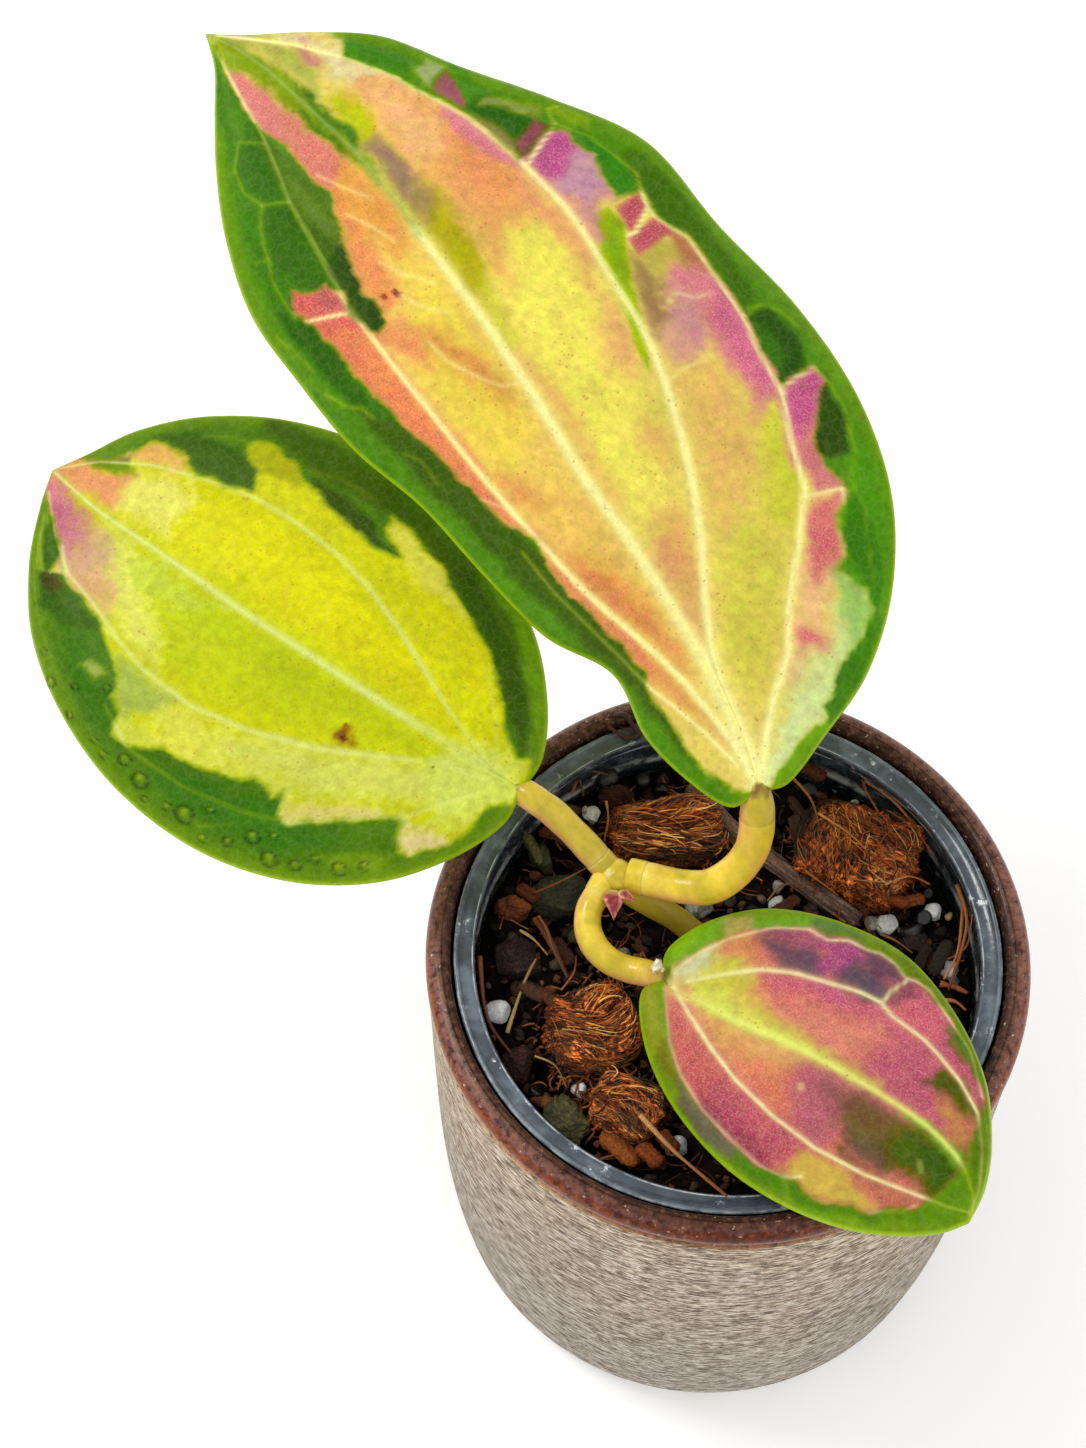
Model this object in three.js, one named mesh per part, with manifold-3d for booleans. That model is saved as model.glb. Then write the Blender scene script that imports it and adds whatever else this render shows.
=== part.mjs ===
// Potted wax vine: three variegated leaves on one stem, in a plastic nursery pot
// that stands inside a glazed cover pot. Millimetres, +Z up, origin under the pot.
import * as THREE from 'three';
import { mergeVertices } from 'three/addons/utils/BufferGeometryUtils.js';
import Module from 'manifold-3d';

const wasm = await Module();
wasm.setup();

// Clearance kept between pieces that touch on the real plant
const GAP = 0.3;

// Ceramic cover pot
const POT_HEIGHT = 98;
const POT_RIM_RADIUS = 48;
const POT_NECK_RADIUS = 47.7;
const POT_FOOT_RADIUS = 44.2;
const POT_FOOT_ROUND = 8;
const POT_WALL = 4.1;
const POT_FLOOR = 6;
const LIP_RADIUS = 2.6;
const LIP_INNER_RADIUS = 44;
const LIP_INNER_ROUND = 1.5;
const LIP_GROOVE = 0.35;
const POT_SIDES = 48;

// Plastic nursery pot
const LINER_RIM_RADIUS = 43.5;
const LINER_RIM_TOP = 96.5;
const LINER_SHOULDER_RADIUS = 41.7;
const LINER_FOOT_RADIUS = 33.5;
const LINER_WALL = 1;
const LINER_FLOOR = 1.4;
const LINER_HOLE_RADIUS = 3;
const LINER_HOLE_RING = 21;
const LINER_HOLES = 6;
const LINER_SIDES = 40;

// Potting mix
const MIX_TOP = 86;
const MIX_RELIEF = 0.8;
const MIX_SIDES = 36;
const MIX_RINGS = 8;

// Stem and leaf stalks
const STEM_RADIUS = 2.1;
const STALK_UPPER_RADIUS = 2.75;
const STALK_LEFT_RADIUS = 2.3;
const STALK_FRONT_RADIUS = 2.15;
const NODE_CENTRE = new THREE.Vector3(-17.9, 8.7, 105.3);
const NODE_RADIUS = 3;
const STALK_SIDES = 12;
const STALK_STEPS = 12;

// Leaf blades
const BLADE_THICKNESS = 1.2;
const KEEL_DEPTH = 1.1;

// The three blades. Each lies in a frame of its own: u runs from the base to the
// tip, v to its left side, and the third axis out of its upper face. Margins and
// midrib are smooth curves through the points given, in that frame. Veins give the
// share of the half width at which they run, at even steps from base to tip.
const UPPER_LEAF = {
  base: [3.5, 13.6, 125.6], tip: [-82, 122.5, 172], facing: [0.02, -0.42, 0.9],
  left: [[0, 0], [0.4, 5], [7.4, 7.9], [16.6, 9.2], [27.4, 7.5], [38.2, 12.5], [51.2, 14.7],
    [64.9, 16.3], [78.5, 19.5], [92.1, 20.2], [105.2, 20.1], [116.9, 16.6], [126.7, 11.6],
    [134.5, 6.5], [140.8, 2.1], [146.1, 0]],
  midrib: [[0, 0], [5.1, -1.7], [11.9, -3.3], [20.5, -4.4], [30.6, -5.3], [41.9, -5.9],
    [54.1, -5.9], [66.8, -7], [79.7, -7.7], [92.5, -7.7], [104.7, -7.9], [116, -7.4],
    [126, -5.9], [134.6, -4.4], [141.3, -2.4], [146.1, 0]],
  right: [[0, 0], [-1.8, -4.4], [0.8, -13.4], [4.7, -24.2], [12.9, -34.8], [25.1, -43.4],
    [40.6, -48.3], [57.4, -49.2], [74.4, -46.8], [91.1, -45.3], [105.4, -37.5],
    [118.1, -29.4], [129.6, -22.5], [136.9, -13.7], [141.9, -5.8], [146.1, 0]],
  veins: [
    [0.25, 0.21, 0.31, 0.55, 0.54, 0.57, 0.55, 0.53, 0.49, 0.61, 0.7],
    [0, 0, 0, 0, 0, 0, 0, 0, 0, 0, 0],
    [-0.03, -0.03, -0.06, -0.21, -0.36, -0.5, -0.55, -0.66, -0.63, -0.4, -0.2],
    [-0.12, -0.27, -0.44, -0.58, -0.74, -0.83, -0.87, -0.88, -0.86, -0.8, -0.7]],
  arch: 7, cup: 4, curl: [2.6, 1.6], wave: 1.5, waves: 2.4, phase: [0.15, 0.62], quilt: 0.9,
  rows: 28, strips: 4,
};
const LEFT_LEAF = {
  base: [-32.6, 19, 115.4], tip: [-109.1, 73.1, 124], facing: [-0.05, -0.3, 0.95],
  left: [[0, 0], [-0.7, 6.3], [2.9, 15.3], [10.4, 25], [22.2, 32.7], [37, 36.8], [52.8, 36.3],
    [67.4, 31.7], [79.5, 24.4], [87.5, 15.2], [91.9, 6.5], [94.1, 0]],
  midrib: [[0, 0], [4.9, 0.3], [11.8, 0.8], [20.5, 1.3], [30.5, 1.7], [41.5, 1.9], [52.7, 2.1],
    [63.6, 1.8], [73.7, 1.6], [82.4, 1.5], [89.3, 0.7], [94.1, 0]],
  right: [[0, 0], [0.3, -6], [4.9, -13.8], [13, -21.7], [24.7, -27.9], [38.5, -31.7],
    [53.2, -32], [67, -28.2], [78.3, -21.4], [86.2, -13.3], [90.8, -5.5], [94.1, 0]],
  veins: [
    [0.25, 0.3, 0.51, 0.67, 0.75, 0.8, 0.85, 0.86, 0.86, 0.85, 0.8],
    [0.08, 0.1, 0.18, 0.31, 0.4, 0.47, 0.53, 0.52, 0.56, 0.6, 0.6],
    [0, 0, 0, 0, 0, 0, 0, 0, 0, 0, 0],
    [-0.03, -0.05, -0.17, -0.3, -0.4, -0.46, -0.51, -0.52, -0.56, -0.62, -0.65]],
  arch: 5, cup: 2.6, curl: [1.6, 1.2], wave: 0.7, waves: 2, phase: [0, 0.4], quilt: 0.6,
  rows: 22, strips: 3,
};
const FRONT_LEAF = {
  base: [-11, -7.7, 104.4], tip: [33.8, -47.6, 104.5], facing: [0.05, -0.25, 0.97],
  left: [[0, 0], [-2.3, 4.3], [-0.3, 11.6], [5.6, 19.1], [15.3, 24.4], [26.9, 26.7],
    [38.4, 24.2], [48.2, 19], [54.7, 11.9], [57.9, 4.9], [60, 0]],
  midrib: [[0, 0], [3.5, -0.8], [8.8, 0.4], [15.4, 1.4], [22.9, 3.4], [31.1, 4.9],
    [39.3, 6.1], [47, 6.8], [53.6, 5.9], [58.1, 3.2], [60, 0]],
  right: [[0, 0], [-0.9, -3.9], [3.2, -8.6], [9.9, -12.8], [18.6, -15.7], [28.3, -16.8],
    [37.9, -15.5], [46.5, -12.4], [53.2, -8.1], [57.6, -3.7], [60, 0]],
  veins: [
    [0.45, 0.54, 0.68, 0.83, 0.84, 0.88, 0.9, 0.9, 0.9, 0.88, 0.85],
    [0.1, 0.12, 0.32, 0.42, 0.5, 0.56, 0.61, 0.65, 0.74, 0.62, 0.5],
    [0, 0, 0, 0, 0, 0, 0, 0, 0, 0, 0],
    [-0.05, -0.06, -0.22, -0.38, -0.49, -0.52, -0.55, -0.55, -0.53, -0.28, -0.15],
    [-0.2, -0.26, -0.56, -0.75, -0.83, -0.85, -0.84, -0.84, -0.82, -0.75, -0.6]],
  arch: 4.5, cup: 3.2, curl: [1.8, 1.4], wave: 0.3, waves: 1.5, phase: [0, 0.5], quilt: 0.45,
  rows: 18, strips: 3,
};

// Centre lines of the stem and the stalks. A stalk ends on its own blade's base.
const STEM_PATH = [[-17.9, 8.7, 105.3], [-15.3, 7.9, 101.8], [-11.5, 7.3, 97.6], [-8.1, 6.9, 94],
  [-4.5, 5.9, 89.6], [-1.6, 6, 85], [0.4, 6.4, 80], [1.6, 6.8, 74], [2, 7, 66]];
const STALK_UPPER_PATH = [[-12.9, 8, 106], [-7.1, 6.2, 107], [-3.4, 5.5, 108.5],
  [0.4, 6.6, 111.5], [2.8, 8.6, 115]];
const STALK_LEFT_PATH = [[-20.9, 11.4, 107.1], [-24, 14, 109.4]];
const STALK_FRONT_PATH = [[-20.9, 5.6, 105.2], [-22.1, 3.3, 104.9], [-22.3, 0.4, 104.2],
  [-21.2, -2.4, 103.5], [-18.9, -4.7, 103.1]];
const STALK_UPPER_RISE = [0, 0.43, 0.9];
const STALK_LEFT_RISE = [-0.79, 0.4, 0.46];
const STALK_FRONT_RISE = [0.93, -0.31, 0.19];
const STUB_UPPER = 5.2;
const STUB_LEFT = 3.4;
const STUB_FRONT = 3;

// Chunks that lie on the mix: place, size along x, y and z, turn and shape
const COCO_CHIPS = [
  { at: [-8.7, 24.8], size: [19, 10.6, 11], turn: 0.06, square: 4 },
  { at: [22.6, 20.7], size: [19.5, 16, 11], turn: -0.35, square: 3 },
  { at: [-21.4, -10.2], size: [14.5, 14.6, 11], turn: 0.3, square: 3 },
  { at: [-16.3, -23.2], size: [11.6, 10.2, 9], turn: -0.4, square: 3 },
];
const STONES = [
  { at: [-26.5, 13.9], size: [10, 8.4, 7], turn: 0.3, square: 2.6 },
  { at: [-25.6, -25], size: [6, 8.4, 6], turn: 0.6, square: 2.6 },
  { at: [-29.6, 21.6], size: [3.6, 6, 5], turn: 0.2, square: 2.6 },
  { at: [-3.9, 12.4], size: [5.4, 4.2, 4.6], turn: 0.2, square: 2.6 },
];
const BARK_CHIPS = [
  { at: [-34.6, 12], size: [5.2, 4.6, 5], turn: 0.5, square: 4 },
  { at: [-33.4, 2.7], size: [6.6, 7.2, 6], turn: 0.2, square: 4 },
  { at: [-17, 32.6], size: [5.4, 4.2, 6], turn: -0.3, square: 4 },
  { at: [30.8, 5.6], size: [4.4, 4.6, 5], turn: 0.8, square: 4 },
  { at: [-33, -14.6], size: [4.8, 6.4, 5], turn: -0.4, square: 4 },
];
const PERLITE = [
  { at: [9.3, 12.9], size: 3.2 },
  { at: [26.8, 9.5], size: 4 },
  { at: [-21.2, 29.2], size: 3 },
  { at: [-36.5, -6.1], size: 4 },
  { at: [-23.6, -19.4], size: 2.6 },
  { at: [36, 1.3], size: 3.6 },
  { at: [34.2, 11.2], size: 3 },
  { at: [-8.4, -28.8], size: 3.6 },
];
const TWIG_PATH = [[-4.5, 34, 88], [2.4, 25.6, 87.4], [11.1, 18.3, 87], [22, 9.6, 86.8]];
const TWIG_RADIUS = 1.6;
const TWIG_SIDES = 8;

// The node's bud: two pointed bracts, each from its root to its point
const BUD_BRACTS = [
  { from: [-17.8, 4.6, 106.4], to: [-17.5, -0.8, 108.2], radius: 1.35 },
  { from: [-16.9, 4.4, 106.9], to: [-14.2, 2.2, 108.3], radius: 1.05 },
];

const COLOURS = {
  glazedBand: 0x4a2f2a, clay: 0xa79c8d, plastic: 0x4d565c, soil: 0x2a1a12, leafGreen: 0x3f7d17,
  leafYellow: 0xd9d645, leafPink: 0xc8606a, stalk: 0xc9bb45, bud: 0xc98a8c, coco: 0x9a5526,
  bark: 0x5e3325, stone: 0x56574a, perlite: 0xe4e2dc, twig: 0x5b4640,
};

function material(colour, roughness) {
  return new THREE.MeshStandardMaterial({ color: colour, roughness, metalness: 0 });
}

function vector(xyz) {
  return new THREE.Vector3(...xyz);
}

// Repeatable random numbers from 0 to 1
function randomFrom(seed) {
  let state = seed;
  return () => {
    state = (state * 16807) % 2147483647;
    return state / 2147483647;
  };
}

// Welds a geometry's shared vertices and makes a solid of it
function solidOf(geometry) {
  const bare = geometry.clone();
  bare.deleteAttribute('normal');
  bare.deleteAttribute('uv');
  const welded = mergeVertices(bare, 1e-4);
  const index = Array.from(welded.index.array);
  const kept = [];
  for (let i = 0; i < index.length; i += 3) {
    const [a, b, c] = index.slice(i, i + 3);
    if (a !== b && b !== c && c !== a) kept.push(a, b, c);
  }
  return new wasm.Manifold(new wasm.Mesh({
    numProp: 3,
    vertProperties: new Float32Array(welded.attributes.position.array),
    triVerts: new Uint32Array(kept),
  }));
}

function geometryOf(solid) {
  const mesh = solid.getMesh();
  const geometry = new THREE.BufferGeometry();
  geometry.setAttribute('position', new THREE.BufferAttribute(mesh.vertProperties, 3));
  geometry.setIndex(new THREE.BufferAttribute(mesh.triVerts, 1));
  geometry.computeVertexNormals();
  return geometry;
}

const plant = new THREE.Group();

function addMesh(name, geometry, look) {
  const mesh = new THREE.Mesh(geometry, look);
  mesh.name = name;
  plant.add(mesh);
  return mesh;
}

// Points of a circular arc in the plane of a lathe profile, angles in degrees
function arc(x, z, radius, from, to, steps) {
  const points = [];
  for (let i = 0; i <= steps; i += 1) {
    const angle = THREE.MathUtils.degToRad(from + (to - from) * i / steps);
    points.push(new THREE.Vector2(x + radius * Math.cos(angle), z + radius * Math.sin(angle)));
  }
  return points;
}

// A body of revolution about the z axis, its profile listed up its outer side
function turned(profile, sides) {
  const geometry = new THREE.LatheGeometry(profile, sides);
  geometry.rotateX(Math.PI / 2);
  return geometry;
}

// Outer radius of the cover pot: nearly upright, drawn in towards the foot
function potRadius(z) {
  const below = 1 - z / (POT_HEIGHT - 2 * LIP_RADIUS);
  return POT_NECK_RADIUS - (POT_NECK_RADIUS - POT_FOOT_RADIUS) * below ** 5;
}

function addCoverPot() {
  const lipCentre = POT_RIM_RADIUS - LIP_RADIUS;
  const lipHeight = POT_HEIGHT - LIP_RADIUS;
  const footRadius = potRadius(POT_FOOT_ROUND);
  const neckHeight = POT_HEIGHT - 2 * LIP_RADIUS;
  const profile = [new THREE.Vector2(0, 0)];
  profile.push(...arc(footRadius - POT_FOOT_ROUND, POT_FOOT_ROUND, POT_FOOT_ROUND, -90, 0, 4));
  for (const z of [20, 38, 62]) profile.push(new THREE.Vector2(potRadius(z), z));
  profile.push(new THREE.Vector2(POT_NECK_RADIUS, neckHeight));
  profile.push(new THREE.Vector2(POT_NECK_RADIUS - LIP_GROOVE, neckHeight + LIP_GROOVE));
  profile.push(...arc(lipCentre, lipHeight, LIP_RADIUS, -40, 90, 4));
  profile.push(...arc(LIP_INNER_RADIUS + LIP_INNER_ROUND, POT_HEIGHT - LIP_INNER_ROUND,
    LIP_INNER_ROUND, 90, 180, 2).slice(0, 3));
  for (const z of [88, 50, 22]) profile.push(new THREE.Vector2(potRadius(z) - POT_WALL, z));
  const innerFoot = potRadius(POT_FLOOR) - POT_WALL;
  profile.push(...arc(innerFoot - POT_FLOOR, 2 * POT_FLOOR, POT_FLOOR, 0, -90, 3));
  profile.push(new THREE.Vector2(0, POT_FLOOR));
  addMesh('cover_pot', turned(profile, POT_SIDES), material(COLOURS.clay, 0.7));
}

const LINER_FOOT = POT_FLOOR + GAP;
const LINER_SHOULDER = LINER_RIM_TOP - 6.5;

// Outer radius of the nursery pot's straight tapered wall
function linerRadius(z) {
  const share = (z - LINER_FOOT) / (LINER_SHOULDER - LINER_FOOT);
  return LINER_FOOT_RADIUS + (LINER_SHOULDER_RADIUS - LINER_FOOT_RADIUS) * share;
}

function addNurseryPot() {
  const round = 2;
  const bead = 1;
  const profile = [new THREE.Vector2(0, LINER_FOOT)];
  profile.push(...arc(LINER_FOOT_RADIUS - round, LINER_FOOT + round, round, -90, 0, 2));
  profile.push(new THREE.Vector2(LINER_SHOULDER_RADIUS, LINER_SHOULDER));
  profile.push(new THREE.Vector2(LINER_SHOULDER_RADIUS + 0.7, LINER_SHOULDER + 1));
  profile.push(new THREE.Vector2(LINER_SHOULDER_RADIUS + 0.9, LINER_RIM_TOP - 2));
  profile.push(...arc(LINER_RIM_RADIUS - bead, LINER_RIM_TOP - bead, bead, -60, 90, 4));
  profile.push(new THREE.Vector2(LINER_SHOULDER_RADIUS + 0.1, LINER_RIM_TOP - 0.5));
  profile.push(new THREE.Vector2(LINER_SHOULDER_RADIUS - 0.3, LINER_SHOULDER + 1.8));
  profile.push(new THREE.Vector2(LINER_SHOULDER_RADIUS - LINER_WALL, LINER_SHOULDER));
  const floor = LINER_FOOT + LINER_FLOOR;
  const inner = linerRadius(floor) - LINER_WALL;
  profile.push(new THREE.Vector2(linerRadius(floor + round) - LINER_WALL, floor + round));
  profile.push(new THREE.Vector2(inner - round, floor));
  profile.push(new THREE.Vector2(0, floor));
  let solid = solidOf(turned(profile, LINER_SIDES));
  for (let i = 0; i < LINER_HOLES; i += 1) {
    const angle = 2 * Math.PI * i / LINER_HOLES;
    const drill = new THREE.CylinderGeometry(LINER_HOLE_RADIUS, LINER_HOLE_RADIUS, 6, 12);
    drill.rotateX(Math.PI / 2);
    drill.translate(LINER_HOLE_RING * Math.cos(angle), LINER_HOLE_RING * Math.sin(angle), LINER_FOOT);
    solid = solid.subtract(solidOf(drill));
  }
  addMesh('nursery_pot', geometryOf(solid), material(COLOURS.plastic, 0.35));
}

// Height of the clumpy top of the mix
function mixTop(x, y) {
  const broad = Math.sin(0.21 * x + 1.1) * Math.cos(0.19 * y - 0.4);
  const clumps = Math.sin(0.47 * x - 0.31 * y + 2) + Math.cos(0.39 * y + 0.44 * x);
  return MIX_TOP + MIX_RELIEF * (broad + 0.6 * clumps);
}

// A closed skin over a grid: rows of points, the first and last row one point each
function skinOver(rows) {
  const positions = [];
  const starts = [];
  for (const row of rows) {
    starts.push(positions.length / 3);
    for (const point of row) positions.push(...point);
  }
  const index = [];
  for (let i = 0; i + 1 < rows.length; i += 1) {
    const count = Math.max(rows[i].length, rows[i + 1].length);
    for (let j = 0; j < count; j += 1) {
      const k = (j + 1) % count;
      const a = starts[i] + (rows[i].length > 1 ? j : 0);
      const b = starts[i] + (rows[i].length > 1 ? k : 0);
      const c = starts[i + 1] + (rows[i + 1].length > 1 ? k : 0);
      const d = starts[i + 1] + (rows[i + 1].length > 1 ? j : 0);
      if (a !== b) index.push(a, b, c);
      if (c !== d) index.push(a, c, d);
    }
  }
  const geometry = new THREE.BufferGeometry();
  geometry.setAttribute('position', new THREE.Float32BufferAttribute(positions, 3));
  geometry.setIndex(index);
  return geometry;
}

function mixSolid() {
  const floor = LINER_FOOT + LINER_FLOOR + GAP;
  const inner = (z) => linerRadius(z) - LINER_WALL - GAP;
  const ring = (radius, height) => {
    const points = [];
    for (let i = 0; i < MIX_SIDES; i += 1) {
      const angle = 2 * Math.PI * i / MIX_SIDES;
      const x = radius * Math.cos(angle);
      const y = radius * Math.sin(angle);
      points.push([x, y, height === undefined ? mixTop(x, y) : height]);
    }
    return points;
  };
  const rows = [[[0, 0, floor]], ring(inner(floor) - 3, floor), ring(inner(floor + 3), floor + 3)];
  rows.push(ring(inner(45), 45));
  const edge = inner(MIX_TOP - 4);
  rows.push(ring(edge, MIX_TOP - 4));
  for (let i = MIX_RINGS; i > 0; i -= 1) rows.push(ring(edge * i / MIX_RINGS));
  rows.push([[0, 0, mixTop(0, 0)]]);
  return solidOf(skinOver(rows));
}

// A rough stone or chip: a rounded block with seeded swellings, grown by a margin
function lump(chunk, seed, detail, margin) {
  const random = randomFrom(seed);
  const phases = [random(), random(), random()].map((value) => value * 2 * Math.PI);
  const half = chunk.size.map((length) => length / 2 + margin);
  const geometry = mergeVertices(new THREE.IcosahedronGeometry(1, detail));
  geometry.deleteAttribute('normal');
  geometry.deleteAttribute('uv');
  const positions = geometry.attributes.position;
  const point = new THREE.Vector3();
  for (let i = 0; i < positions.count; i += 1) {
    point.fromBufferAttribute(positions, i).normalize();
    const power = chunk.square;
    const norm = (Math.abs(point.x) ** power + Math.abs(point.y) ** power
      + Math.abs(point.z) ** power) ** (1 / power);
    const swell = 1 + 0.05 * Math.sin(4 * point.x + phases[0]) + 0.05 * Math.sin(5 * point.y + phases[1])
      + 0.04 * Math.sin(5 * point.z + phases[2]);
    point.multiplyScalar(swell / norm);
    positions.setXYZ(i, point.x * half[0], point.y * half[1], point.z * half[2]);
  }
  geometry.rotateZ(chunk.turn);
  const lift = chunk.size[2] * (chunk.square > 3.5 ? 0.12 : 0.14);
  geometry.translate(chunk.at[0], chunk.at[1], mixTop(...chunk.at) + lift);
  return geometry;
}

// A round tube along a smooth curve, closed at both ends
function tube(points, radius, sides, steps) {
  const section = new THREE.Shape();
  section.absarc(0, 0, radius, 0, 2 * Math.PI, false);
  const path = new THREE.CatmullRomCurve3(points.map(vector));
  return new THREE.ExtrudeGeometry(section, {
    steps, extrudePath: path, curveSegments: sides / 2, bevelEnabled: false,
  });
}

// The mix with what lies in it. Each chunk sits in a hollow of its own.
function addMixAndChunks() {
  let mix = mixSolid();
  const twigBed = solidOf(tube(TWIG_PATH, TWIG_RADIUS + GAP, TWIG_SIDES, 8));
  mix = mix.subtract(twigBed);
  addMesh('twig', tube(TWIG_PATH, TWIG_RADIUS, TWIG_SIDES, 8), material(COLOURS.twig, 0.9));
  const kinds = [
    { name: 'coco_chip', chunks: COCO_CHIPS, detail: 1, look: material(COLOURS.coco, 0.95) },
    { name: 'grey_stone', chunks: STONES, detail: 1, look: material(COLOURS.stone, 0.8) },
    { name: 'bark_chip', chunks: BARK_CHIPS, detail: 1, look: material(COLOURS.bark, 0.9) },
    { name: 'perlite', chunks: PERLITE, detail: 1, look: material(COLOURS.perlite, 0.9) },
  ];
  let seed = 11;
  for (const kind of kinds) {
    kind.chunks.forEach((item, i) => {
      seed += 7;
      const chunk = typeof item.size === 'number'
        ? { at: item.at, size: [item.size, item.size, item.size * 0.9], turn: 0, square: 2.2 } : item;
      const body = solidOf(lump(chunk, seed, kind.detail, 0)).subtract(twigBed);
      mix = mix.subtract(solidOf(lump(chunk, seed, kind.detail, GAP)));
      addMesh(`${kind.name}_${i + 1}`, geometryOf(body), kind.look);
    });
  }
  const hole = STEM_PATH.slice(4);
  const [x, y, z] = hole.at(-1);
  hole.push([x, y, z - GAP]);
  mix = mix.subtract(solidOf(tube(hole, STEM_RADIUS + GAP, STALK_SIDES, 10)));
  addMesh('potting_mix', geometryOf(mix), material(COLOURS.soil, 1));
}

// A straight round peg between two points
function peg(from, to, radius) {
  const axis = new THREE.Vector3().subVectors(to, from);
  const geometry = new THREE.CylinderGeometry(radius, radius, axis.length(), STALK_SIDES);
  const turn = new THREE.Quaternion().setFromUnitVectors(new THREE.Vector3(0, 1, 0), axis.clone().normalize());
  geometry.applyQuaternion(turn);
  geometry.translate(...new THREE.Vector3().addVectors(from, to).multiplyScalar(0.5).toArray());
  return geometry;
}

function ball(centre, radius) {
  const geometry = new THREE.SphereGeometry(radius, STALK_SIDES, 8);
  geometry.translate(...centre.toArray());
  return geometry;
}

// A smooth curve's point at a share of its length in steps
function along(points, share) {
  return new THREE.SplineCurve(points.map((p) => new THREE.Vector2(...p))).getPoint(share);
}

// The blade's frame in the plant: its base, and the turn from u, v, w to x, y, z
function bladeFrame(leaf) {
  const base = vector(leaf.base);
  const u = vector(leaf.tip).sub(base).normalize();
  const w = vector(leaf.facing);
  w.addScaledVector(u, -w.dot(u)).normalize();
  const v = new THREE.Vector3().crossVectors(w, u);
  const turn = new THREE.Quaternion().setFromRotationMatrix(new THREE.Matrix4().makeBasis(u, v, w));
  return { base, turn };
}

// Height of the blade above its plane: arched along its length, its margins bent
// down, curled and waved. s goes from base to tip, t from the right margin to the left.
function bladeHeight(leaf, s, t) {
  const side = t >= 0 ? 0 : 1;
  const hump = Math.sin(Math.PI * s);
  const reach = Math.abs(t);
  const wave = leaf.wave * reach ** 3 * Math.sin(2 * Math.PI * (leaf.waves * s + leaf.phase[side]));
  return leaf.arch * hump + hump ** 0.7 * (wave - leaf.cup * t * t - leaf.curl[side] * reach ** 5);
}

// One leaf: a thin blade whose veins lie in grooves above and stand out below
function leafSolid(leaf, rise, stub, stubRadius) {
  const guideAt = (values, x) => along(values.map((value, i) => [i / (values.length - 1), value]), x).y;
  const upper = [];
  const lower = [];
  for (let i = 0; i <= leaf.rows; i += 1) {
    const x = i / leaf.rows;
    const s = 0.55 * (1 - Math.cos(Math.PI * x)) / 2 + 0.45 * x;
    const middle = along(leaf.midrib, x);
    const margins = [along(leaf.left, x), along(leaf.right, x)];
    const guides = [1, ...leaf.veins.map((values) => guideAt(values, x)), -1];
    const top = [];
    const bottom = [];
    for (let j = 0; j < (guides.length - 1) * leaf.strips + 1; j += 1) {
      const band = Math.min(Math.floor(j / leaf.strips), guides.length - 2);
      const share = j / leaf.strips - band;
      const t = guides[band] + (guides[band + 1] - guides[band]) * share;
      const place = middle.clone().lerp(margins[t >= 0 ? 0 : 1], Math.abs(t));
      const quilt = leaf.quilt * Math.sin(Math.PI * share) * Math.sin(Math.PI * s) ** 0.7;
      const height = bladeHeight(leaf, s, t) + quilt;
      const keel = Math.abs(t) < 1e-9 ? KEEL_DEPTH * (1 - x) : 0;
      top.push([place.x, place.y, height]);
      bottom.push([place.x, place.y, height - BLADE_THICKNESS - keel]);
    }
    upper.push(i === 0 || i === leaf.rows ? [top[0]] : top);
    lower.push(i === 0 || i === leaf.rows ? [bottom[0]] : bottom);
  }
  const blade = solidOf(bladeSkin(upper, lower));
  const { turn } = bladeFrame(leaf);
  const axis = vector(rise).normalize().applyQuaternion(turn.clone().invert());
  const crown = new THREE.Vector3(0, 0, -BLADE_THICKNESS / 2);
  const foot = crown.clone().addScaledVector(axis, -stub);
  return blade.add(solidOf(peg(foot, crown, stubRadius))).add(solidOf(ball(crown, stubRadius)));
}

// Upper and lower face split into the same triangles, with a wall round the margin
function bladeSkin(upper, lower) {
  const positions = [];
  const number = (rows) => rows.map((row) => row.map((point) => {
    positions.push(...point);
    return positions.length / 3 - 1;
  }));
  const top = number(upper);
  const bottom = number(lower);
  const index = [];
  const face = (a, b, c) => {
    index.push(top[a[0]][a[1]], top[b[0]][b[1]], top[c[0]][c[1]]);
    index.push(bottom[a[0]][a[1]], bottom[c[0]][c[1]], bottom[b[0]][b[1]]);
  };
  const last = upper.length - 1;
  for (let i = 0; i < last; i += 1) {
    const count = Math.max(upper[i].length, upper[i + 1].length) - 1;
    for (let j = 0; j < count; j += 1) {
      if (i === 0) face([0, 0], [1, j + 1], [1, j]);
      else if (i === last - 1) face([i, j], [i, j + 1], [last, 0]);
      else {
        face([i, j], [i, j + 1], [i + 1, j + 1]);
        face([i, j], [i + 1, j + 1], [i + 1, j]);
      }
    }
    for (const edge of ['left', 'right']) {
      const at = (row) => (edge === 'left' ? 0 : upper[row].length - 1);
      const a = top[i][at(i)];
      const b = top[i + 1][at(i + 1)];
      const c = bottom[i + 1][at(i + 1)];
      const d = bottom[i][at(i)];
      if (edge === 'left') index.push(a, b, c, a, c, d);
      else index.push(b, a, d, b, d, c);
    }
  }
  const geometry = new THREE.BufferGeometry();
  geometry.setAttribute('position', new THREE.Float32BufferAttribute(positions, 3));
  geometry.setIndex(index);
  return geometry;
}

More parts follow.
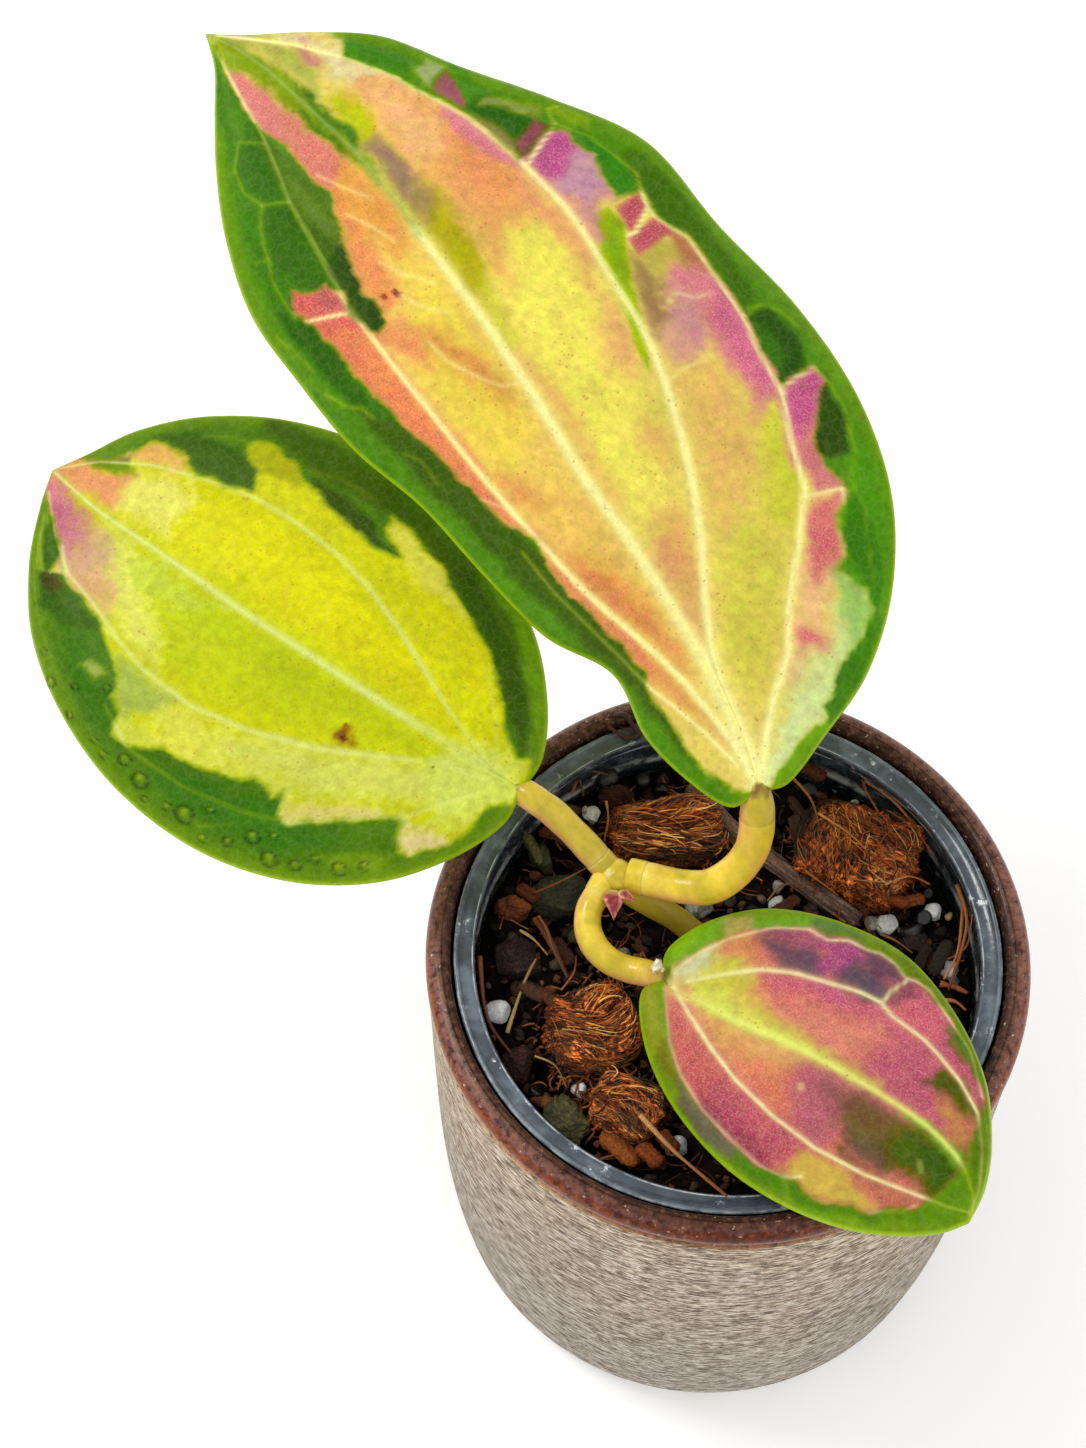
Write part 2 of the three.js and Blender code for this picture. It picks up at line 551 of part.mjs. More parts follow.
// A leaf and the stalk that carries it. The stalk stops a gap short of the leaf's stub.
function addLeaf(name, leaf, rise, stub, path, radius, look) {
  const { base, turn } = bladeFrame(leaf);
  const mesh = addMesh(`leaf_${name}`, geometryOf(leafSolid(leaf, rise, stub, radius)), look);
  mesh.position.copy(base);
  mesh.quaternion.copy(turn);
  const axis = vector(rise).normalize();
  const crown = new THREE.Vector3(0, 0, -BLADE_THICKNESS / 2).applyQuaternion(turn).add(base);
  const nearEnd = crown.clone().addScaledVector(axis, -(stub + 2.5)).toArray();
  const end = crown.clone().addScaledVector(axis, -(stub + GAP)).toArray();
  const stalk = tube([...path, nearEnd, end], radius, STALK_SIDES, STALK_STEPS);
  addMesh(`stalk_${name}`, stalk, material(COLOURS.stalk, 0.5));
}

// The vine's stem, with the swollen node and a short collar for each stalk
function addStem() {
  const collars = [
    { path: STALK_UPPER_PATH, radius: STALK_UPPER_RADIUS },
    { path: STALK_LEFT_PATH, radius: STALK_LEFT_RADIUS },
    { path: STALK_FRONT_PATH, radius: STALK_FRONT_RADIUS },
  ];
  let solid = solidOf(tube(STEM_PATH, STEM_RADIUS, STALK_SIDES, 16));
  solid = solid.add(solidOf(ball(NODE_CENTRE, NODE_RADIUS)));
  for (const collar of collars) {
    const start = vector(collar.path[0]);
    const tangent = new THREE.CatmullRomCurve3(collar.path.map(vector)).getTangent(0);
    const root = start.clone().addScaledVector(tangent, -NODE_RADIUS);
    start.addScaledVector(tangent, -GAP);
    solid = solid.add(solidOf(peg(root, start, collar.radius)));
  }
  addMesh('main_stem', geometryOf(solid), material(COLOURS.stalk, 0.5));
}

function addBud() {
  let solid = null;
  for (const bract of BUD_BRACTS) {
    const axis = vector(bract.to).sub(vector(bract.from));
    const length = axis.length();
    const outline = [[0, 0], [0.75, 0.05], [1, 0.3], [0.8, 0.6], [0.35, 0.85], [0, 1]];
    const profile = outline.map(([r, h]) => new THREE.Vector2(r * bract.radius, h * length));
    const geometry = new THREE.LatheGeometry(profile, 8);
    geometry.applyQuaternion(new THREE.Quaternion()
      .setFromUnitVectors(new THREE.Vector3(0, 1, 0), axis.normalize()));
    geometry.translate(...bract.from);
    solid = solid ? solid.add(solidOf(geometry)) : solidOf(geometry);
  }
  addMesh('growth_bud', geometryOf(solid), material(COLOURS.bud, 0.6));
}

addCoverPot();
addNurseryPot();
addMixAndChunks();
addStem();
addLeaf('upper', UPPER_LEAF, STALK_UPPER_RISE, STUB_UPPER, STALK_UPPER_PATH, STALK_UPPER_RADIUS,
  material(COLOURS.leafYellow, 0.45));
addLeaf('left', LEFT_LEAF, STALK_LEFT_RISE, STUB_LEFT, STALK_LEFT_PATH, STALK_LEFT_RADIUS,
  material(COLOURS.leafGreen, 0.45));
addLeaf('front', FRONT_LEAF, STALK_FRONT_RISE, STUB_FRONT, STALK_FRONT_PATH, STALK_FRONT_RADIUS,
  material(COLOURS.leafPink, 0.45));
addBud();

export default plant;
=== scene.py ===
# Potted wax vine with three variegated leaves, in a smoky nursery pot inside a glazed
# cover pot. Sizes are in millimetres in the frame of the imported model, +Z up, and every
# mesh is written in metres. The order is the order in which the pot was put together.
import math

import bmesh
import bpy
import numpy as np
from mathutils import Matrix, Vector


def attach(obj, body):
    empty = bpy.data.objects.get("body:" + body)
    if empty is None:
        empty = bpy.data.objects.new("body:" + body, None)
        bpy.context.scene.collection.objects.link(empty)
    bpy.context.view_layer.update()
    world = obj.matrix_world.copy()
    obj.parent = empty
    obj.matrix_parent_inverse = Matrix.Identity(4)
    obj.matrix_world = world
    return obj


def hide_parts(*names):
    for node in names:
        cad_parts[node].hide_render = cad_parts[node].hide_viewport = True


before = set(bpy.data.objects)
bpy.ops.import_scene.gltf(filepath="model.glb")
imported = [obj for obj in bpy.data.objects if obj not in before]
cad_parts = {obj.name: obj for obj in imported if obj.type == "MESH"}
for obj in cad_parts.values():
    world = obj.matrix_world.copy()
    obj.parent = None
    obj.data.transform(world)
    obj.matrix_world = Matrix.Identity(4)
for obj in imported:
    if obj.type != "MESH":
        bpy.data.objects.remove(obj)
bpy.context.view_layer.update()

# The camera: a hand-held close view, looking steeply down on the plant from the front.
# It stands half a metre away, so the pot narrows strongly towards its foot.
CAMERA_PLACE = (-29.3, -190.0, 516.4)
CAMERA_ELEVATION = 61.18
CAMERA_LENS = 72.1
FILM_WIDTH = 36
MM = 0.001

camera_data = bpy.data.cameras.new("plant_camera")
camera_data.sensor_width = FILM_WIDTH
camera_data.lens = CAMERA_LENS
camera_data.clip_start = 0.01
camera_data.clip_end = 20
camera = bpy.data.objects.new("plant_camera", camera_data)
camera.location = [value * MM for value in CAMERA_PLACE]
camera.rotation_euler = (math.radians(90 - CAMERA_ELEVATION), 0, 0)
bpy.context.scene.collection.objects.link(camera)
bpy.context.scene.camera = camera

# Cover pot: thrown stoneware, dry and combed with fine level strokes on the outside,
# dipped in brown glaze at the rim. The glaze runs over the round lip and down inside and
# thins to amber at its lower edge. A violet band on the crest is a painted highlight, and
# painted shade darkens and reddens the rim's front.
POT_HEIGHT = 98
POT_RIM_RADIUS = 47.97
POT_NECK_RADIUS = 47.7
POT_FOOT_RADIUS = 44.2
POT_FOOT_ROUND = 8
POT_WALL = 4.1
POT_FLOOR = 6
LIP_RADIUS = 2.6
LIP_INNER_RADIUS = 43.98
LIP_INNER_ROUND = 1.5
LIP_GROOVE = 0.35
POT_SIDES = 200
# The clay runs from a darker grey low down to a lighter cream between these heights
WARM_FROM = 20
WARM_TO = 90
# The glaze is amber at its lower edge and full above
GLAZE_EDGE = 92.4
GLAZE_FULL = 96.4
# Painted shade darkens and reddens the rim's front, fading out between these y
FRONT_EDGE = -49
FRONT_END = -34


def ink(code):
    """A colour written as six hex digits, as linear red, green, blue and a full alpha."""
    shades = [int(code[k:k + 2], 16) / 255 for k in (0, 2, 4)]
    return (*[s / 12.92 if s < 0.04045 else ((s + 0.055) / 1.055) ** 2.4 for s in shades], 1)


def new_finish(name, **settings):
    """A material with its surface shader; settings name the shader's own sockets."""
    finish = bpy.data.materials.new(name)
    finish.use_nodes = True
    shader = finish.node_tree.nodes["Principled BSDF"]
    for key, value in settings.items():
        shader.inputs[key.replace("_", " ").title().replace("Ior", "IOR")].default_value = value
    return finish


def put(finish, kind, sockets=None, **settings):
    """A node of a finish. A socket takes a number, a colour or another node's output."""
    node = finish.node_tree.nodes.new("ShaderNode" + kind)
    for key, value in settings.items():
        setattr(node, key, value)
    for key, value in (sockets or {}).items():
        if isinstance(value, bpy.types.NodeSocket):
            finish.node_tree.links.new(value, node.inputs[key])
        else:
            node.inputs[key].default_value = value
    return node


def feed(finish, **sockets):
    """Links outputs to the surface shader's sockets."""
    shader = finish.node_tree.nodes["Principled BSDF"]
    for key, value in sockets.items():
        finish.node_tree.links.new(value, shader.inputs[key.replace("_", " ").title()])


def noise(finish, place, size, detail=3, roughness=0.55, stretch=(1, 1, 1)):
    """Noise of about the given size in millimetres, drawn out along its axes."""
    scale = [1 / (size * MM * s) for s in stretch]
    mapped = put(finish, "Mapping", {"Vector": place, "Scale": scale})
    node = put(finish, "TexNoise", {"Vector": mapped.outputs[0], "Scale": 1.0,
                                    "Detail": detail, "Roughness": roughness})
    return node.outputs[0]


def shades(finish, factor, stops):
    """A ramp; stops are places with colours or with grey levels."""
    node = put(finish, "ValToRGB", {"Fac": factor})
    marks = node.color_ramp.elements
    while len(marks) < len(stops):
        marks.new(0.5)
    for mark, (place, colour) in zip(marks, stops):
        mark.position = place
    for mark, (place, colour) in zip(marks, stops):
        mark.color = ink(colour) if isinstance(colour, str) else (colour,) * 3 + (1,)
    return node.outputs[0]


def blend(finish, factor, first, second, mode="MIX"):
    """Two colours mixed by a factor."""
    node = put(finish, "MixRGB", {"Fac": factor}, blend_type=mode)
    for key, value in (("Color1", first), ("Color2", second)):
        if isinstance(value, str):
            node.inputs[key].default_value = ink(value)
        else:
            finish.node_tree.links.new(value, node.inputs[key])
    return node.outputs[0]


def sums(finish, operation, first, second, third=0.0):
    """A sum, product or other step between numbers."""
    node = put(finish, "Math", {0: first, 1: second, 2: third}, operation=operation)
    return node.outputs[0]


def relief(finish, height, depth, sharpness):
    """A bump that stands depth millimetres proud where the height is one."""
    node = put(finish, "Bump", {"Height": height, "Distance": depth * MM, "Strength": sharpness})
    feed(finish, normal=node.outputs[0])


def object_place(finish):
    """The place of a point in the model's frame, in metres."""
    return put(finish, "TexCoord").outputs["Object"]


def mark(finish, name):
    """A named mark that the mesh carries at its points."""
    return put(finish, "Attribute", attribute_name=name)


def add_piece(name, points, faces, finishes, stands_for, uses=None, marks=None):
    """A mesh of the object, its points given in millimetres. uses gives each face's finish
    by number, and marks are named values at the points that the finishes read."""
    mesh = bpy.data.meshes.new(name)
    mesh.from_pydata((np.asarray(points, float) * MM).tolist(), [], [list(f) for f in faces])
    for key, values in (marks or {}).items():
        values = np.asarray(values, np.float32)
        if values.ndim == 1:
            mesh.attributes.new(key, "FLOAT", "POINT").data.foreach_set("value", values)
        elif values.shape[1] == 4:
            mesh.attributes.new(key, "FLOAT_COLOR", "POINT").data.foreach_set("color", values.ravel())
        else:
            mesh.attributes.new(key, "FLOAT_VECTOR", "POINT").data.foreach_set("vector", values.ravel())
    for finish in finishes:
        mesh.materials.append(finish)
    mesh.polygons.foreach_set("use_smooth", [True] * len(mesh.polygons))
    if uses is not None:
        mesh.polygons.foreach_set("material_index", np.asarray(uses, np.int32))
    mesh.update()
    piece = bpy.data.objects.new(name, mesh)
    bpy.context.scene.collection.objects.link(piece)
    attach(piece, "root")
    if stands_for:
        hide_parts(*stands_for)
    return piece


def grid_faces(rows, columns, around=False):
    """Four-sided faces between neighbouring points of a grid, its rows closed if around."""
    numbers = np.arange(rows * columns).reshape(rows, columns)
    if around:
        numbers = np.hstack([numbers, numbers[:, :1]])
    corners = (numbers[:-1, :-1], numbers[:-1, 1:], numbers[1:, 1:], numbers[1:, :-1])
    return np.stack(corners, -1).reshape(-1, 4)


def arc(x, z, radius, start, end, steps):
    """Points of a round stretch of a turned profile, angles in degrees."""
    turn = np.radians(np.linspace(start, end, steps + 1))
    return np.stack([x + radius * np.cos(turn), z + radius * np.sin(turn)], 1).tolist()


def turned(profile, sides):
    """Points and faces of a body turned about +Z, from a profile that ends on the axis."""
    ring = np.array(profile[1:-1])
    turn = np.arange(sides) * 2 * np.pi / sides
    body = np.stack([np.outer(ring[:, 0], np.cos(turn)), np.outer(ring[:, 0], np.sin(turn)),
                     np.repeat(ring[:, 1:], sides, 1)], -1).reshape(-1, 3)
    points = np.vstack([body, [[0, 0, profile[0][1]], [0, 0, profile[-1][1]]]])
    faces = grid_faces(len(ring), sides, True).tolist()
    foot, crown, last = len(body), len(body) + 1, len(body) - sides
    for k in range(sides):
        after = (k + 1) % sides
        faces.append((foot, after, k))
        faces.append((crown, last + k, last + after))
    return points, faces


def pot_radius(z):
    """Outer radius of the cover pot: nearly upright, drawn in towards the foot."""
    below = 1 - z / (POT_HEIGHT - 2 * LIP_RADIUS)
    return POT_NECK_RADIUS - (POT_NECK_RADIUS - POT_FOOT_RADIUS) * below ** 5


def clay_finish():
    """Dry stoneware combed with short level strokes, cream on the ridges and brown between."""
    finish = new_finish("combed_stoneware", roughness=0.82, specular_ior_level=0.25)
    place = object_place(finish)
    strokes = noise(finish, place, 0.66, 3, 0.6, (4.4, 4.4, 0.64))
    broken = noise(finish, place, 0.7, 3, 0.7, (1.8, 1.8, 0.55))
    grain = noise(finish, place, 0.3, 2)
    height = sums(finish, "MULTIPLY_ADD", strokes, 0.55, sums(finish, "MULTIPLY", broken, 0.45))
    colour = shades(finish, height, [(0.4, "3a2c20"), (0.45, "7c6854"), (0.49, "b3a18a"),
                                     (0.53, "dccdb8"), (0.57, "fffcf4")])
    rise = put(finish, "SeparateXYZ", {0: place}).outputs[2]
    level = put(finish, "MapRange", {0: rise, 1: WARM_FROM * MM, 2: WARM_TO * MM}).outputs[0]
    toned = sums(finish, "MULTIPLY_ADD", noise(finish, place, 30, 2), 0.5,
                 sums(finish, "MULTIPLY", level, 0.6))
    warmth = shades(finish, toned, [(0.25, "d0d0d0"), (0.6, "ddd7ce"), (0.9, "eee3d2")])
    colour = blend(finish, 1.0, colour, warmth, "MULTIPLY")
    grained = shades(finish, grain, [(0.3, "5c4c3e"), (0.7, "f4ede2")])
    feed(finish, base_color=blend(finish, 0.12, colour, grained))
    relief(finish, height, 0.7, 1)
    return finish


def across_rim(finish, place, inner, outer):
    """How far out a point of a pot's rim lies, from 0 at its inner edge to 1 at its outer."""
    parts = put(finish, "SeparateXYZ", {0: place})
    flat = put(finish, "CombineXYZ", {0: parts.outputs[0], 1: parts.outputs[1]})
    reach = put(finish, "VectorMath", {0: flat.outputs[0]}, operation="LENGTH").outputs["Value"]
    return put(finish, "MapRange", {0: reach, 1: inner * MM, 2: outer * MM}).outputs[0]


def glaze_finish():
    """Brown glaze: dark inside, mottled on the lip, amber where it ends, with a painted violet highlight on
    its crest and painted shade on its front.
    """
    finish = new_finish("brown_glaze", specular_ior_level=0.14, coat_weight=0.1, coat_roughness=0.04)
    place = object_place(finish)
    wander = noise(finish, place, 2.2, 4, 0.65)
    outward = across_rim(finish, place, LIP_INNER_RADIUS, POT_RIM_RADIUS)
    drifted = sums(finish, "MULTIPLY_ADD", wander, 0.5, sums(finish, "SUBTRACT", outward, 0.25))
    # The violet stop on the crest is a painted highlight; the other stops are the glaze's own browns
    base = shades(finish, drifted, [(0.0, "33201a"), (0.3, "5c3c2e"), (0.56, "7a5040"), (0.67, "845848"),
                                    (0.74, "7e5860"), (0.79, "7e442a"), (1.0, "8c4420")])
    parts = put(finish, "SeparateXYZ", {0: place})
    low = put(finish, "MapRange", {0: parts.outputs[2], 1: GLAZE_EDGE * MM,
                                   2: GLAZE_FULL * MM}).outputs[0]
    amber = shades(finish, low, [(0.0, "d8ac74"), (0.16, "a0561e"), (0.3, "6a220a"), (0.4, "8c4418"),
                                 (0.5, "68260c"), (1.0, "6a2c12")])
    colour = blend(finish, shades(finish, low, [(0.45, 1.0), (0.8, 0.0)]), base, amber)
    # Painted shade: the glaze is darkened and reddened towards the rim's front
    front = put(finish, "MapRange", {0: parts.outputs[1], 1: FRONT_EDGE * MM,
                                     2: FRONT_END * MM}).outputs[0]
    painted_front_shade = shades(finish, front, [(0.0, "b49a90"), (1.0, "ffffff")])
    colour = blend(finish, 1.0, colour, painted_front_shade, "MULTIPLY")
    mottle = noise(finish, place, 1.3, 5, 0.7)
    colour = blend(finish, shades(finish, mottle, [(0.38, 0.8), (0.5, 0.0)]), colour, "2c130a")
    colour = blend(finish, shades(finish, mottle, [(0.54, 0.0), (0.66, 0.45)]), colour, "a06c50")
    specks = noise(finish, place, 0.6, 3, 0.6, (1.5, 1.5, 1))
    colour = blend(finish, shades(finish, specks, [(0.66, 0.0), (0.71, 0.8)]), colour, "d8bc98")
    feed(finish, base_color=colour, roughness=shades(finish, mottle, [(0.3, 0.12), (0.7, 0.36)]))
    relief(finish, mottle, 0.22, 0.6)
    return finish


lip_centre = POT_RIM_RADIUS - LIP_RADIUS
neck_height = POT_HEIGHT - 2 * LIP_RADIUS
foot_centre = pot_radius(POT_FOOT_ROUND) - POT_FOOT_ROUND
pot_profile = [[0, 0]] + arc(foot_centre, POT_FOOT_ROUND, POT_FOOT_ROUND, -90, 0, 10)
pot_profile += [[pot_radius(z), z] for z in np.linspace(12, neck_height - 0.4, 30)]
clay_rings = len(pot_profile) - 1
pot_profile += [[POT_NECK_RADIUS - LIP_GROOVE, z] for z in (neck_height, neck_height + 0.3)]
pot_profile += arc(lip_centre, POT_HEIGHT - LIP_RADIUS, LIP_RADIUS, -48, 90, 16)
pot_profile += arc(LIP_INNER_RADIUS + LIP_INNER_ROUND, POT_HEIGHT - LIP_INNER_ROUND, LIP_INNER_ROUND,
                   90, 180, 6)
pot_profile += [[pot_radius(z) - POT_WALL, z] for z in np.linspace(90, 16, 12)]
inner_foot = pot_radius(POT_FLOOR) - POT_WALL
pot_profile += arc(inner_foot - POT_FLOOR, 2 * POT_FLOOR, POT_FLOOR, 0, -90, 6) + [[0, POT_FLOOR]]
pot_points, pot_faces = turned(pot_profile, POT_SIDES)
pot_uses = [0 if max(face) < clay_rings * POT_SIDES or len(pot_points) - 2 in face else 1
            for face in pot_faces]
add_piece("stoneware_pot", pot_points, pot_faces, [clay_finish(), glaze_finish()],
          ("cover_pot",), pot_uses)

# Nursery pot: thin blown smoky plastic, see-through at its edge. Its collar ends in a
# round bead that catches the light, and it carries scuffs and dried splashes. Its colour
# holds painted shade, darkest down the wall and lifting towards the rim, and painted
# highlights along both borders of the rim band. It stands loose in the cover pot, with six
# drain holes in its floor.
GAP = 0.3
LINER_RIM_RADIUS = 43.5
LINER_RIM_TOP = 96.5
LINER_SHOULDER_RADIUS = 41.7
LINER_SHOULDER = LINER_RIM_TOP - 6.5
LINER_FOOT_RADIUS = 33.5
LINER_WALL = 1
LINER_FLOOR = 1.4
LINER_FOOT = POT_FLOOR + GAP
LINER_BEAD = 0.45
LINER_BAND = 3.1
LINER_SHADE_LIFTS = 84
LINER_SIDES = 180
DRAIN_HOLES = 6
DRAIN_RADIUS = 3
DRAIN_RING = 21


def liner_radius(z):
    """Outer radius of the nursery pot's straight tapered wall."""
    share = (z - LINER_FOOT) / (LINER_SHOULDER - LINER_FOOT)
    return LINER_FOOT_RADIUS + (LINER_SHOULDER_RADIUS - LINER_FOOT_RADIUS) * share


def smoky_finish():
    """Smoky grey-blue plastic with milky scuffs, with painted shade that lifts towards its edge and painted
    highlights along both borders of its rim band.
    """
    finish = new_finish("smoky_plastic", specular_ior_level=0.5, coat_weight=0.3, coat_roughness=0.06)
    place = object_place(finish)
    height = put(finish, "SeparateXYZ", {0: place}).outputs[2]
    # Painted shade: darkest down the wall, lifting towards the rim top
    band = put(finish, "MapRange", {0: height, 1: LINER_SHADE_LIFTS * MM, 2: LINER_RIM_TOP * MM}).outputs[0]
    base = shades(finish, band, [(0.0, "0c0f12"), (0.4, "191f24"), (0.7, "272f36"), (0.9, "37424b"),
                                 (0.945, "4a5661"), (0.97, "55626d"), (1.0, "6c7a84")])
    cloudy = noise(finish, place, 5, 4, 0.6, (1, 1, 0.5))
    colour = blend(finish, shades(finish, cloudy, [(0.4, 0.0), (0.65, 0.7)]), base, "2a3138")
    colour = blend(finish, shades(finish, cloudy, [(0.35, 0.3), (0.5, 0.0)]), colour, "8b98a2")
    scuffs = noise(finish, place, 1.5, 4, 0.7, (1.7, 1.7, 0.9))
    patch = noise(finish, place, 6, 2, 0.5)
    white = sums(finish, "MULTIPLY", shades(finish, scuffs, [(0.6, 0.0), (0.65, 1.0)]),
                 shades(finish, patch, [(0.5, 0.0), (0.58, 0.9)]))
    colour = blend(finish, white, colour, "dfe4e4")
    # Painted highlights: white lines along both borders of the rim band
    outward = across_rim(finish, place, LINER_RIM_RADIUS - LINER_BAND, LINER_RIM_RADIUS)
    painted_rim_highlights = shades(finish, outward, [(0.0, 0.0), (0.03, 0.75), (0.09, 0.0), (0.88, 0.0), (0.95, 0.6),
                                     (1.0, 0.35)])
    bright = sums(finish, "MULTIPLY", painted_rim_highlights,
                  shades(finish, noise(finish, place, 3.6, 3, 0.6), [(0.42, 0.1), (0.58, 1.0)]))
    feed(finish, base_color=blend(finish, bright, colour, "eef2f2"),
         roughness=shades(finish, scuffs, [(0.4, 0.16), (0.75, 0.45)]))
    relief(finish, cloudy, 0.4, 0.4)
    return finish


bead = LINER_RIM_RADIUS - LINER_BEAD
liner_profile = [[0, LINER_FOOT]] + arc(LINER_FOOT_RADIUS - 2, LINER_FOOT + 2, 2, -90, 0, 4)
liner_profile += [[liner_radius(z), z] for z in np.linspace(20, LINER_SHOULDER, 8)]
liner_profile += [[LINER_SHOULDER_RADIUS + 0.7, LINER_SHOULDER + 0.6],
                  [LINER_SHOULDER_RADIUS + 0.9, LINER_RIM_TOP - 2]]
liner_profile += arc(bead, LINER_RIM_TOP - LINER_BEAD, LINER_BEAD, -60, 160, 12)
band_end = LINER_RIM_RADIUS - LINER_BAND
liner_profile += [[LINER_RIM_RADIUS - 0.95, LINER_RIM_TOP - 0.42], [band_end + 1, LINER_RIM_TOP - 0.55],
                  [band_end + 0.25, LINER_RIM_TOP - 0.8], [band_end, LINER_RIM_TOP - 0.7],
                  [band_end - 0.2, LINER_RIM_TOP - 0.85], [band_end - 0.3, LINER_RIM_TOP - 1.5],
                  [LINER_SHOULDER_RADIUS - 0.75, LINER_SHOULDER + 1.6],
                  [LINER_SHOULDER_RADIUS - LINER_WALL, LINER_SHOULDER + 0.9]]
liner_profile += [[liner_radius(z) - LINER_WALL, z] for z in np.linspace(LINER_SHOULDER, 20, 8)]
liner_profile += arc(liner_radius(9) - LINER_WALL - 2, LINER_FOOT + LINER_FLOOR + 2, 2, 0, -90, 4)
liner_profile += [[0, LINER_FOOT + LINER_FLOOR]]
liner_points, liner_faces = turned(liner_profile, LINER_SIDES)
liner = add_piece("smoky_nursery_pot", liner_points, liner_faces, [smoky_finish()],
                  ("nursery_pot",))
for k in range(DRAIN_HOLES):
    turn = 2 * math.pi * k / DRAIN_HOLES
    bpy.ops.mesh.primitive_cylinder_add(
        vertices=24, radius=DRAIN_RADIUS * MM, depth=6 * MM,
        location=(DRAIN_RING * MM * math.cos(turn), DRAIN_RING * MM * math.sin(turn), LINER_FOOT * MM))
    drill = bpy.context.object
    cut = liner.modifiers.new("drain", "BOOLEAN")
    cut.operation, cut.object, cut.solver = "DIFFERENCE", drill, "EXACT"
    bpy.context.view_layer.objects.active = liner
    bpy.ops.object.modifier_apply(modifier=cut.name)
    bpy.data.objects.remove(drill)

# Potting mix: a loose dark blend of fine bark, coir and grit, filled to a centimetre
# under the pot's edge. Its top is a crumbly field, blackened in its hollows by painted
# shade, with a heap of separate crumbs and coir strands on it.
MIX_TOP = 86
MIX_RELIEF = 0.8
MIX_RINGS = 118
MIX_SIDES = 300
CRUMBS = 1150
CLEAR_SHARE = 0.86
CRUMB_COLOURS = ("24160e", "2e1b11", "3a2114", "4a2a17", "1a120d", "5b3219", "4d3a24", "33291c", "6b3a1c",
                 "3c2c20", "120d0a", "7a4a2a")
STEM_PATH = [(-17.9, 8.7, 105.3), (-15.3, 7.9, 101.8), (-11.5, 7.3, 97.6), (-8.1, 6.9, 94),
             (-4.5, 5.9, 89.6), (-1.6, 6, 85), (0.4, 6.4, 80), (1.6, 6.8, 74), (2, 7, 66)]
HUSK_CHIPS = [
    {"at": (-8.7, 24.8), "size": (19, 10.6, 11), "turn": 0.06, "square": 4, "lie": "level"},
    {"at": (22.6, 20.7), "size": (19.5, 16, 11), "turn": -0.35, "square": 3, "lie": "tangled"},
    {"at": (-21.4, -10.2), "size": (14.5, 14.6, 11), "turn": 0.3, "square": 3, "lie": "bent"},
    {"at": (-16.3, -23.2), "size": (11.6, 10.2, 9), "turn": -0.4, "square": 3, "lie": "curved"},
]
STONES = [
    {"at": (-26.5, 13.9), "size": (10, 8.4, 7), "turn": 0.3, "square": 2.6},
    {"at": (-25.6, -25), "size": (6, 8.4, 6), "turn": 0.6, "square": 2.6},
    {"at": (-29.6, 21.6), "size": (3.6, 6, 5), "turn": 0.2, "square": 2.6},
    {"at": (-3.9, 12.4), "size": (5.4, 4.2, 4.6), "turn": 0.2, "square": 2.6},
]
BARK_CHIPS = [
    {"at": (-34.6, 12), "size": (5.2, 4.6, 5), "turn": 0.5, "square": 4},
    {"at": (-33.4, 2.7), "size": (6.6, 7.2, 6), "turn": 0.2, "square": 4},
    {"at": (-17, 32.6), "size": (5.4, 4.2, 6), "turn": -0.3, "square": 4},
    {"at": (30.8, 5.6), "size": (4.4, 4.6, 5), "turn": 0.8, "square": 4},
    {"at": (-33, -14.6), "size": (4.8, 6.4, 5), "turn": -0.4, "square": 4},
]
PERLITE = [
    {"at": (9.3, 12.9), "size": 3.2}, {"at": (26.8, 9.5), "size": 4}, {"at": (-21.2, 29.2), "size": 3},
    {"at": (-36.5, -6.1), "size": 4}, {"at": (-23.6, -19.4), "size": 2.6}, {"at": (36, 1.3), "size": 3.6},
    {"at": (34.2, 11.2), "size": 3}, {"at": (-8.4, -28.8), "size": 3.6},
]


def drift(spots, size, seed, layers=2):
    """Soft random swelling from -1 to 1 over spots in a plane, seeded."""
    field = np.random.default_rng(seed).uniform(-1, 1, (128, 128))
    total = np.zeros(len(spots))
    for layer in range(layers):
        place = spots / size * 2 ** layer + 37.3 * layer + 64
        cell = np.floor(place).astype(int)
        part = place - cell
        part = part * part * (3 - 2 * part)
        a, b = cell[:, 0] % 128, cell[:, 1] % 128
        c, d = (a + 1) % 128, (b + 1) % 128
        low = field[a, b] * (1 - part[:, 0]) + field[c, b] * part[:, 0]
        high = field[a, d] * (1 - part[:, 0]) + field[c, d] * part[:, 0]
        total += (low * (1 - part[:, 1]) + high * part[:, 1]) / 2 ** layer
    return total / (2 - 0.5 ** (layers - 1))


def eight_bit(code):
    """The red, green and blue of six hex digits, from 0 to 1, as the eye reads them."""
    return np.array([int(code[k:k + 2], 16) / 255 for k in (0, 2, 4)])


def to_linear(colours):
    """Colours as the eye reads them, turned to linear ones with a full alpha."""
    linear = np.where(colours < 0.04045, colours / 12.92, ((colours + 0.055) / 1.055) ** 2.4)
    return np.hstack([linear, np.ones((len(linear), 1))])


def unit(vector):
    """A vector scaled to a length of one."""
    vector = np.asarray(vector, float)
    return vector / np.linalg.norm(vector)


def mix_top(x, y):
    """Height of the mix's broad, clumpy top."""
    broad = np.sin(0.21 * x + 1.1) * np.cos(0.19 * y - 0.4)
    clumps = np.sin(0.47 * x - 0.31 * y + 2) + np.cos(0.39 * y + 0.44 * x)
    return MIX_TOP + MIX_RELIEF * (broad + 0.6 * clumps)


def crumbly_finish(name, roughness, grain, depth, gloss, spread):
    """A dull finish that takes its colour from the mesh and breaks it up with fine grain."""
    finish = new_finish(name, roughness=roughness, specular_ior_level=gloss)
    place = object_place(finish)
    fine = noise(finish, place, grain, 4, 0.7)
    dim = shades(finish, fine, [(0.32, 1 - spread), (0.5, 0.92), (0.68, 1 + spread)])
    colour = blend(finish, 1.0, mark(finish, "tissue").outputs["Color"], dim, "MULTIPLY")
    feed(finish, base_color=colour)
    relief(finish, fine, depth, 0.9)
    return finish


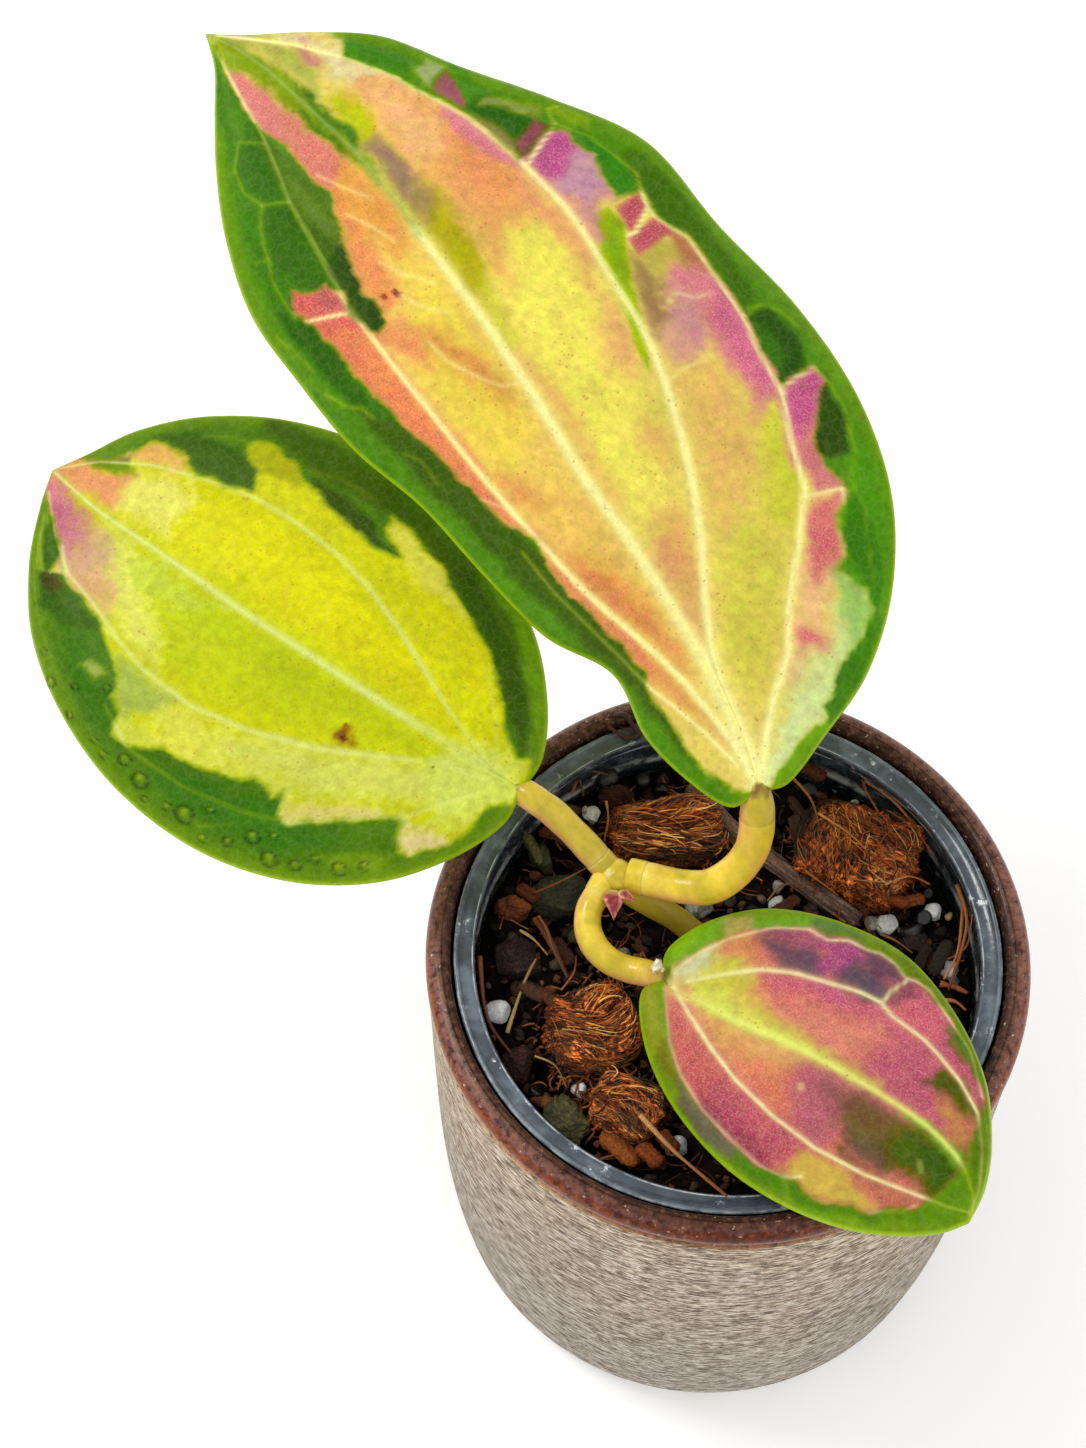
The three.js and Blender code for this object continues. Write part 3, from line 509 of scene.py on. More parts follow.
def frames_along(path):
    """Two crosswise directions at each point of a path, turning as little as they can."""
    ahead = np.gradient(path, axis=0)
    ahead /= np.linalg.norm(ahead, axis=1)[:, None] + 1e-12
    side = unit(np.cross(ahead[0], (0.3, 0.2, 1.0) if abs(ahead[0][2]) < 0.9 else (1.0, 0.2, 0)))
    sides = []
    for direction in ahead:
        side = unit(side - direction * (side @ direction))
        sides.append(side)
    sides = np.array(sides)
    return sides, np.cross(ahead, sides)


def swept(path, radii, around, flat=1.0):
    """Points and faces of a round or flattened body along a path, closed at both ends."""
    path = np.asarray(path, float)
    radii = np.broadcast_to(np.asarray(radii, float), len(path))
    one, other = frames_along(path)
    turn = np.arange(around) * 2 * np.pi / around
    ring = path[:, None] + radii[:, None, None] * (one[:, None] * np.cos(turn)[None, :, None]
                                                   + flat * other[:, None] * np.sin(turn)[None, :, None])
    points = np.vstack([ring.reshape(-1, 3), path[:1], path[-1:]])
    faces = grid_faces(len(path), around, True).tolist()
    foot, end, last = len(points) - 2, len(points) - 1, (len(path) - 1) * around
    for k in range(around):
        after = (k + 1) % around
        faces.append((foot, after, k))
        faces.append((end, last + k, last + after))
    return points, faces


def through(values, share):
    """Points of a smooth curve through evenly spaced values, at shares of its length."""
    values = np.asarray(values, float)
    values = values.reshape(len(values), -1)
    last = len(values) - 1
    place = np.clip(np.asarray(share, float) * last, 0, last)
    cell = np.minimum(place.astype(int), last - 1)
    part = (place - cell)[:, None]
    before, here, after, beyond = [values[np.clip(cell + k, 0, last)] for k in (-1, 0, 1, 2)]
    slope, next_slope = (after - before) / 2, (beyond - here) / 2
    return ((2 * here - 2 * after + slope + next_slope) * part ** 3
            + (3 * after - 3 * here - 2 * slope - next_slope) * part ** 2 + slope * part + here)


def spin(turn):
    """The matrix that turns points about +Z."""
    c, s = math.cos(turn), math.sin(turn)
    return np.array([[c, -s, 0], [s, c, 0], [0, 0, 1]])


def round_stone(detail):
    """Points and faces of an evenly divided ball of radius one."""
    shape = bmesh.new()
    bmesh.ops.create_icosphere(shape, subdivisions=detail, radius=1)
    shape.verts.ensure_lookup_table()
    points = np.array([v.co[:] for v in shape.verts])
    faces = [[v.index for v in f.verts] for f in shape.faces]
    shape.free()
    return points, faces


BALLS = {detail: round_stone(detail) for detail in (1, 2, 3, 4, 5, 6)}


class Heap:
    """Many small bodies gathered into one mesh, each with colours of its own."""

    def __init__(self):
        self.points, self.faces, self.tissue, self.count = [], [], [], 0

    def lay_in(self, points, faces, colours):
        self.points.append(points)
        self.faces += [[k + self.count for k in face] for face in faces]
        self.tissue.append(np.broadcast_to(colours, points.shape))
        self.count += len(points)

    def crumb(self, at, size, colour, rng, cuts=6, detail=2, rough=0.12):
        """A small broken lump: a ball struck flat by a few random planes."""
        ball, faces = BALLS[detail]
        points = ball * (1 + rough * rng.uniform(-1, 1, (len(ball), 1)))
        for _ in range(cuts):
            way, depth = unit(rng.normal(size=3)), rng.uniform(0.45, 0.8)
            points = points - way * np.maximum(points @ way - depth, 0)[:, None]
        points = (points * np.asarray(size) / 2) @ spin(rng.uniform(0, 2 * np.pi)).T + at
        shade = 1 + rng.uniform(-0.25, 0.25, (len(points), 1))
        self.lay_in(points, faces, np.clip(colour * shade, 0, 1))

    def strand(self, path, thick, colour, end_colour, steps, around, flat, taper):
        """A plant fibre along a smooth path, thinner towards its end."""
        share = np.linspace(0, 1, steps)
        line = through(path, share)
        radii = thick / 2 * (1 - taper * share) * (1 + 0.18 * np.sin(9 * share + 40 * thick))
        points, faces = swept(line, radii, around, flat)
        along = np.concatenate([np.repeat(share, around), [0, 1]])[:, None]
        self.lay_in(points, faces, colour * (1 - along) + end_colour * along)

    def piece(self, name, finish, slot, stands_for=(), marks=None):
        return add_piece(name, np.vstack(self.points), self.faces, [finish], stands_for, None,
                         {"tissue": to_linear(np.vstack(self.tissue)), **(marks or {})})


def lump_radius(chunk, away, seed):
    """The rough surface of a chip or stone along unit directions from its middle."""
    state, phases = seed, []
    for _ in range(3):
        state = (state * 16807) % 2147483647
        phases.append(state / 2147483647 * 2 * math.pi)
    power = chunk["square"]
    norm = (np.abs(away) ** power).sum(1) ** (1 / power)
    swell = (1 + 0.05 * np.sin(4 * away[:, 0] + phases[0]) + 0.05 * np.sin(5 * away[:, 1] + phases[1])
             + 0.04 * np.sin(5 * away[:, 2] + phases[2]))
    return away * (swell / norm)[:, None]


def settle(chunk, shape):
    """Sets a chip's shape, given in halves of its size, turned and bedded in the mix."""
    x, y = chunk["at"]
    points = shape * np.array(chunk["size"]) / 2
    lift = chunk["size"][2] * (0.12 if chunk["square"] > 3.5 else 0.14)
    return points @ spin(chunk["turn"]).T + (x, y, mix_top(x, y) + lift)


liner_inside = liner_radius(MIX_TOP - 4) - LINER_WALL - GAP
ring_share = np.linspace(0, 1, MIX_RINGS + 1)[1:]
mix_turn = np.arange(MIX_SIDES) * 2 * np.pi / MIX_SIDES
flat_x = np.outer(ring_share * liner_inside, np.cos(mix_turn))
flat_y = np.outer(ring_share * liner_inside, np.sin(mix_turn))
flat_spots = np.stack([flat_x, flat_y], -1).reshape(-1, 2)
crumble = 1.5 * drift(flat_spots, 3.4, 21, 2) + 0.8 * np.abs(drift(flat_spots, 1.3, 22, 2)) - 1.1
crumble = crumble + 0.5 * drift(flat_spots, 0.8, 23, 1)
mix_height = mix_top(flat_spots[:, 0], flat_spots[:, 1]) + crumble
side_rows = []
mix_foot = LINER_FOOT + LINER_FLOOR + GAP
for z, inset in ((MIX_TOP - 5, 0), (45, 0), (mix_foot + 3, 0), (mix_foot, 3)):
    radius = liner_radius(z) - LINER_WALL - GAP - inset
    side_rows.append(np.stack([radius * np.cos(mix_turn), radius * np.sin(mix_turn),
                               np.full(MIX_SIDES, z)], 1))
mix_points = np.vstack([np.column_stack([flat_spots, mix_height]), *side_rows,
                        [[0, 0, mix_top(0, 0) - 0.8], [0, 0, mix_foot]]])
mix_rows = MIX_RINGS + len(side_rows)
mix_faces = [face[::-1] for face in grid_faces(mix_rows, MIX_SIDES, True).tolist()]
for k in range(MIX_SIDES):
    after = (k + 1) % MIX_SIDES
    mix_faces.append((mix_rows * MIX_SIDES, k, after))
    mix_faces.append((mix_rows * MIX_SIDES + 1, (mix_rows - 1) * MIX_SIDES + after,
                      (mix_rows - 1) * MIX_SIDES + k))
wet = np.clip(0.5 + 0.5 * drift(flat_spots, 4, 24, 3), 0, 1)[:, None]
# Painted shade: the field is darkened in its hollows, down to about a third of its colour
low = np.clip((crumble + 1.6) / 2.6, 0, 1)[:, None]
mix_tissue = (eight_bit("0c0806") * (1 - wet) + eight_bit("35200f") * wet) * (0.35 + 0.65 * low)
mix_tissue = np.vstack([mix_tissue, np.tile(eight_bit("20150e"), (len(mix_points) - len(mix_tissue), 1))])
add_piece("mix_body", mix_points, mix_faces, [crumbly_finish("dark_mix", 0.95, 0.6, 0.6, 0.12, 0.7)],
          ("potting_mix",), None, {"tissue": to_linear(mix_tissue)})


def over_chunks(x, y):
    """Whether a place lies over one of the bigger chips or stones."""
    for chunk in HUSK_CHIPS + STONES + BARK_CHIPS:
        gap = np.array([x, y]) - chunk["at"]
        turn = chunk["turn"]
        local = (gap[0] * math.cos(turn) + gap[1] * math.sin(turn),
                 -gap[0] * math.sin(turn) + gap[1] * math.cos(turn))
        if sum((abs(2 * v / s / CLEAR_SHARE)) ** 2.6 for v, s in zip(local, chunk["size"])) < 1:
            return True
    return any(math.hypot(x - g["at"][0], y - g["at"][1]) < g["size"] * 0.4 for g in PERLITE)


rng = np.random.default_rng(5)
crumbs = Heap()
while crumbs.count < CRUMBS * len(BALLS[2][0]):
    x, y = rng.uniform(-liner_inside, liner_inside, 2)
    size = 0.8 + 2.6 * rng.random() ** 2.2
    if math.hypot(x, y) > liner_inside - size * 0.5 or over_chunks(x, y):
        continue
    shade = eight_bit(CRUMB_COLOURS[int(len(CRUMB_COLOURS) * rng.random() ** 1.3)])
    stretch = np.array([1, rng.uniform(0.5, 1), rng.uniform(0.45, 0.85)]) * size
    crumbs.crumb((x, y, mix_top(x, y) - 0.3 + 0.2 * size * rng.random()), stretch, shade, rng)
ODD_CRUMBS = [
    (-22.3, 29.8, 1.9, "a79c88"), (-21.2, 27.9, 1.5, "8d8578"), (-24.5, 29.8, 3.2, "4a3320"),
    (-24.1, 6.6, 3.0, "56532c"), (-34.3, 6.6, 2.2, "3f3a28"), (36.8, 1.3, 2.6, "7d868c"),
    (37, -0.9, 2.2, "69737a"), (36.9, 10.8, 1.8, "c0a074"), (32.4, 13.3, 1.9, "cfc9c0"),
    (24.2, 9.7, 3.0, "a39a8c"), (9.4, 15.8, 2.6, "8f8f88"), (6.6, 13.8, 2.0, "6c5440"),
    (-30.6, 17.8, 2.4, "6c3a20"), (13.6, 11.2, 2.0, "4c3020"), (-27, 1.6, 3, "4b3a2c"),
    (22.7, 31.8, 1.7, "d8d4cc"), (-12.4, 0.6, 3.6, "54382a"), (-16.4, 3.4, 3.4, "6d6b58"),
]
for x, y, size, shade in ODD_CRUMBS:
    crumbs.crumb((x, y, mix_top(x, y) + 0.3 * size), (size, size * 0.8, size * 0.7),
                 eight_bit(shade), rng, 4, 2, 0.05)
crumbs.piece("loose_crumbs", crumbly_finish("loose_bark_crumbs", 0.8, 0.35, 0.3, 0.35, 0.5), "potting_mix")

# Wet pellets: black glossy lumps of soaked mix, rolled round by watering. They lie in
# the hollows between the chips.
pellets = Heap()
WET_PELLETS = [
    (-18.5, 35.6, 4.6), (30.5, 7.6, 4.8), (32.6, 9.8, 3.0), (-12.6, 36.2, 3.6), (-9.4, 34.2, 3.2),
    (-30.4, -19.6, 2.6), (15.4, 34.4, 3.0), (33.8, 15.2, 2.4), (-38.2, -1.6, 2.0),
]
for x, y, size in WET_PELLETS:
    pellets.crumb((x, y, mix_top(x, y) + 0.25 * size), (size, size * 0.92, size * 0.86),
                  eight_bit("0e0c0c"), rng, 3, 3, 0.03)
pellets.piece("wet_pellets", crumbly_finish("wet_black_pellet", 0.22, 0.8, 0.25, 0.6, 0.5), "potting_mix")

# Coconut husk: cubes cut from the husk, masses of stiff orange-brown fibre that lie in
# layers, frayed where the knife went through. The chips sit loose in the mix. Painted
# shade darkens the fibres low on each chip's sides and the frayed ones on the mix.
FIBRES_A_CHIP = 640
RIM_FIBRES_A_CHIP = 110
FIBRE_STEP = 0.075
HUSK_COLOURS = ("4e1e08", "74300c", "96440f", "b45c18", "cc7022", "dc8834", "eaaa60")


def husk_finish():
    """Pith and packed fibre: fine strands along the mesh's own weave, with painted shade in the gaps between
    them.
    """
    finish = new_finish("husk_pith", roughness=0.6, specular_ior_level=0.35)
    weave = mark(finish, "weave").outputs["Vector"]
    strands = noise(finish, weave, 0.24, 3, 0.6, (1, 7, 1))
    tufts = noise(finish, weave, 0.7, 4, 0.7, (1, 2.6, 1))
    height = sums(finish, "MULTIPLY_ADD", strands, 0.6, sums(finish, "MULTIPLY", tufts, 0.4))
    # Painted shade: the gaps between strands are darkened nearly to black
    dim = shades(finish, height, [(0.4, 0.02), (0.46, 0.3), (0.51, 1.1), (0.57, 2.4), (0.62, 4.0)])
    colour = blend(finish, 1.0, mark(finish, "tissue").outputs["Color"], dim, "MULTIPLY")
    feed(finish, base_color=colour)
    relief(finish, height, 0.9, 1)
    return finish


husk_skin = husk_finish()
fibre_skin = crumbly_finish("husk_fibre", 0.5, 0.4, 0.1, 0.4, 0.25)


def fibre_way(lie, place):
    """The heading in which fibres run at a place on a chip, by how the chip was cut."""
    if lie == "level":
        return 0.1 + 0.3 * math.sin(2.6 * place[1] + 1.7 * place[0])
    if lie == "tangled":
        return 2.3 + 0.6 * math.sin(2.4 * place[0] + 1.5 * place[1])
    if lie == "bent":
        return (-0.62 if place[0] + 0.25 * place[1] < -0.1 else 0.5) + 0.15 * place[1]
    return -0.3 - 0.75 * place[0] + 0.2 * math.sin(5 * place[1])


def husk_chip(number, chunk, seed):
    """A chip's ragged core and the fibres that lie over it in layers and fray at its rim."""
    ball, faces = BALLS[6 if number < 4 else 5]
    rng = np.random.default_rng(seed)
    chunk = {**chunk, "square": 6}
    bulk = lump_radius(chunk, ball, seed)
    swell = 0.14 * drift(ball[:, :2] * 2.6 + ball[:, 2:] * 1.3, 1, seed, 2)
    heading = np.array([fibre_way(chunk["lie"], p) for p in bulk])
    across = -np.sin(heading) * bulk[:, 0] + np.cos(heading) * bulk[:, 1]
    along = np.cos(heading) * bulk[:, 0] + np.sin(heading) * bulk[:, 1]
    strips = drift(np.column_stack([across * 10, along * 2.4]) + 9, 1, seed + 2, 3)
    torn = np.abs(drift(ball[:, :2] * 8 + ball[:, 2:] * 6, 1, seed + 4, 3))
    shape = bulk * (0.95 + swell + 0.13 * strips - 0.16 * torn)[:, None]
    shape[:, 2] = np.minimum(shape[:, 2], 0.78 + 0.12 * strips + 0.5 * swell)
    core = Heap()
    patch = np.clip(0.5 + 0.9 * drift(bulk[:, :2] * 3, 1, seed + 3, 3), 0, 1)[:, None]
    light = eight_bit("d8742a") * (1 - patch) + eight_bit("8a3c10") * patch
    core.lay_in(settle(chunk, shape), faces, light * np.clip(0.85 + 0.7 * strips, 0.3, 1)[:, None])
    weave = np.column_stack([across, along, 0.5 * bulk[:, 2]]) * chunk["size"][0] / 2 * MM
    core.piece(f"husk_core_{number}", husk_skin, "coconut_husk", (f"coco_chip_{number}",), {"weave": weave})
    fibres = Heap()
    loose = 0.4 if chunk["lie"] == "tangled" else 0.13
    for count in range(FIBRES_A_CHIP):
        stray = count % 13 == 0
        way = unit(rng.normal(size=3) * (1, 1, 0.7) + (0, 0, 0.2 if stray else 0.5))
        bump = 1 + 0.14 * drift((way[:2] * 2.6 + way[2] * 1.3)[None], 1, seed, 2)[0]
        place = lump_radius(chunk, way[None], seed)[0] * bump * 0.9
        place[2] = min(place[2], 0.84)
        turn = fibre_way(chunk["lie"], place) + loose * rng.normal() * (3 if stray else 1)
        bend, climb = (1.1 if stray else 0.25) * rng.normal(), rng.uniform(0.02, 0.2 if stray else 0.05)
        line = [place]
        for step in range(rng.integers(5, 9 if stray else 13)):
            ahead = np.array([math.cos(turn), math.sin(turn) * chunk["size"][0] / chunk["size"][1], 0])
            place = place + ahead * FIBRE_STEP
            hugged = lump_radius(chunk, unit(place)[None], seed)[0] * bump * 0.92
            share = min(climb * (step + 1), 1)
            place = place * share + hugged * (1 - share) + (0, 0, 0.04 * climb * step)
            place[2] = min(place[2], 0.86 + climb * step * 0.6)
            turn += bend * 0.3
            if place[2] < 0.1 and len(line) > 2:
                break
            line.append(place)
        shade = eight_bit(HUSK_COLOURS[int(7 * rng.random() ** 0.65)])
        # Painted shade: fibres that start lower on the chip's sides are darker
        shade = shade * np.clip(0.3 + 0.95 * line[0][2], 0.3, 1.1)
        shade = shade * np.clip(0.9 + 1.1 * drift(line[0][None, :2] * 5, 1, seed + 6, 2)[0], 0.3, 1.2)
        line = settle(chunk, np.array(line))
        if np.hypot(line[:, 0], line[:, 1]).max() < liner_inside + 0.8:
            thick = 0.13 + 0.3 * rng.random() ** 2
            fibres.strand(line, thick, shade, np.clip(shade * rng.uniform(0.7, 1.25), 0, 1), 9, 3, 0.8, 0.4)
    for _ in range(RIM_FIBRES_A_CHIP):
        turn = rng.uniform(0, 2 * np.pi)
        outward = np.array([[math.cos(turn), math.sin(turn), 0]])
        edge = lump_radius(chunk, outward, seed)[0] * rng.uniform(0.86, 1.14)
        x, y = settle(chunk, edge)[:2]
        heading, length = turn + chunk["turn"] + 0.8 * rng.normal(), rng.uniform(0.8, 2.8)
        tip = (x + length * math.cos(heading), y + length * math.sin(heading))
        if max(math.hypot(x, y), math.hypot(*tip)) < liner_inside - 0.4:
            low = mix_top(x, y) + rng.uniform(0.3, 2.6)
            # Painted shade: the frayed fibres lying on the mix at the chip's foot are darker
            shade = eight_bit(HUSK_COLOURS[int(6 * rng.random())]) * 0.75
            middle = ((x + tip[0]) / 2 + rng.normal() * 0.4, (y + tip[1]) / 2 + rng.normal() * 0.4,
                      low + rng.uniform(-0.3, 0.7))
            line = [(x, y, low), middle, (*tip, low + rng.uniform(-1.2, 0.4))]
            fibres.strand(line, rng.uniform(0.2, 0.7), shade, shade * 0.8, 6, 4, 0.5, 0.5)
    fibres.piece(f"husk_fibres_{number}", fibre_skin, "coconut_husk")


for k, chunk in enumerate(HUSK_CHIPS):
    husk_chip(k + 1, chunk, 18 + 7 * k)

# Strands and splinters: loose coir fibres and torn slivers of bark that have fallen
# across the top of the mix. Each has its path, its thickness and its colours.
STRANDS = [
    ([(-14.2, -25.9, 92), (-9.4, -31.7, 92.6), (-5.2, -36.5, 94.6), (-1.5, -41, 97.4)],
     0.95, "d9a05a", "7a3a18"),
    ([(-39.4, 1.3, 91.6), (-38.8, -5.6, 90.4), (-37.4, -10, 89), (-33.7, -14.6, 87.6)],
     0.8, "8a4a24", "5a2c14"),
    ([(-30.6, 12.7, 91.4), (-26.6, 14.5, 91.6), (-21.7, 17.4, 91.4)], 0.4, "8a4a24", "a8642e"),
    ([(-33, 6.6, 90), (-30.8, 4.8, 90.4), (-28.5, 2.2, 90)], 0.6, "e8c08a", "a86a34"),
    ([(-30.6, 8.5, 90.4), (-27.9, 3.5, 91.4), (-25.3, -2.3, 91)], 1.5, "7c3e1a", "4a220e"),
    ([(-30, 8.6, 91), (-28.6, 5.6, 92), (-27, 0.4, 91.2)], 0.7, "a8602c", "6a3414"),
    ([(-35, -10.6, 88.4), (-32.4, -2.6, 89.4), (-30.4, 1.4, 90.4)], 0.65, "b09a60", "8a6a3a"),
    ([(20.7, 36.1, 90), (28.5, 28.7, 92.4), (34.5, 19.5, 91)], 0.7, "c88a4a", "a5561f"),
    ([(11.5, 34.6, 91), (14.9, 28.7, 92.6), (16.2, 22.3, 92)], 0.6, "b97838", "7a3a18"),
    ([(15.8, 26.5, 92.6), (20.8, 22.3, 93.2), (23.6, 19.2, 92.8)], 0.5, "d89a54", "a5561f"),
    ([(23.4, 37, 89.6), (24, 31, 92), (25.8, 27, 92)], 0.6, "a5622c", "8a4216"),
    ([(26, 13.4, 92.8), (30, 14.8, 93), (33.4, 13.8, 92)], 0.45, "d08c4c", "a5561f"),
    ([(13.4, 16.6, 91.4), (16.4, 14.2, 91), (18.6, 12.6, 90.4)], 0.5, "b97838", "8a4216"),
    ([(38, 14.2, 91), (38.6, 5.7, 93.6), (35.5, -3.9, 90)], 0.8, "c07a3c", "7a3a18"),
    ([(38.6, 11, 92.4), (37.2, 2.2, 92), (34.8, -2.2, 90.4)], 0.6, "a5561f", "c88a4a"),
    ([(35.6, 1.4, 90), (38.6, 3, 91.6), (39.6, 7.6, 94)], 0.4, "8a4216", "b97838"),
    ([(34.5, -2.2, 88.6), (36.8, -3, 89), (38.6, -4.2, 89.4)], 1.3, "b0602a", "8a4216"),
    ([(33.6, -5, 88.4), (36.4, -5.4, 89), (38.2, -7, 89)], 0.9, "c88a4a", "a5561f"),
    ([(-17.8, 42, 97.4), (-15.7, 41.4, 98.6), (-13.3, 38.4, 96.6)], 1.5, "4a2412", "2a140a"),
    ([(-18.6, 40.2, 97.2), (-15.4, 38.4, 96.8), (-12, 39.2, 97.2)], 1.0, "5a2c14", "3a1c0c"),
    ([(-13.2, 41.4, 97), (-15, 39.6, 97.4), (-17, 40.6, 96.6)], 0.7, "6b3a1c", "3a1c0c"),
    ([(-23.7, 34.6, 90.6), (-21.2, 35, 91.2), (-18.4, 34.4, 91)], 0.5, "a9763e", "6a3414"),
    ([(-24.6, 31.4, 90), (-23.4, 33.6, 91), (-22.6, 31, 90)], 0.6, "8a5628", "5a2c14"),
    ([(-18.9, 29.2, 91.6), (-18.6, 25.5, 92.4), (-19.3, 21.8, 92)], 0.5, "c88a4a", "8a4216"),
    ([(25.3, 6.6, 88.6), (27.8, 5, 89.2), (30.3, 3.1, 88.8)], 0.6, "9a6a3a", "6a3c1c"),
    ([(7.2, 12, 89.6), (9.8, 14.6, 90.2), (14.6, 14.8, 89.6)], 0.4, "9a5c2c", "6a3414"),
    ([(-20.6, -0.6, 89.4), (-18.8, 1.4, 90.6), (-17, 4.8, 90)], 0.5, "7a4a2a", "4a2a17"),
    ([(-22.6, -33, 88.4), (-18.6, -31.6, 89.4), (-13.6, -31.4, 89)], 0.6, "5a2c14", "8a4216"),
    ([(-30.6, -14.4, 88), (-27.4, -16.4, 89), (-25.6, -20, 88.6)], 0.45, "c09860", "7a4a2a"),
    ([(-26.4, -5.4, 93.4), (-24.4, -2.6, 94), (-24, 0.8, 93)], 0.4, "a5622c", "6b2f10"),
]
LOOSE_FIBRES = 230
SPLINTERS = [
    ([(-33.4, 14.8, 89), (-30, 12.4, 89.4)], 2.6, "7a3c20"),
    ([(-34.8, 12.6, 89.6), (-31.4, 10.4, 89.6)], 2.0, "96502c"),
    ([(-32.4, 24.8, 89), (-30.8, 21.4, 89.6), (-29.6, 19, 89)], 1.9, "5c5630"),
    ([(-30, 25, 89), (-27, 24, 89.6), (-24, 22, 89)], 2.2, "6a3420"),
    ([(36.4, 5, 89), (34.8, 2.2, 89.6), (33.2, -0.8, 89)], 2.2, "3a3226"),
    ([(33, 4.6, 88.6), (31, 0.6, 88.6)], 2.0, "2e2118"),
    ([(-27.6, 5.6, 88.8), (-24.6, 1, 89.2)], 2.4, "4a2c18"),
    ([(-33, -2.4, 88.6), (-28.6, -4.8, 89)], 3.0, "4a2e1e"),
    ([(-30, -3.6, 89), (-26.6, -6.4, 89.4)], 2.2, "6a3a20"),
    ([(-14.4, -29.6, 89), (-11, -33, 89)], 3.0, "8a4216"),
    ([(-11, -27.6, 89), (-8.6, -30.8, 89)], 2.6, "7a3a18"),
    ([(-20, -27.6, 88.4), (-14.6, -32.6, 88.6)], 3.4, "a0561e"),
    ([(7.6, 10, 88.6), (12.4, 13, 88.8)], 2.0, "5a2c14"),
    ([(14, 9.8, 88.4), (18.6, 6.8, 88.8)], 1.8, "4a2414"),
    ([(13.4, 37, 90), (17.4, 34, 90.6)], 2.6, "5a2c18"),
    ([(12.2, 27, 90.6), (13, 23, 90)], 2.8, "4a3024"),
    ([(11.4, 30.6, 90.6), (14.6, 25.4, 91)], 1.6, "3a241a"),
    ([(-22, 12.4, 88.8), (-21, 7, 89.4)], 1.6, "56602c"),
    ([(-20.6, 1.6, 88.8), (-17, 2.6, 89)], 2.2, "5c5c4c"),
    ([(29.6, 11.6, 90), (32.6, 12.4, 90)], 2.0, "a0501e"),
    ([(25.6, 12.6, 90.4), (30, 11, 90.4)], 2.4, "8a4216"),
]
strands = Heap()
for path, thick, colour, end_colour in STRANDS:
    strands.strand(path, thick, eight_bit(colour), eight_bit(end_colour), 18, 6, 0.7, 0.45)
for _ in range(LOOSE_FIBRES):
    turn, reach = rng.uniform(0, 2 * np.pi), liner_inside * math.sqrt(rng.random()) * 0.96
    x, y = reach * math.cos(turn), reach * math.sin(turn)
    heading, length = rng.uniform(0, 2 * np.pi), rng.uniform(1.5, 6.5)
    bend = rng.normal() * 0.5
    line = [(x + length * s * math.cos(heading + bend * s), y + length * s * math.sin(heading + bend * s))
            for s in (0, 0.33, 0.67, 1)]
    if max(math.hypot(*spot) for spot in line) < liner_inside - 0.5:
        path = [(a, b, mix_top(a, b) + 0.5 + 0.9 * rng.random()) for a, b in line]
        shade = eight_bit(HUSK_COLOURS[int(6 * rng.random() ** 1.5)])
        strands.strand(path, rng.uniform(0.14, 0.42), shade, shade * 0.8, 8, 4, 0.8, 0.4)
strands.piece("coir_strands", fibre_skin, "coconut_husk")


def plank(heap, path, wide, colour, rng):
    """A broken splinter of bark: a flattened, ridged length with rough ends."""
    share = np.linspace(0, 1, 15)
    line = through(path, share)
    ends = np.clip(np.minimum(share, 1 - share) * 9, 0.5, 1)
    points, faces = swept(line, wide / 2 * ends, 16, 0.62)
    points[:-2] += rng.uniform(-0.07, 0.07, (len(points) - 2, 3)) * wide
    ridges = np.concatenate([np.tile(0.75 + 0.4 * rng.random(16), 15), [0.8, 0.8]])[:, None]
    heap.lay_in(points, faces, np.clip(eight_bit(colour) * ridges, 0, 1))


splinters = Heap()
for path, wide, colour in SPLINTERS:
    plank(splinters, path, wide, colour, rng)
splinters.piece("bark_splinters", crumbly_finish("splintered_bark", 0.85, 0.45, 0.4, 0.25, 0.55), "bark")

# Stones, bark chips and perlite: grey-green grit stones and red-brown bark broken
# square, and white foamed grains, all lying loose in the top of the mix.
STONE_COLOURS = ("3a3a28", "4c4826", "46482a", "8d8d84")
BARK_COLOURS = ("7a3f24", "3c2a26", "4a2a1c", "2e1f18", "3f241a")


def struck(points, rng, cuts, low, high):
    """A rounded shape struck flat by random planes."""
    for _ in range(cuts):
        way, depth = unit(rng.normal(size=3)), rng.uniform(low, high)
        points = points - way * np.maximum(points @ way - depth, 0)[:, None]
    return points


def lay_lump(name, chunk, seed, colour, finish, slot, stands_for, cuts, grain, speckle, split=(7, 7, 5)):
    """One stone or chip in its place, faceted and grained; split tells how close its ridges lie."""
    ball, faces = BALLS[5 if max(chunk["size"]) > 5.5 else 4]
    rng = np.random.default_rng(seed)
    shape = struck(lump_radius(chunk, ball, seed), rng, cuts, 0.72, 0.95)
    rough = drift(shape[:, :2] * split[:2] + shape[:, 2:] * split[2], 1, seed + 2, 3)
    shape = shape * (0.98 + grain * rough[:, None])
    shade = 1 + speckle * drift(shape[:, :2] * 12 + shape[:, 2:] * 9, 1, seed + 3, 3)[:, None]
    shade = shade + 2 * grain * rough[:, None]
    body = Heap()
    body.lay_in(settle(chunk, shape), faces, np.clip(eight_bit(colour) * shade, 0, 1))
    body.piece(name, finish, slot, (stands_for,))


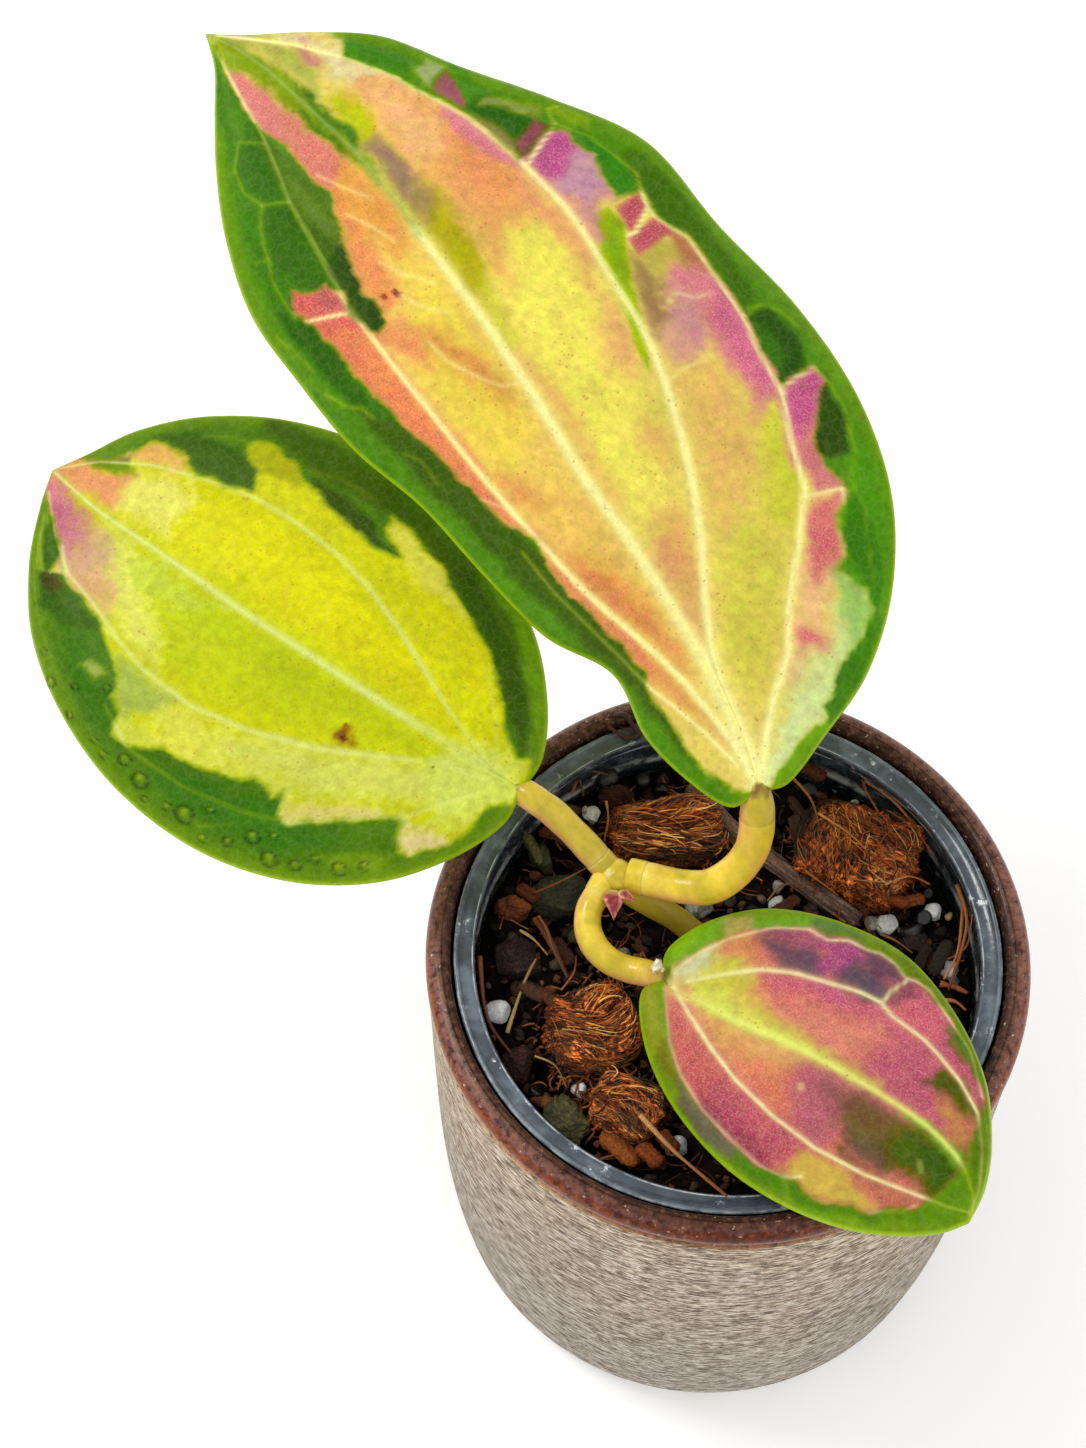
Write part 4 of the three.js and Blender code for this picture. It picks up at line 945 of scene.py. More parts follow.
stone_skin = crumbly_finish("grit_stone", 0.72, 0.45, 0.25, 0.35, 0.35)
bark_skin = crumbly_finish("bark_chip", 0.85, 0.5, 0.5, 0.3, 0.55)
perlite_skin = crumbly_finish("white_perlite", 0.85, 0.55, 0.3, 0.3, 0.18)
for k, chunk in enumerate(STONES):
    lay_lump(f"stone_{k + 1}", chunk, 46 + 7 * k, STONE_COLOURS[k], stone_skin, "grit_stone",
             f"grey_stone_{k + 1}", 11, (0.11, 0.13, 0.08, 0.05)[k], 0.6)
for k, chunk in enumerate(BARK_CHIPS):
    lay_lump(f"bark_{k + 1}", chunk, 74 + 7 * k, BARK_COLOURS[k], bark_skin, "bark",
             f"bark_chip_{k + 1}", 10, 0.15, 0.6, (2.5, 11, 6))
for k, grain in enumerate(PERLITE):
    chunk = {"at": grain["at"], "size": (grain["size"],) * 2 + (grain["size"] * 0.9,), "turn": 0.0,
             "square": 2.2}
    shade = "c8ced2" if k in (0, 7) else "fafaf6"
    lay_lump(f"perlite_grain_{k + 1}", chunk, 109 + 7 * k, shade, perlite_skin, "perlite",
             f"perlite_{k + 1}", 5, 0.035, 0.12)

# Twig: a dead grey-brown piece of bark-covered wood lying across the mix, streaked
# lengthwise and flaking.
TWIG_PATH = [(-4.5, 34, 88), (2.4, 25.6, 87.4), (11.1, 18.3, 87), (22, 9.6, 86.8)]
TWIG_RADIUS = 1.6
twig_share = np.linspace(0, 1, 90)
twig_line = through(TWIG_PATH, twig_share)
twig_points, twig_faces = swept(twig_line, TWIG_RADIUS * (1 + 0.06 * np.sin(17 * twig_share)), 40)
twig_grid = np.stack(np.meshgrid(np.arange(40) * 0.9, twig_share * 9), -1).reshape(-1, 2)
streak = np.concatenate([drift(twig_grid, 1, 61, 3), [0, 0]])[:, None]
middle = np.repeat(twig_line, 40, 0)
twig_points[:-2] = middle + (twig_points[:-2] - middle) * (1 + 0.16 * streak[:-2])
twig_tissue = np.clip(eight_bit("785c4e") * (1 + 0.75 * streak), 0, 1)
add_piece("dead_twig", twig_points, twig_faces, [crumbly_finish("twig_bark", 0.7, 0.4, 0.5, 0.4, 0.6)],
          ("twig",), None, {"tissue": to_linear(twig_tissue)})

# Stem and stalks: one short green-yellow vine rises from the mix to a swollen node, and
# three thick fleshy stalks leave the node on collars. The light has flushed them tan.
STEM_RADIUS = 2.1
NODE_CENTRE = (-17.9, 8.7, 105.3)
NODE_RADIUS = 3
STALKS = {
    "upper": {"seed": 91, "path": [(-12.9, 8, 106), (-7.1, 6.2, 107), (-3.4, 5.5, 108.5), (0.4, 6.6, 111.5),
                       (2.8, 8.6, 115)], "radius": 2.75},
    "left": {"seed": 94, "path": [(-20.9, 11.4, 107.1), (-24, 14, 109.4)], "radius": 2.3},
    "front": {"seed": 97, "path": [(-20.9, 5.6, 105.2), (-22.1, 3.3, 104.9), (-22.3, 0.4, 104.2),
                       (-21.2, -2.4, 103.5), (-18.9, -4.7, 103.1)], "radius": 2.15},
}
STALK_TONES = {"upper": 1.1, "left": 0.95, "front": 1.03}
STALK_GREEN = "a8960c"
STALK_YELLOW = "e6c840"
STALK_BLUSH = "e09c72"
STALK_PALE = "e2cc72"
COLLAR_SIDES = 36
STALK_SIDES = 40


def stalk_finish():
    """Smooth yellow-green stalk skin, flushed tan-pink in streaks, finely mottled and dotted with brown."""
    finish = new_finish("stalk_skin", specular_ior_level=0.3, roughness=0.34, coat_weight=0.25,
                        coat_roughness=0.07)
    tissue = mark(finish, "tissue").outputs["Color"]
    place = object_place(finish)
    fine = noise(finish, place, 0.8, 4, 0.65)
    dim = shades(finish, fine, [(0.3, 0.9), (0.5, 1.0), (0.7, 1.05)])
    colour = blend(finish, 1.0, tissue, dim, "MULTIPLY")
    dots = noise(finish, place, 0.5, 2, 0.5)
    colour = blend(finish, shades(finish, dots, [(0.7, 0.0), (0.76, 0.35)]), colour, "9a6a3a")
    feed(finish, base_color=colour)
    relief(finish, noise(finish, place, 1.6, 3, 0.6), 0.25, 0.6)
    return finish


def stalk_tissue(points, seed, blush, outward=None):
    """Stalk colours: yellow-green below, tan and pink where the light falls from behind."""
    spots = np.column_stack([points[:, 0] + 0.7 * points[:, 2], points[:, 1] - 0.4 * points[:, 2]])
    patch = drift(spots, 4.5, seed, 3)
    fine = drift(spots, 1.1, seed + 1, 2)
    tissue = np.tile(eight_bit(STALK_GREEN), (len(points), 1))
    yellow = np.clip(0.6 + 0.8 * patch + 0.2 * fine, 0, 1)[:, None]
    tissue = tissue + (eight_bit(STALK_YELLOW) - tissue) * yellow
    lit = 0.0
    if outward is not None:
        flank = 1 - np.abs(outward[:, 2])
        lit = 1.1 * flank ** 2 + 0.25 * outward[:, 1] - 0.15 * outward[:, 0] - 0.2
    tan = np.clip(0.1 + lit + 0.7 * drift(spots + 50, 5, seed + 2, 3), 0, 1)[:, None] * blush
    return tissue + (eight_bit(STALK_BLUSH) - tissue) * tan


def away_from(line, points, sides):
    """The directions in which a swept body's points lie from its line."""
    off = points - np.vstack([np.repeat(line, sides, 0), line[:1], line[-1:]])
    return off / (np.linalg.norm(off, axis=1)[:, None] + 1e-9)


def smooth_path(path, steps):
    """Points along a curve of the kind the model's tubes follow, evenly spaced."""
    knots = [np.array(p, float) for p in path]
    knots = [2 * knots[0] - knots[1]] + knots + [2 * knots[-1] - knots[-2]]
    line = []
    for a, b, c, d in zip(knots, knots[1:], knots[2:], knots[3:]):
        t0, t1 = 0, np.linalg.norm(b - a) ** 0.5
        t2 = t1 + np.linalg.norm(c - b) ** 0.5
        t3 = t2 + np.linalg.norm(d - c) ** 0.5
        for t in np.linspace(t1, t2, 24, endpoint=False):
            p = (t1 - t) / (t1 - t0) * a + (t - t0) / (t1 - t0) * b
            q = (t2 - t) / (t2 - t1) * b + (t - t1) / (t2 - t1) * c
            r = (t3 - t) / (t3 - t2) * c + (t - t2) / (t3 - t2) * d
            s = (t2 - t) / (t2 - t0) * p + (t - t0) / (t2 - t0) * q
            u = (t3 - t) / (t3 - t1) * q + (t - t1) / (t3 - t1) * r
            line.append((t2 - t) / (t2 - t1) * s + (t - t1) / (t2 - t1) * u)
    line.append(knots[-2])
    line = np.array(line)
    run = np.concatenate([[0], np.cumsum(np.linalg.norm(np.diff(line, axis=0), axis=1))])
    return np.column_stack([np.interp(np.linspace(0, run[-1], steps), run, line[:, k]) for k in range(3)])


stalk_skin = stalk_finish()
stem = Heap()
stem_line = smooth_path(STEM_PATH, 70)
stem_swell = STEM_RADIUS * (1 + 0.12 * np.exp(-(np.linspace(0, 50, 70) / 6) ** 2)
                            + 0.03 * np.sin(np.linspace(0, 14, 70)))
points, faces = swept(stem_line, stem_swell, COLLAR_SIDES)
stem.lay_in(points, faces, stalk_tissue(points, 71, 0.35) * 0.93)
ball, faces = BALLS[5]
node_swell = 1 + 0.05 * drift(ball[:, :2] * 3 + ball[:, 2:], 1, 75)[:, None]
node_points = ball * NODE_RADIUS * node_swell + NODE_CENTRE
stem.lay_in(node_points, faces, stalk_tissue(node_points, 76, 0.3))
for name, stalk in STALKS.items():
    line = smooth_path(stalk["path"], 60)
    ahead = unit(line[1] - line[0])
    start, root = line[0] - ahead * GAP, line[0] - ahead * NODE_RADIUS
    share = np.linspace(0, 1, 12)
    collar = root + (start - root) * share[:, None]
    collar_radii = stalk["radius"] * (1.02 - 0.02 * share ** 12)
    points, faces = swept(collar, collar_radii, COLLAR_SIDES)
    along = np.concatenate([np.repeat(share, COLLAR_SIDES), [0, 1]])
    lip = np.exp(-((along - 1) / 0.12) ** 2)[:, None]
    outward = away_from(collar, points, COLLAR_SIDES)
    tissue = stalk_tissue(points, stalk["seed"], 0.6, outward) * STALK_TONES[name]
    stem.lay_in(points, faces, np.clip(tissue + (eight_bit(STALK_PALE) - tissue) * 0.4 * lip, 0, 1))
stem.piece("vine_stem", stalk_skin, "stalk", ("main_stem",))


def grow_stalk(name, blade):
    """A stalk from inside its collar's lip to its blade's stub."""
    stalk, crown, rise = STALKS[name], blade_crown(blade), unit(blade["rise"])
    near, end = crown - rise * (blade["stub"] + 2.5), crown - rise * (blade["stub"] + GAP)
    line = smooth_path(list(stalk["path"]) + [near, end], 110)
    line = np.vstack([line[0] - unit(line[1] - line[0]) * 1.2, line, end + rise * np.array([[0.6], [1.1]])])
    share = np.linspace(0, 1, len(line))
    radii = stalk["radius"] * (1.0 + 0.02 * np.sin(11 * share + stalk["seed"]) * np.clip(8 - 8 * share, 0, 1)
                               - 0.04 * np.exp(-(share / 0.008) ** 2))
    radii[-2:] = stalk["radius"] * np.array([0.985, 0.95])
    points, faces = swept(line, radii, STALK_SIDES)
    body = Heap()
    tissue = stalk_tissue(points, stalk["seed"], 0.9, away_from(line, points, STALK_SIDES))
    along = np.concatenate([np.repeat(share, STALK_SIDES), [0, 1]])[:, None]
    tissue = tissue + (eight_bit(STALK_PALE) - tissue) * 0.4 * np.exp(-(along / 0.06) ** 2)
    body.lay_in(points, faces, np.clip(tissue * STALK_TONES[name], 0, 1))
    body.piece(f"{name}_stalk", stalk_skin, "stalk", (f"stalk_{name}",))


# Upper leaf: the oldest and longest blade, thick and waxy, tilted up and back. Its
# middle has lost its green and flushed from lemon through gold and coral to magenta,
# with a ragged green margin. The veins are cream, sunk in grooves above, proud below.
BLADE_THICKNESS = 1.2
BLADE_EDGE = 0.6
KEEL_DEPTH = 1.1
# Painted light: the lime of a lit line along the margin, for light through the blade's thin edge
LIT_EDGE_GREEN = "a6c61e"
STUB_STEPS = 14
CROWN_STEPS = 8
STUB_SIDES = 36
# The light that the wax adds to red, green and blue, taken off the tissue's own colour
WAX_SHEEN = [0.022, 0.028, 0.044]

UPPER_BLADE = {
    "base": (3.5, 13.6, 125.6), "tip": (-82, 122.5, 171.97), "facing": (0.02, -0.42, 0.9),
    "left": [(0, 0), (0.4, 5), (7.4, 7.9), (16.6, 9.2), (27.4, 7.5), (38.2, 12.5), (51.2, 14.7),
             (64.9, 16.3), (78.5, 19.5), (92.1, 20.2), (105.2, 20.1), (116.9, 16.6),
             (126.7, 11.6), (134.5, 6.5), (140.8, 2.1), (146.1, 0)],
    "midrib": [(0, 0), (5.1, -1.7), (11.9, -3.3), (20.5, -4.4), (30.6, -5.3), (41.9, -5.9),
               (54.1, -5.9), (66.8, -7), (79.7, -7.7), (92.5, -7.7), (104.7, -7.9), (116, -7.4),
               (126, -5.9), (134.6, -4.4), (141.3, -2.4), (146.1, 0)],
    "right": [(0, 0), (-1.8, -4.4), (0.8, -13.4), (4.7, -24.2), (12.9, -34.8), (25.1, -43.4),
              (40.6, -48.3), (57.4, -49.2), (74.4, -46.8), (91.1, -45.3), (105.4, -37.5),
              (118.1, -29.4), (129.6, -22.5), (136.9, -13.7), (141.9, -5.8), (146.1, 0)],
    "veins": [
        [0.25, 0.21, 0.31, 0.55, 0.54, 0.57, 0.55, 0.53, 0.49, 0.61, 0.7],
        [0] * 11,
        [-0.03, -0.03, -0.06, -0.21, -0.36, -0.5, -0.55, -0.66, -0.63, -0.4, -0.2],
        [-0.12, -0.27, -0.44, -0.58, -0.74, -0.83, -0.87, -0.88, -0.86, -0.8, -0.7]],
    "arch": 7, "cup": 4, "curl": (2.6, 1.6), "wave": 1.5, "waves": 2.4, "phase": (0.15, 0.62),
    "quilt": 0.9, "rows": 400, "strips": (36, 34, 44, 30, 26), "seed": 3,
    "rise": (0, 0.43, 0.9), "stub": 5.2, "stub_radius": 2.75, "tuck": 0.3, "pinch": 0.28, "scar": 0.85,
    "melt": 1.7, "mottle": 0.04, "tone": (0.98, 0.99, 1),
    "stalk_seed": 91, "vein_colour": "fff8a2", "vein_start": 0.85, "crown_colour": "e9e884",
    "green": "558a06", "outer_green": "7c9c08", "heart": "e6cf62",
}

# The green patches of the upper blade. Each has its colour, the softness of its edge in
# millimetres, its strength, and its outline in pairs that run on in one list: how far a
# corner lies from the blade's base, and how far to the left of its axis.
UPPER_GREENS = [
    ("4f8408", 2, 0.9, [-1, 4, 5, 10, 40, 16, 80, 21, 105, 21, 40, 10, 32, 7, 8, 6, 2, 4]),
    # Painted highlight: a paler green sheen along the left margin's fold
    ("5f962c", 1.2, 0.6, [6, 7, 20, 9, 30, 8, 38, 12, 72, 17, 74, 16, 40, 11, 31, 7, 20, 8, 8, 7]),
    # Painted shade: darker grey-green in the left margin's fold
    ("45601a", 1.2, 0.92, [9, 6, 26, 7, 45, 11, 55, 12, 78, 16, 83, 16, 82, 12, 45, 5, 30, 3, 20, 5, 10, 5]),
    ("42780e", 1.5, 0.9, [76, 12, 84, 16, 95, 18, 110, 16, 136, 5, 144, 1, 105, 3, 90, 5]),
    ("3a6408", 0.8, 0.85, [82, 13.5, 84, 16, 98, 17, 103, 16.5, 97, 13.5]),
    ("3f6c0c", 0.8, 0.9, [101, 9, 104, 12, 110, 12.5, 114, 11, 117, 9, 115, 6, 98, 7.5]),
    ("3a6c0a", 0.8, 0.8, [116, 6, 117.5, 8.5, 121, 9.5, 125, 8.5, 127.5, 6, 125, 3.5, 120, 4.5]),
    ("34501a", 0.7, 0.95, [90, 7, 96, 7.5, 111, 5.5, 110, 3, 104, 1.5, 98, 3.5, 94, 3.5, 90.5, 4.5]),
    ("4a6a20", 1, 0.8, [104, 6, 115, 5.5, 122, 4.5, 128, 2.5, 121, 1, 112, 0, 105, 1.5]),
    ("78905a", 0.8, 0.45, [104, 2.5, 109, 4.5, 114, 4.5, 119, 3, 108, 1.5]),
    ("4f8420", 0.8, 0.7, [128, 6, 134, 5, 140, 1.5, 136, 1.5, 130, 2]),
    ("78aa1e", 1.5, 0.9, [-2, -2, 2, -4, 4, -15, 1, -15]),
    ("468418", 0.7, 0.9, [2, -15, 5, -15, 6.5, -18.5, 8.5, -21, 9.5, -26, 12, -31, 9, -30, 4, -22]),
    ("529414", 1.8, 0.85, [10, -30, 20, -30, 30, -37, 36, -45, 28, -44, 18, -38, 11, -32]),
    ("3f7a10", 0.7, 0.8, [11, -30.5, 15, -31.5, 22, -32, 27, -36, 28, -39, 22, -38, 15, -34.5]),
    ("6fa545", 0.8, 0.75, [10.5, -25.5, 14.5, -25, 16, -27, 19, -28.5, 18, -30.5, 13, -30, 11, -28]),
    ("3a5404", 0.7, 0.95, [36, -36.5, 44, -43.5, 44, -45, 38, -44, 33, -41, 34, -38.5]),
    ("345604", 0.8, 0.9, [47.5, -39, 55, -40, 60, -41, 59.5, -45, 53, -46, 48, -44]),
    ("40780e", 0.8, 0.7, [50, -39.5, 56, -40, 59, -41.5, 56, -43, 51, -42]),
    ("466c08", 1, 0.8, [60.5, -41.5, 74, -42, 82, -39, 92, -40.5, 91, -43, 78, -45, 62, -45]),
    ("3a8010", 0.7, 0.9, [84.5, -37, 88, -36, 94, -37, 99, -36.5, 97, -38.5, 92, -40, 88, -40]),
    ("8aa84c", 0.8, 0.6, [97, -38.5, 101, -36, 103.5, -36, 103, -38, 99, -40]),
    ("30600a", 0.7, 0.9, [99, -28, 111.5, -25, 113, -28.5, 106, -31.5, 101.5, -34]),
    ("a9a866", 0.9, 0.65, [104.5, -34.5, 103.5, -33, 108, -30, 110.5, -27, 111.5, -28.5, 108, -32.5]),
    ("a04a62", 0.8, 0.85, [99.5, -28, 101.5, -28, 103.5, -33, 101.5, -34]),
    ("b08a6c", 0.8, 0.6, [100, -27, 110, -25, 107, -27, 102, -28.5]),
    ("48840e", 0.8, 0.8, [111.5, -25.5, 117, -27, 121, -27, 119, -28.5, 112, -29]),
    ("9a5560", 0.6, 0.95, [111.2, -25, 117, -22.8, 118.2, -26.4, 112.5, -26.2]),
    ("a8b07a", 0.8, 0.85, [117.5, -23, 121, -22.5, 122, -25.5, 119, -26.5]),
    ("448410", 1, 0.85, [120, -20.5, 130, -15, 132, -17, 128, -20.5, 123, -23]),
    ("5c3a1c", 0.4, 0.9, [144.8, -1, 144.9, 1, 147, 0.6, 147, -0.6]),
    ("c9c488", 1.2, 0.85, [130, -15, 143, -3, 142, -6, 138, -12, 134, -16, 132, -17]),
]

# The heart is the field that has lost its green, outlined in the same pairs.
UPPER_HEART = [
    1, 2, 2.5, 3.5, 5, 4, 7, 5, 10, 5.5, 15, 5, 22, 5, 25, 3.5, 28, 3.5, 31, 4.5, 36, 5, 43, 6.5, 45, 6.5,
    47, 5.5, 50, 5, 53, 6, 55, 7.5, 65, 9.5, 85, 12.5, 90, 13, 96, 13, 98, 14, 101, 14, 103.5, 13, 101.5,
    11, 101, 8.5, 99, 7.5, 95.5, 8, 90, 7, 90.5, 4.5, 93, 3.5, 95, 3.5, 97, 4.5, 99, 4, 102, 2.5, 107, 1,
    113, -0.5, 116, 0, 120, 0.5, 123, 0, 126, 1, 129, 2, 132, 2, 140, 0.5, 144, 0, 145.5, -0.5, 141, -7.5,
    136, -14, 134, -15.5, 132, -16, 130, -15, 126, -17, 122, -19.5, 119, -20.5, 115, -22.5, 110, -24.5,
    99, -27, 99, -28.5, 100, -31, 100.5, -34, 99.5, -35.5, 97, -35, 95, -36, 94, -37, 92, -36.5, 90,
    -35.5, 86, -36, 84.5, -39.5, 82, -39, 80.5, -39, 75, -41.5, 60, -41, 55, -39.5, 48, -39, 47.5, -39,
    47, -45, 44.5, -45, 42, -41, 38, -38, 36, -37, 30, -37, 29, -37.5, 27, -33.5, 24, -32.5, 21, -31, 20,
    -29, 17, -29.5, 15, -31, 12, -30.5, 9.5, -25.5, 9, -23, 8, -20.5, 6, -18, 5, -15.5, 3, -15, 2, -8, 1,
    -4, -1, -2]

# Patches of colour within the heart, laid one over the other.
UPPER_FLUSH = [
    ("dacb55", 2.5, 0.95, [8, -5, 20, -7, 50, -21, 62, -26, 60, -30, 45, -33, 32, -31, 12, -12]),
    ("ece05c", 2.6, 0.95, [42, -8, 60, -8, 80, -10, 90, -13, 94, -19, 91, -24, 80, -26, 68, -24, 55, -20,
        45, -14]),
    ("eac65c", 1.5, 0.95, [14, -2, 45, 4, 75, 7, 90, 7, 88, 3, 92, 1, 100, 2, 118, -3, 112, -7, 95, -8,
        30, -5, 20, -3]),
    ("eed64c", 1.8, 0.75, [60, 3, 70, 5, 80, 5, 88, 2, 90, -2, 97, -2, 92, -6, 64, -4]),
    ("e8bc5c", 1.6, 0.75, [40, 4, 52, 5, 60, 4, 58, -1, 50, -4, 38, -4, 36, 0]),
    ("dd8f4e", 1, 0.85, [8, 0, 24, 4, 37, 4.5, 43, 6.5, 52, 5, 44, 4, 20, 0, 12, -0.5]),
    ("d9764f", 0.8, 0.75, [25, 3, 37, 5, 43, 6.5, 45, 6, 30, 2]),
    ("e2904a", 1.4, 0.75, [20, -1, 28, 0, 40, 3, 46, 4, 44, 1, 34, -3, 24, -3]),
    ("c4663f", 1.2, 0.5, [26, -1, 36, 2, 42, 3, 41, 1, 28, -2]),
    ("e2764e", 0.9, 0.92, [52, 5.5, 60, 8.5, 80, 12, 103, 14, 101.5, 9, 96, 7.5]),
    ("ee9150", 1.4, 0.7, [64, 7, 90, 8, 93, 9, 86, 10, 66, 8]),
    ("d9585a", 0.9, 0.85, [93, 8.5, 95, 11, 98, 13.5, 102, 14, 103.5, 13, 101, 10.5, 99, 10, 96, 8]),
    ("b75a5c", 0.6, 0.8, [96.2, 8, 98, 10.6, 101, 11, 101.6, 8.2, 99, 7.6]),
    ("d8844a", 1.3, 0.6, [53, 2, 57, 5, 62, 5, 58, 2]),
    ("c98442", 0.8, 0.7, [70, -4, 84, 0, 81, -1.5, 74, -4.5]),
    ("d98848", 1.5, 0.6, [68, -3, 78, 0, 86, 1, 84, -2, 74, -4]),
    ("e88a58", 1.2, 0.8, [84, 5, 90, 7, 90, 2, 86, 1, 80, 3]),
    ("e8804e", 1, 0.75, [92, 0.5, 93, 3.5, 99, 4, 104, 2, 110, 0, 118, 0, 126, 1, 118, -3, 98, 0]),
    ("e39344", 1.5, 0.8, [98, -3, 104, -1, 114, -1, 121, -4, 115, -6, 106, -7, 99, -6]),
    ("d9786c", 0.9, 0.92, [114, -0.5, 128, 2, 132, 2, 139.5, 0, 130, -2.5, 116, -5.5, 114, -3]),
    ("d9727c", 0.9, 0.6, [125, 0.5, 129, 2, 133, 2, 139, 1, 135, -0.5, 128, -1]),
    ("8f2a26", 0.25, 0.9, [93.4, 2.2, 94, 2.9, 94.7, 2.5, 94.4, 1.8]),
    ("7c1f20", 0.25, 0.95, [92.3, 0.2, 93, 1.1, 94.1, 1.2, 93.9, 0.3, 92.9, 0]),
    ("7f9a26", 0.7, 0.95, [109, -7.5, 137, -1, 143, 0, 144, -2.5, 124, -8.5, 117, -9.5]),
    ("3f6d10", 0.7, 0.85, [116, -6, 127, -3.5, 126, -5, 119, -6.5]),
    ("35691a", 0.8, 0.85, [115, -7.5, 130, -6, 128, -7.5, 120, -9, 115.5, -9]),
    ("a9b04a", 0.9, 0.85, [127, -8.5, 132, -6.5, 138, -5, 143.5, -2.5, 141, -5.5, 136, -9, 130, -10.5]),
    ("c7c43a", 1.2, 0.9, [76, -8, 115, -9, 115, -13, 107, -15, 97, -15, 89, -14, 84, -11, 77, -10]),
    ("aea52c", 1, 0.85, [86, -8.5, 96, -8.5, 106, -9.5, 106, -14, 98, -15, 90, -13.5, 87, -11]),
    ("a08456", 0.9, 0.85, [99.5, -9, 115.5, -8.5, 116, -12, 106, -14.5, 101, -12.5]),
    ("96706a", 0.9, 0.6, [106, -9.5, 114, -9.5, 115, -12, 107, -13]),
    ("b3bd1c", 0.7, 0.9, [115.5, -9, 126, -9.5, 125.5, -11.5, 122, -13, 116, -13]),
    ("e9a45e", 1.8, 0.95, [84, -14, 95, -15, 115, -13, 125, -13, 127, -15, 122, -19, 115, -22, 95, -27,
        84, -27, 90, -24, 93, -19]),
    ("edb878", 1.5, 0.8, [108, -14, 125, -14, 122, -18, 114, -20, 108, -19]),
    ("e58f52", 1.4, 0.6, [95, -20, 104, -19, 111, -21, 106, -24, 97, -25]),
    ("e0cf94", 1, 0.95, [125, -13, 129, -11, 130.5, -12.5, 135, -11, 138, -8, 139, -9.5, 134, -13, 125,
        -18]),
    ("c27f72", 0.7, 0.9, [130, -11, 133, -9.5, 136, -9, 136, -10.5, 131, -12.5]),
    ("d8788a", 0.9, 0.9, [102.5, -23.5, 107, -22, 113, -21, 113, -23, 102, -26.5, 99.5, -26.5]),
    ("e39a6a", 1.5, 0.7, [76, -23, 84, -25, 94, -24, 98, -26, 90, -28, 80, -27]),
    ("e0a06a", 1.5, 0.75, [64, -18, 70, -21, 74, -24, 68, -25, 62, -22]),
    ("dd9c5e", 2, 0.75, [22, -5, 28, -5, 36, -8, 42, -12, 41, -15, 34, -13, 26, -9]),
    ("d98a62", 1.5, 0.6, [33, -6, 38, -7, 39, -11, 34, -10]),
    ("e0a25c", 1.5, 0.7, [44, -7, 54, -7, 60, -8, 76, -8, 72, -10, 60, -10, 50, -9]),
    ("deb061", 2.5, 0.85, [35, -18, 45, -21, 62, -27, 63, -31, 56, -33, 46, -32, 40, -28, 36, -22]),
    ("dca35e", 1.5, 0.6, [48, -17, 54, -16, 56, -19, 50, -20]),
    ("c9c83e", 1.2, 0.9, [30, -26, 33, -25, 46, -34, 47, -38, 34, -33, 31, -30]),
    ("d0c84a", 2, 0.7, [14, -7, 22, -9, 31, -16, 33, -23, 28, -24, 14, -11]),
    ("e9b680", 1.4, 0.8, [9, -12, 14, -15, 26, -27, 22, -29, 18, -27, 12, -21]),
    ("dbe48c", 2.2, 0.95, [0, -2, 3, -3, 6, -8, 11, -14, 13, -19, 10, -24, 4, -15]),
    ("d9e89a", 1.6, 0.85, [1, -3, 6, -10, 8, -15, 7, -17, 4, -13, 2, -8]),
    ("cfe08c", 1.8, 0.9, [8, -19, 16, -26, 14, -27, 10, -25]),
    ("8fbf5e", 1, 0.85, [9.5, -24.5, 14, -25.5, 18, -28, 20, -30, 15, -31, 12, -30.5]),
    ("d8606a", 0.9, 0.75, [11.5, -20, 14, -17.5, 17, -19, 15, -21, 12, -22]),
    ("d66f6c", 1, 0.92, [20.5, -25.5, 25, -26.5, 30, -31, 31, -33.5, 29.5, -36, 22, -30.5]),
    ("cf5c68", 0.9, 0.6, [22, -27, 27, -29, 29, -32, 25, -31]),
    ("cf7078", 0.8, 0.95, [31.5, -33.5, 36, -33.5, 47.5, -38.5, 47, -45.5, 43, -44, 40, -40, 35, -37.5,
        31, -37]),
    ("bb5082", 0.9, 0.85, [40, -36.5, 47, -38.5, 47, -45, 44, -44.5]),
    ("d87a84", 1.2, 0.92, [46, -33, 50, -35, 58, -34, 66, -35, 72, -34, 73, -38, 71, -41, 60, -41, 48, -39]),
    ("d4608c", 1, 0.7, [49, -36, 56, -35.5, 64, -38, 66, -40.5, 49, -38.5]),
    ("cf9a80", 1.2, 0.9, [60, -27, 66, -28, 68, -31, 66, -34, 59, -33, 59, -29]),
    ("c88090", 1.2, 0.75, [60, -31, 66, -32, 72, -34, 68, -36, 62, -35]),
    ("94b40e", 0.6, 0.95, [61, -23.6, 65, -24, 73, -27, 82, -28, 86, -31, 85.6, -33.4, 82, -34.2, 74,
        -29.2, 66, -26.8]),
    ("7ca404", 0.8, 0.8, [70, -27, 80, -28.5, 84, -31, 83, -33, 78, -31.5]),
    ("8a6848", 1, 0.75, [65, -28, 71, -28.5, 76, -31, 78, -33, 72, -33.5, 67, -31.5]),
    ("b8a84a", 0.9, 0.9, [71.5, -32.5, 78, -33.5, 77, -37, 74, -39.5, 71, -38.5, 73, -36]),
    ("b06a48", 0.7, 0.85, [71, -38.5, 77, -38.5, 79, -39.5, 75, -41.5, 70, -41.5]),
    ("be5260", 0.6, 0.95, [76.6, -33, 79.8, -33.2, 80.4, -38.6, 78, -39.8, 77, -38.6]),
    ("c2505e", 0.6, 0.92, [80, -34, 84.6, -34.6, 85, -39, 82.4, -38.8]),
    ("c98a8a", 1, 0.95, [82, -28.5, 90, -29, 98.5, -28, 100.5, -34, 99.5, -35.5, 94, -37, 87, -35.5, 86,
        -32, 82.5, -30.5]),
    ("b98fa0", 0.9, 0.7, [87.5, -32, 92, -30, 96, -31, 94, -36.5, 89, -35]),
    ("bd4f8a", 0.8, 0.92, [94.5, -28.5, 98.5, -28, 100.5, -34, 99.5, -35.5, 96, -34.5, 94, -32.5]),
    ("df9a78", 0.7, 0.8, [81, -28.5, 90, -29, 98, -28, 90, -30, 84, -30]),
]

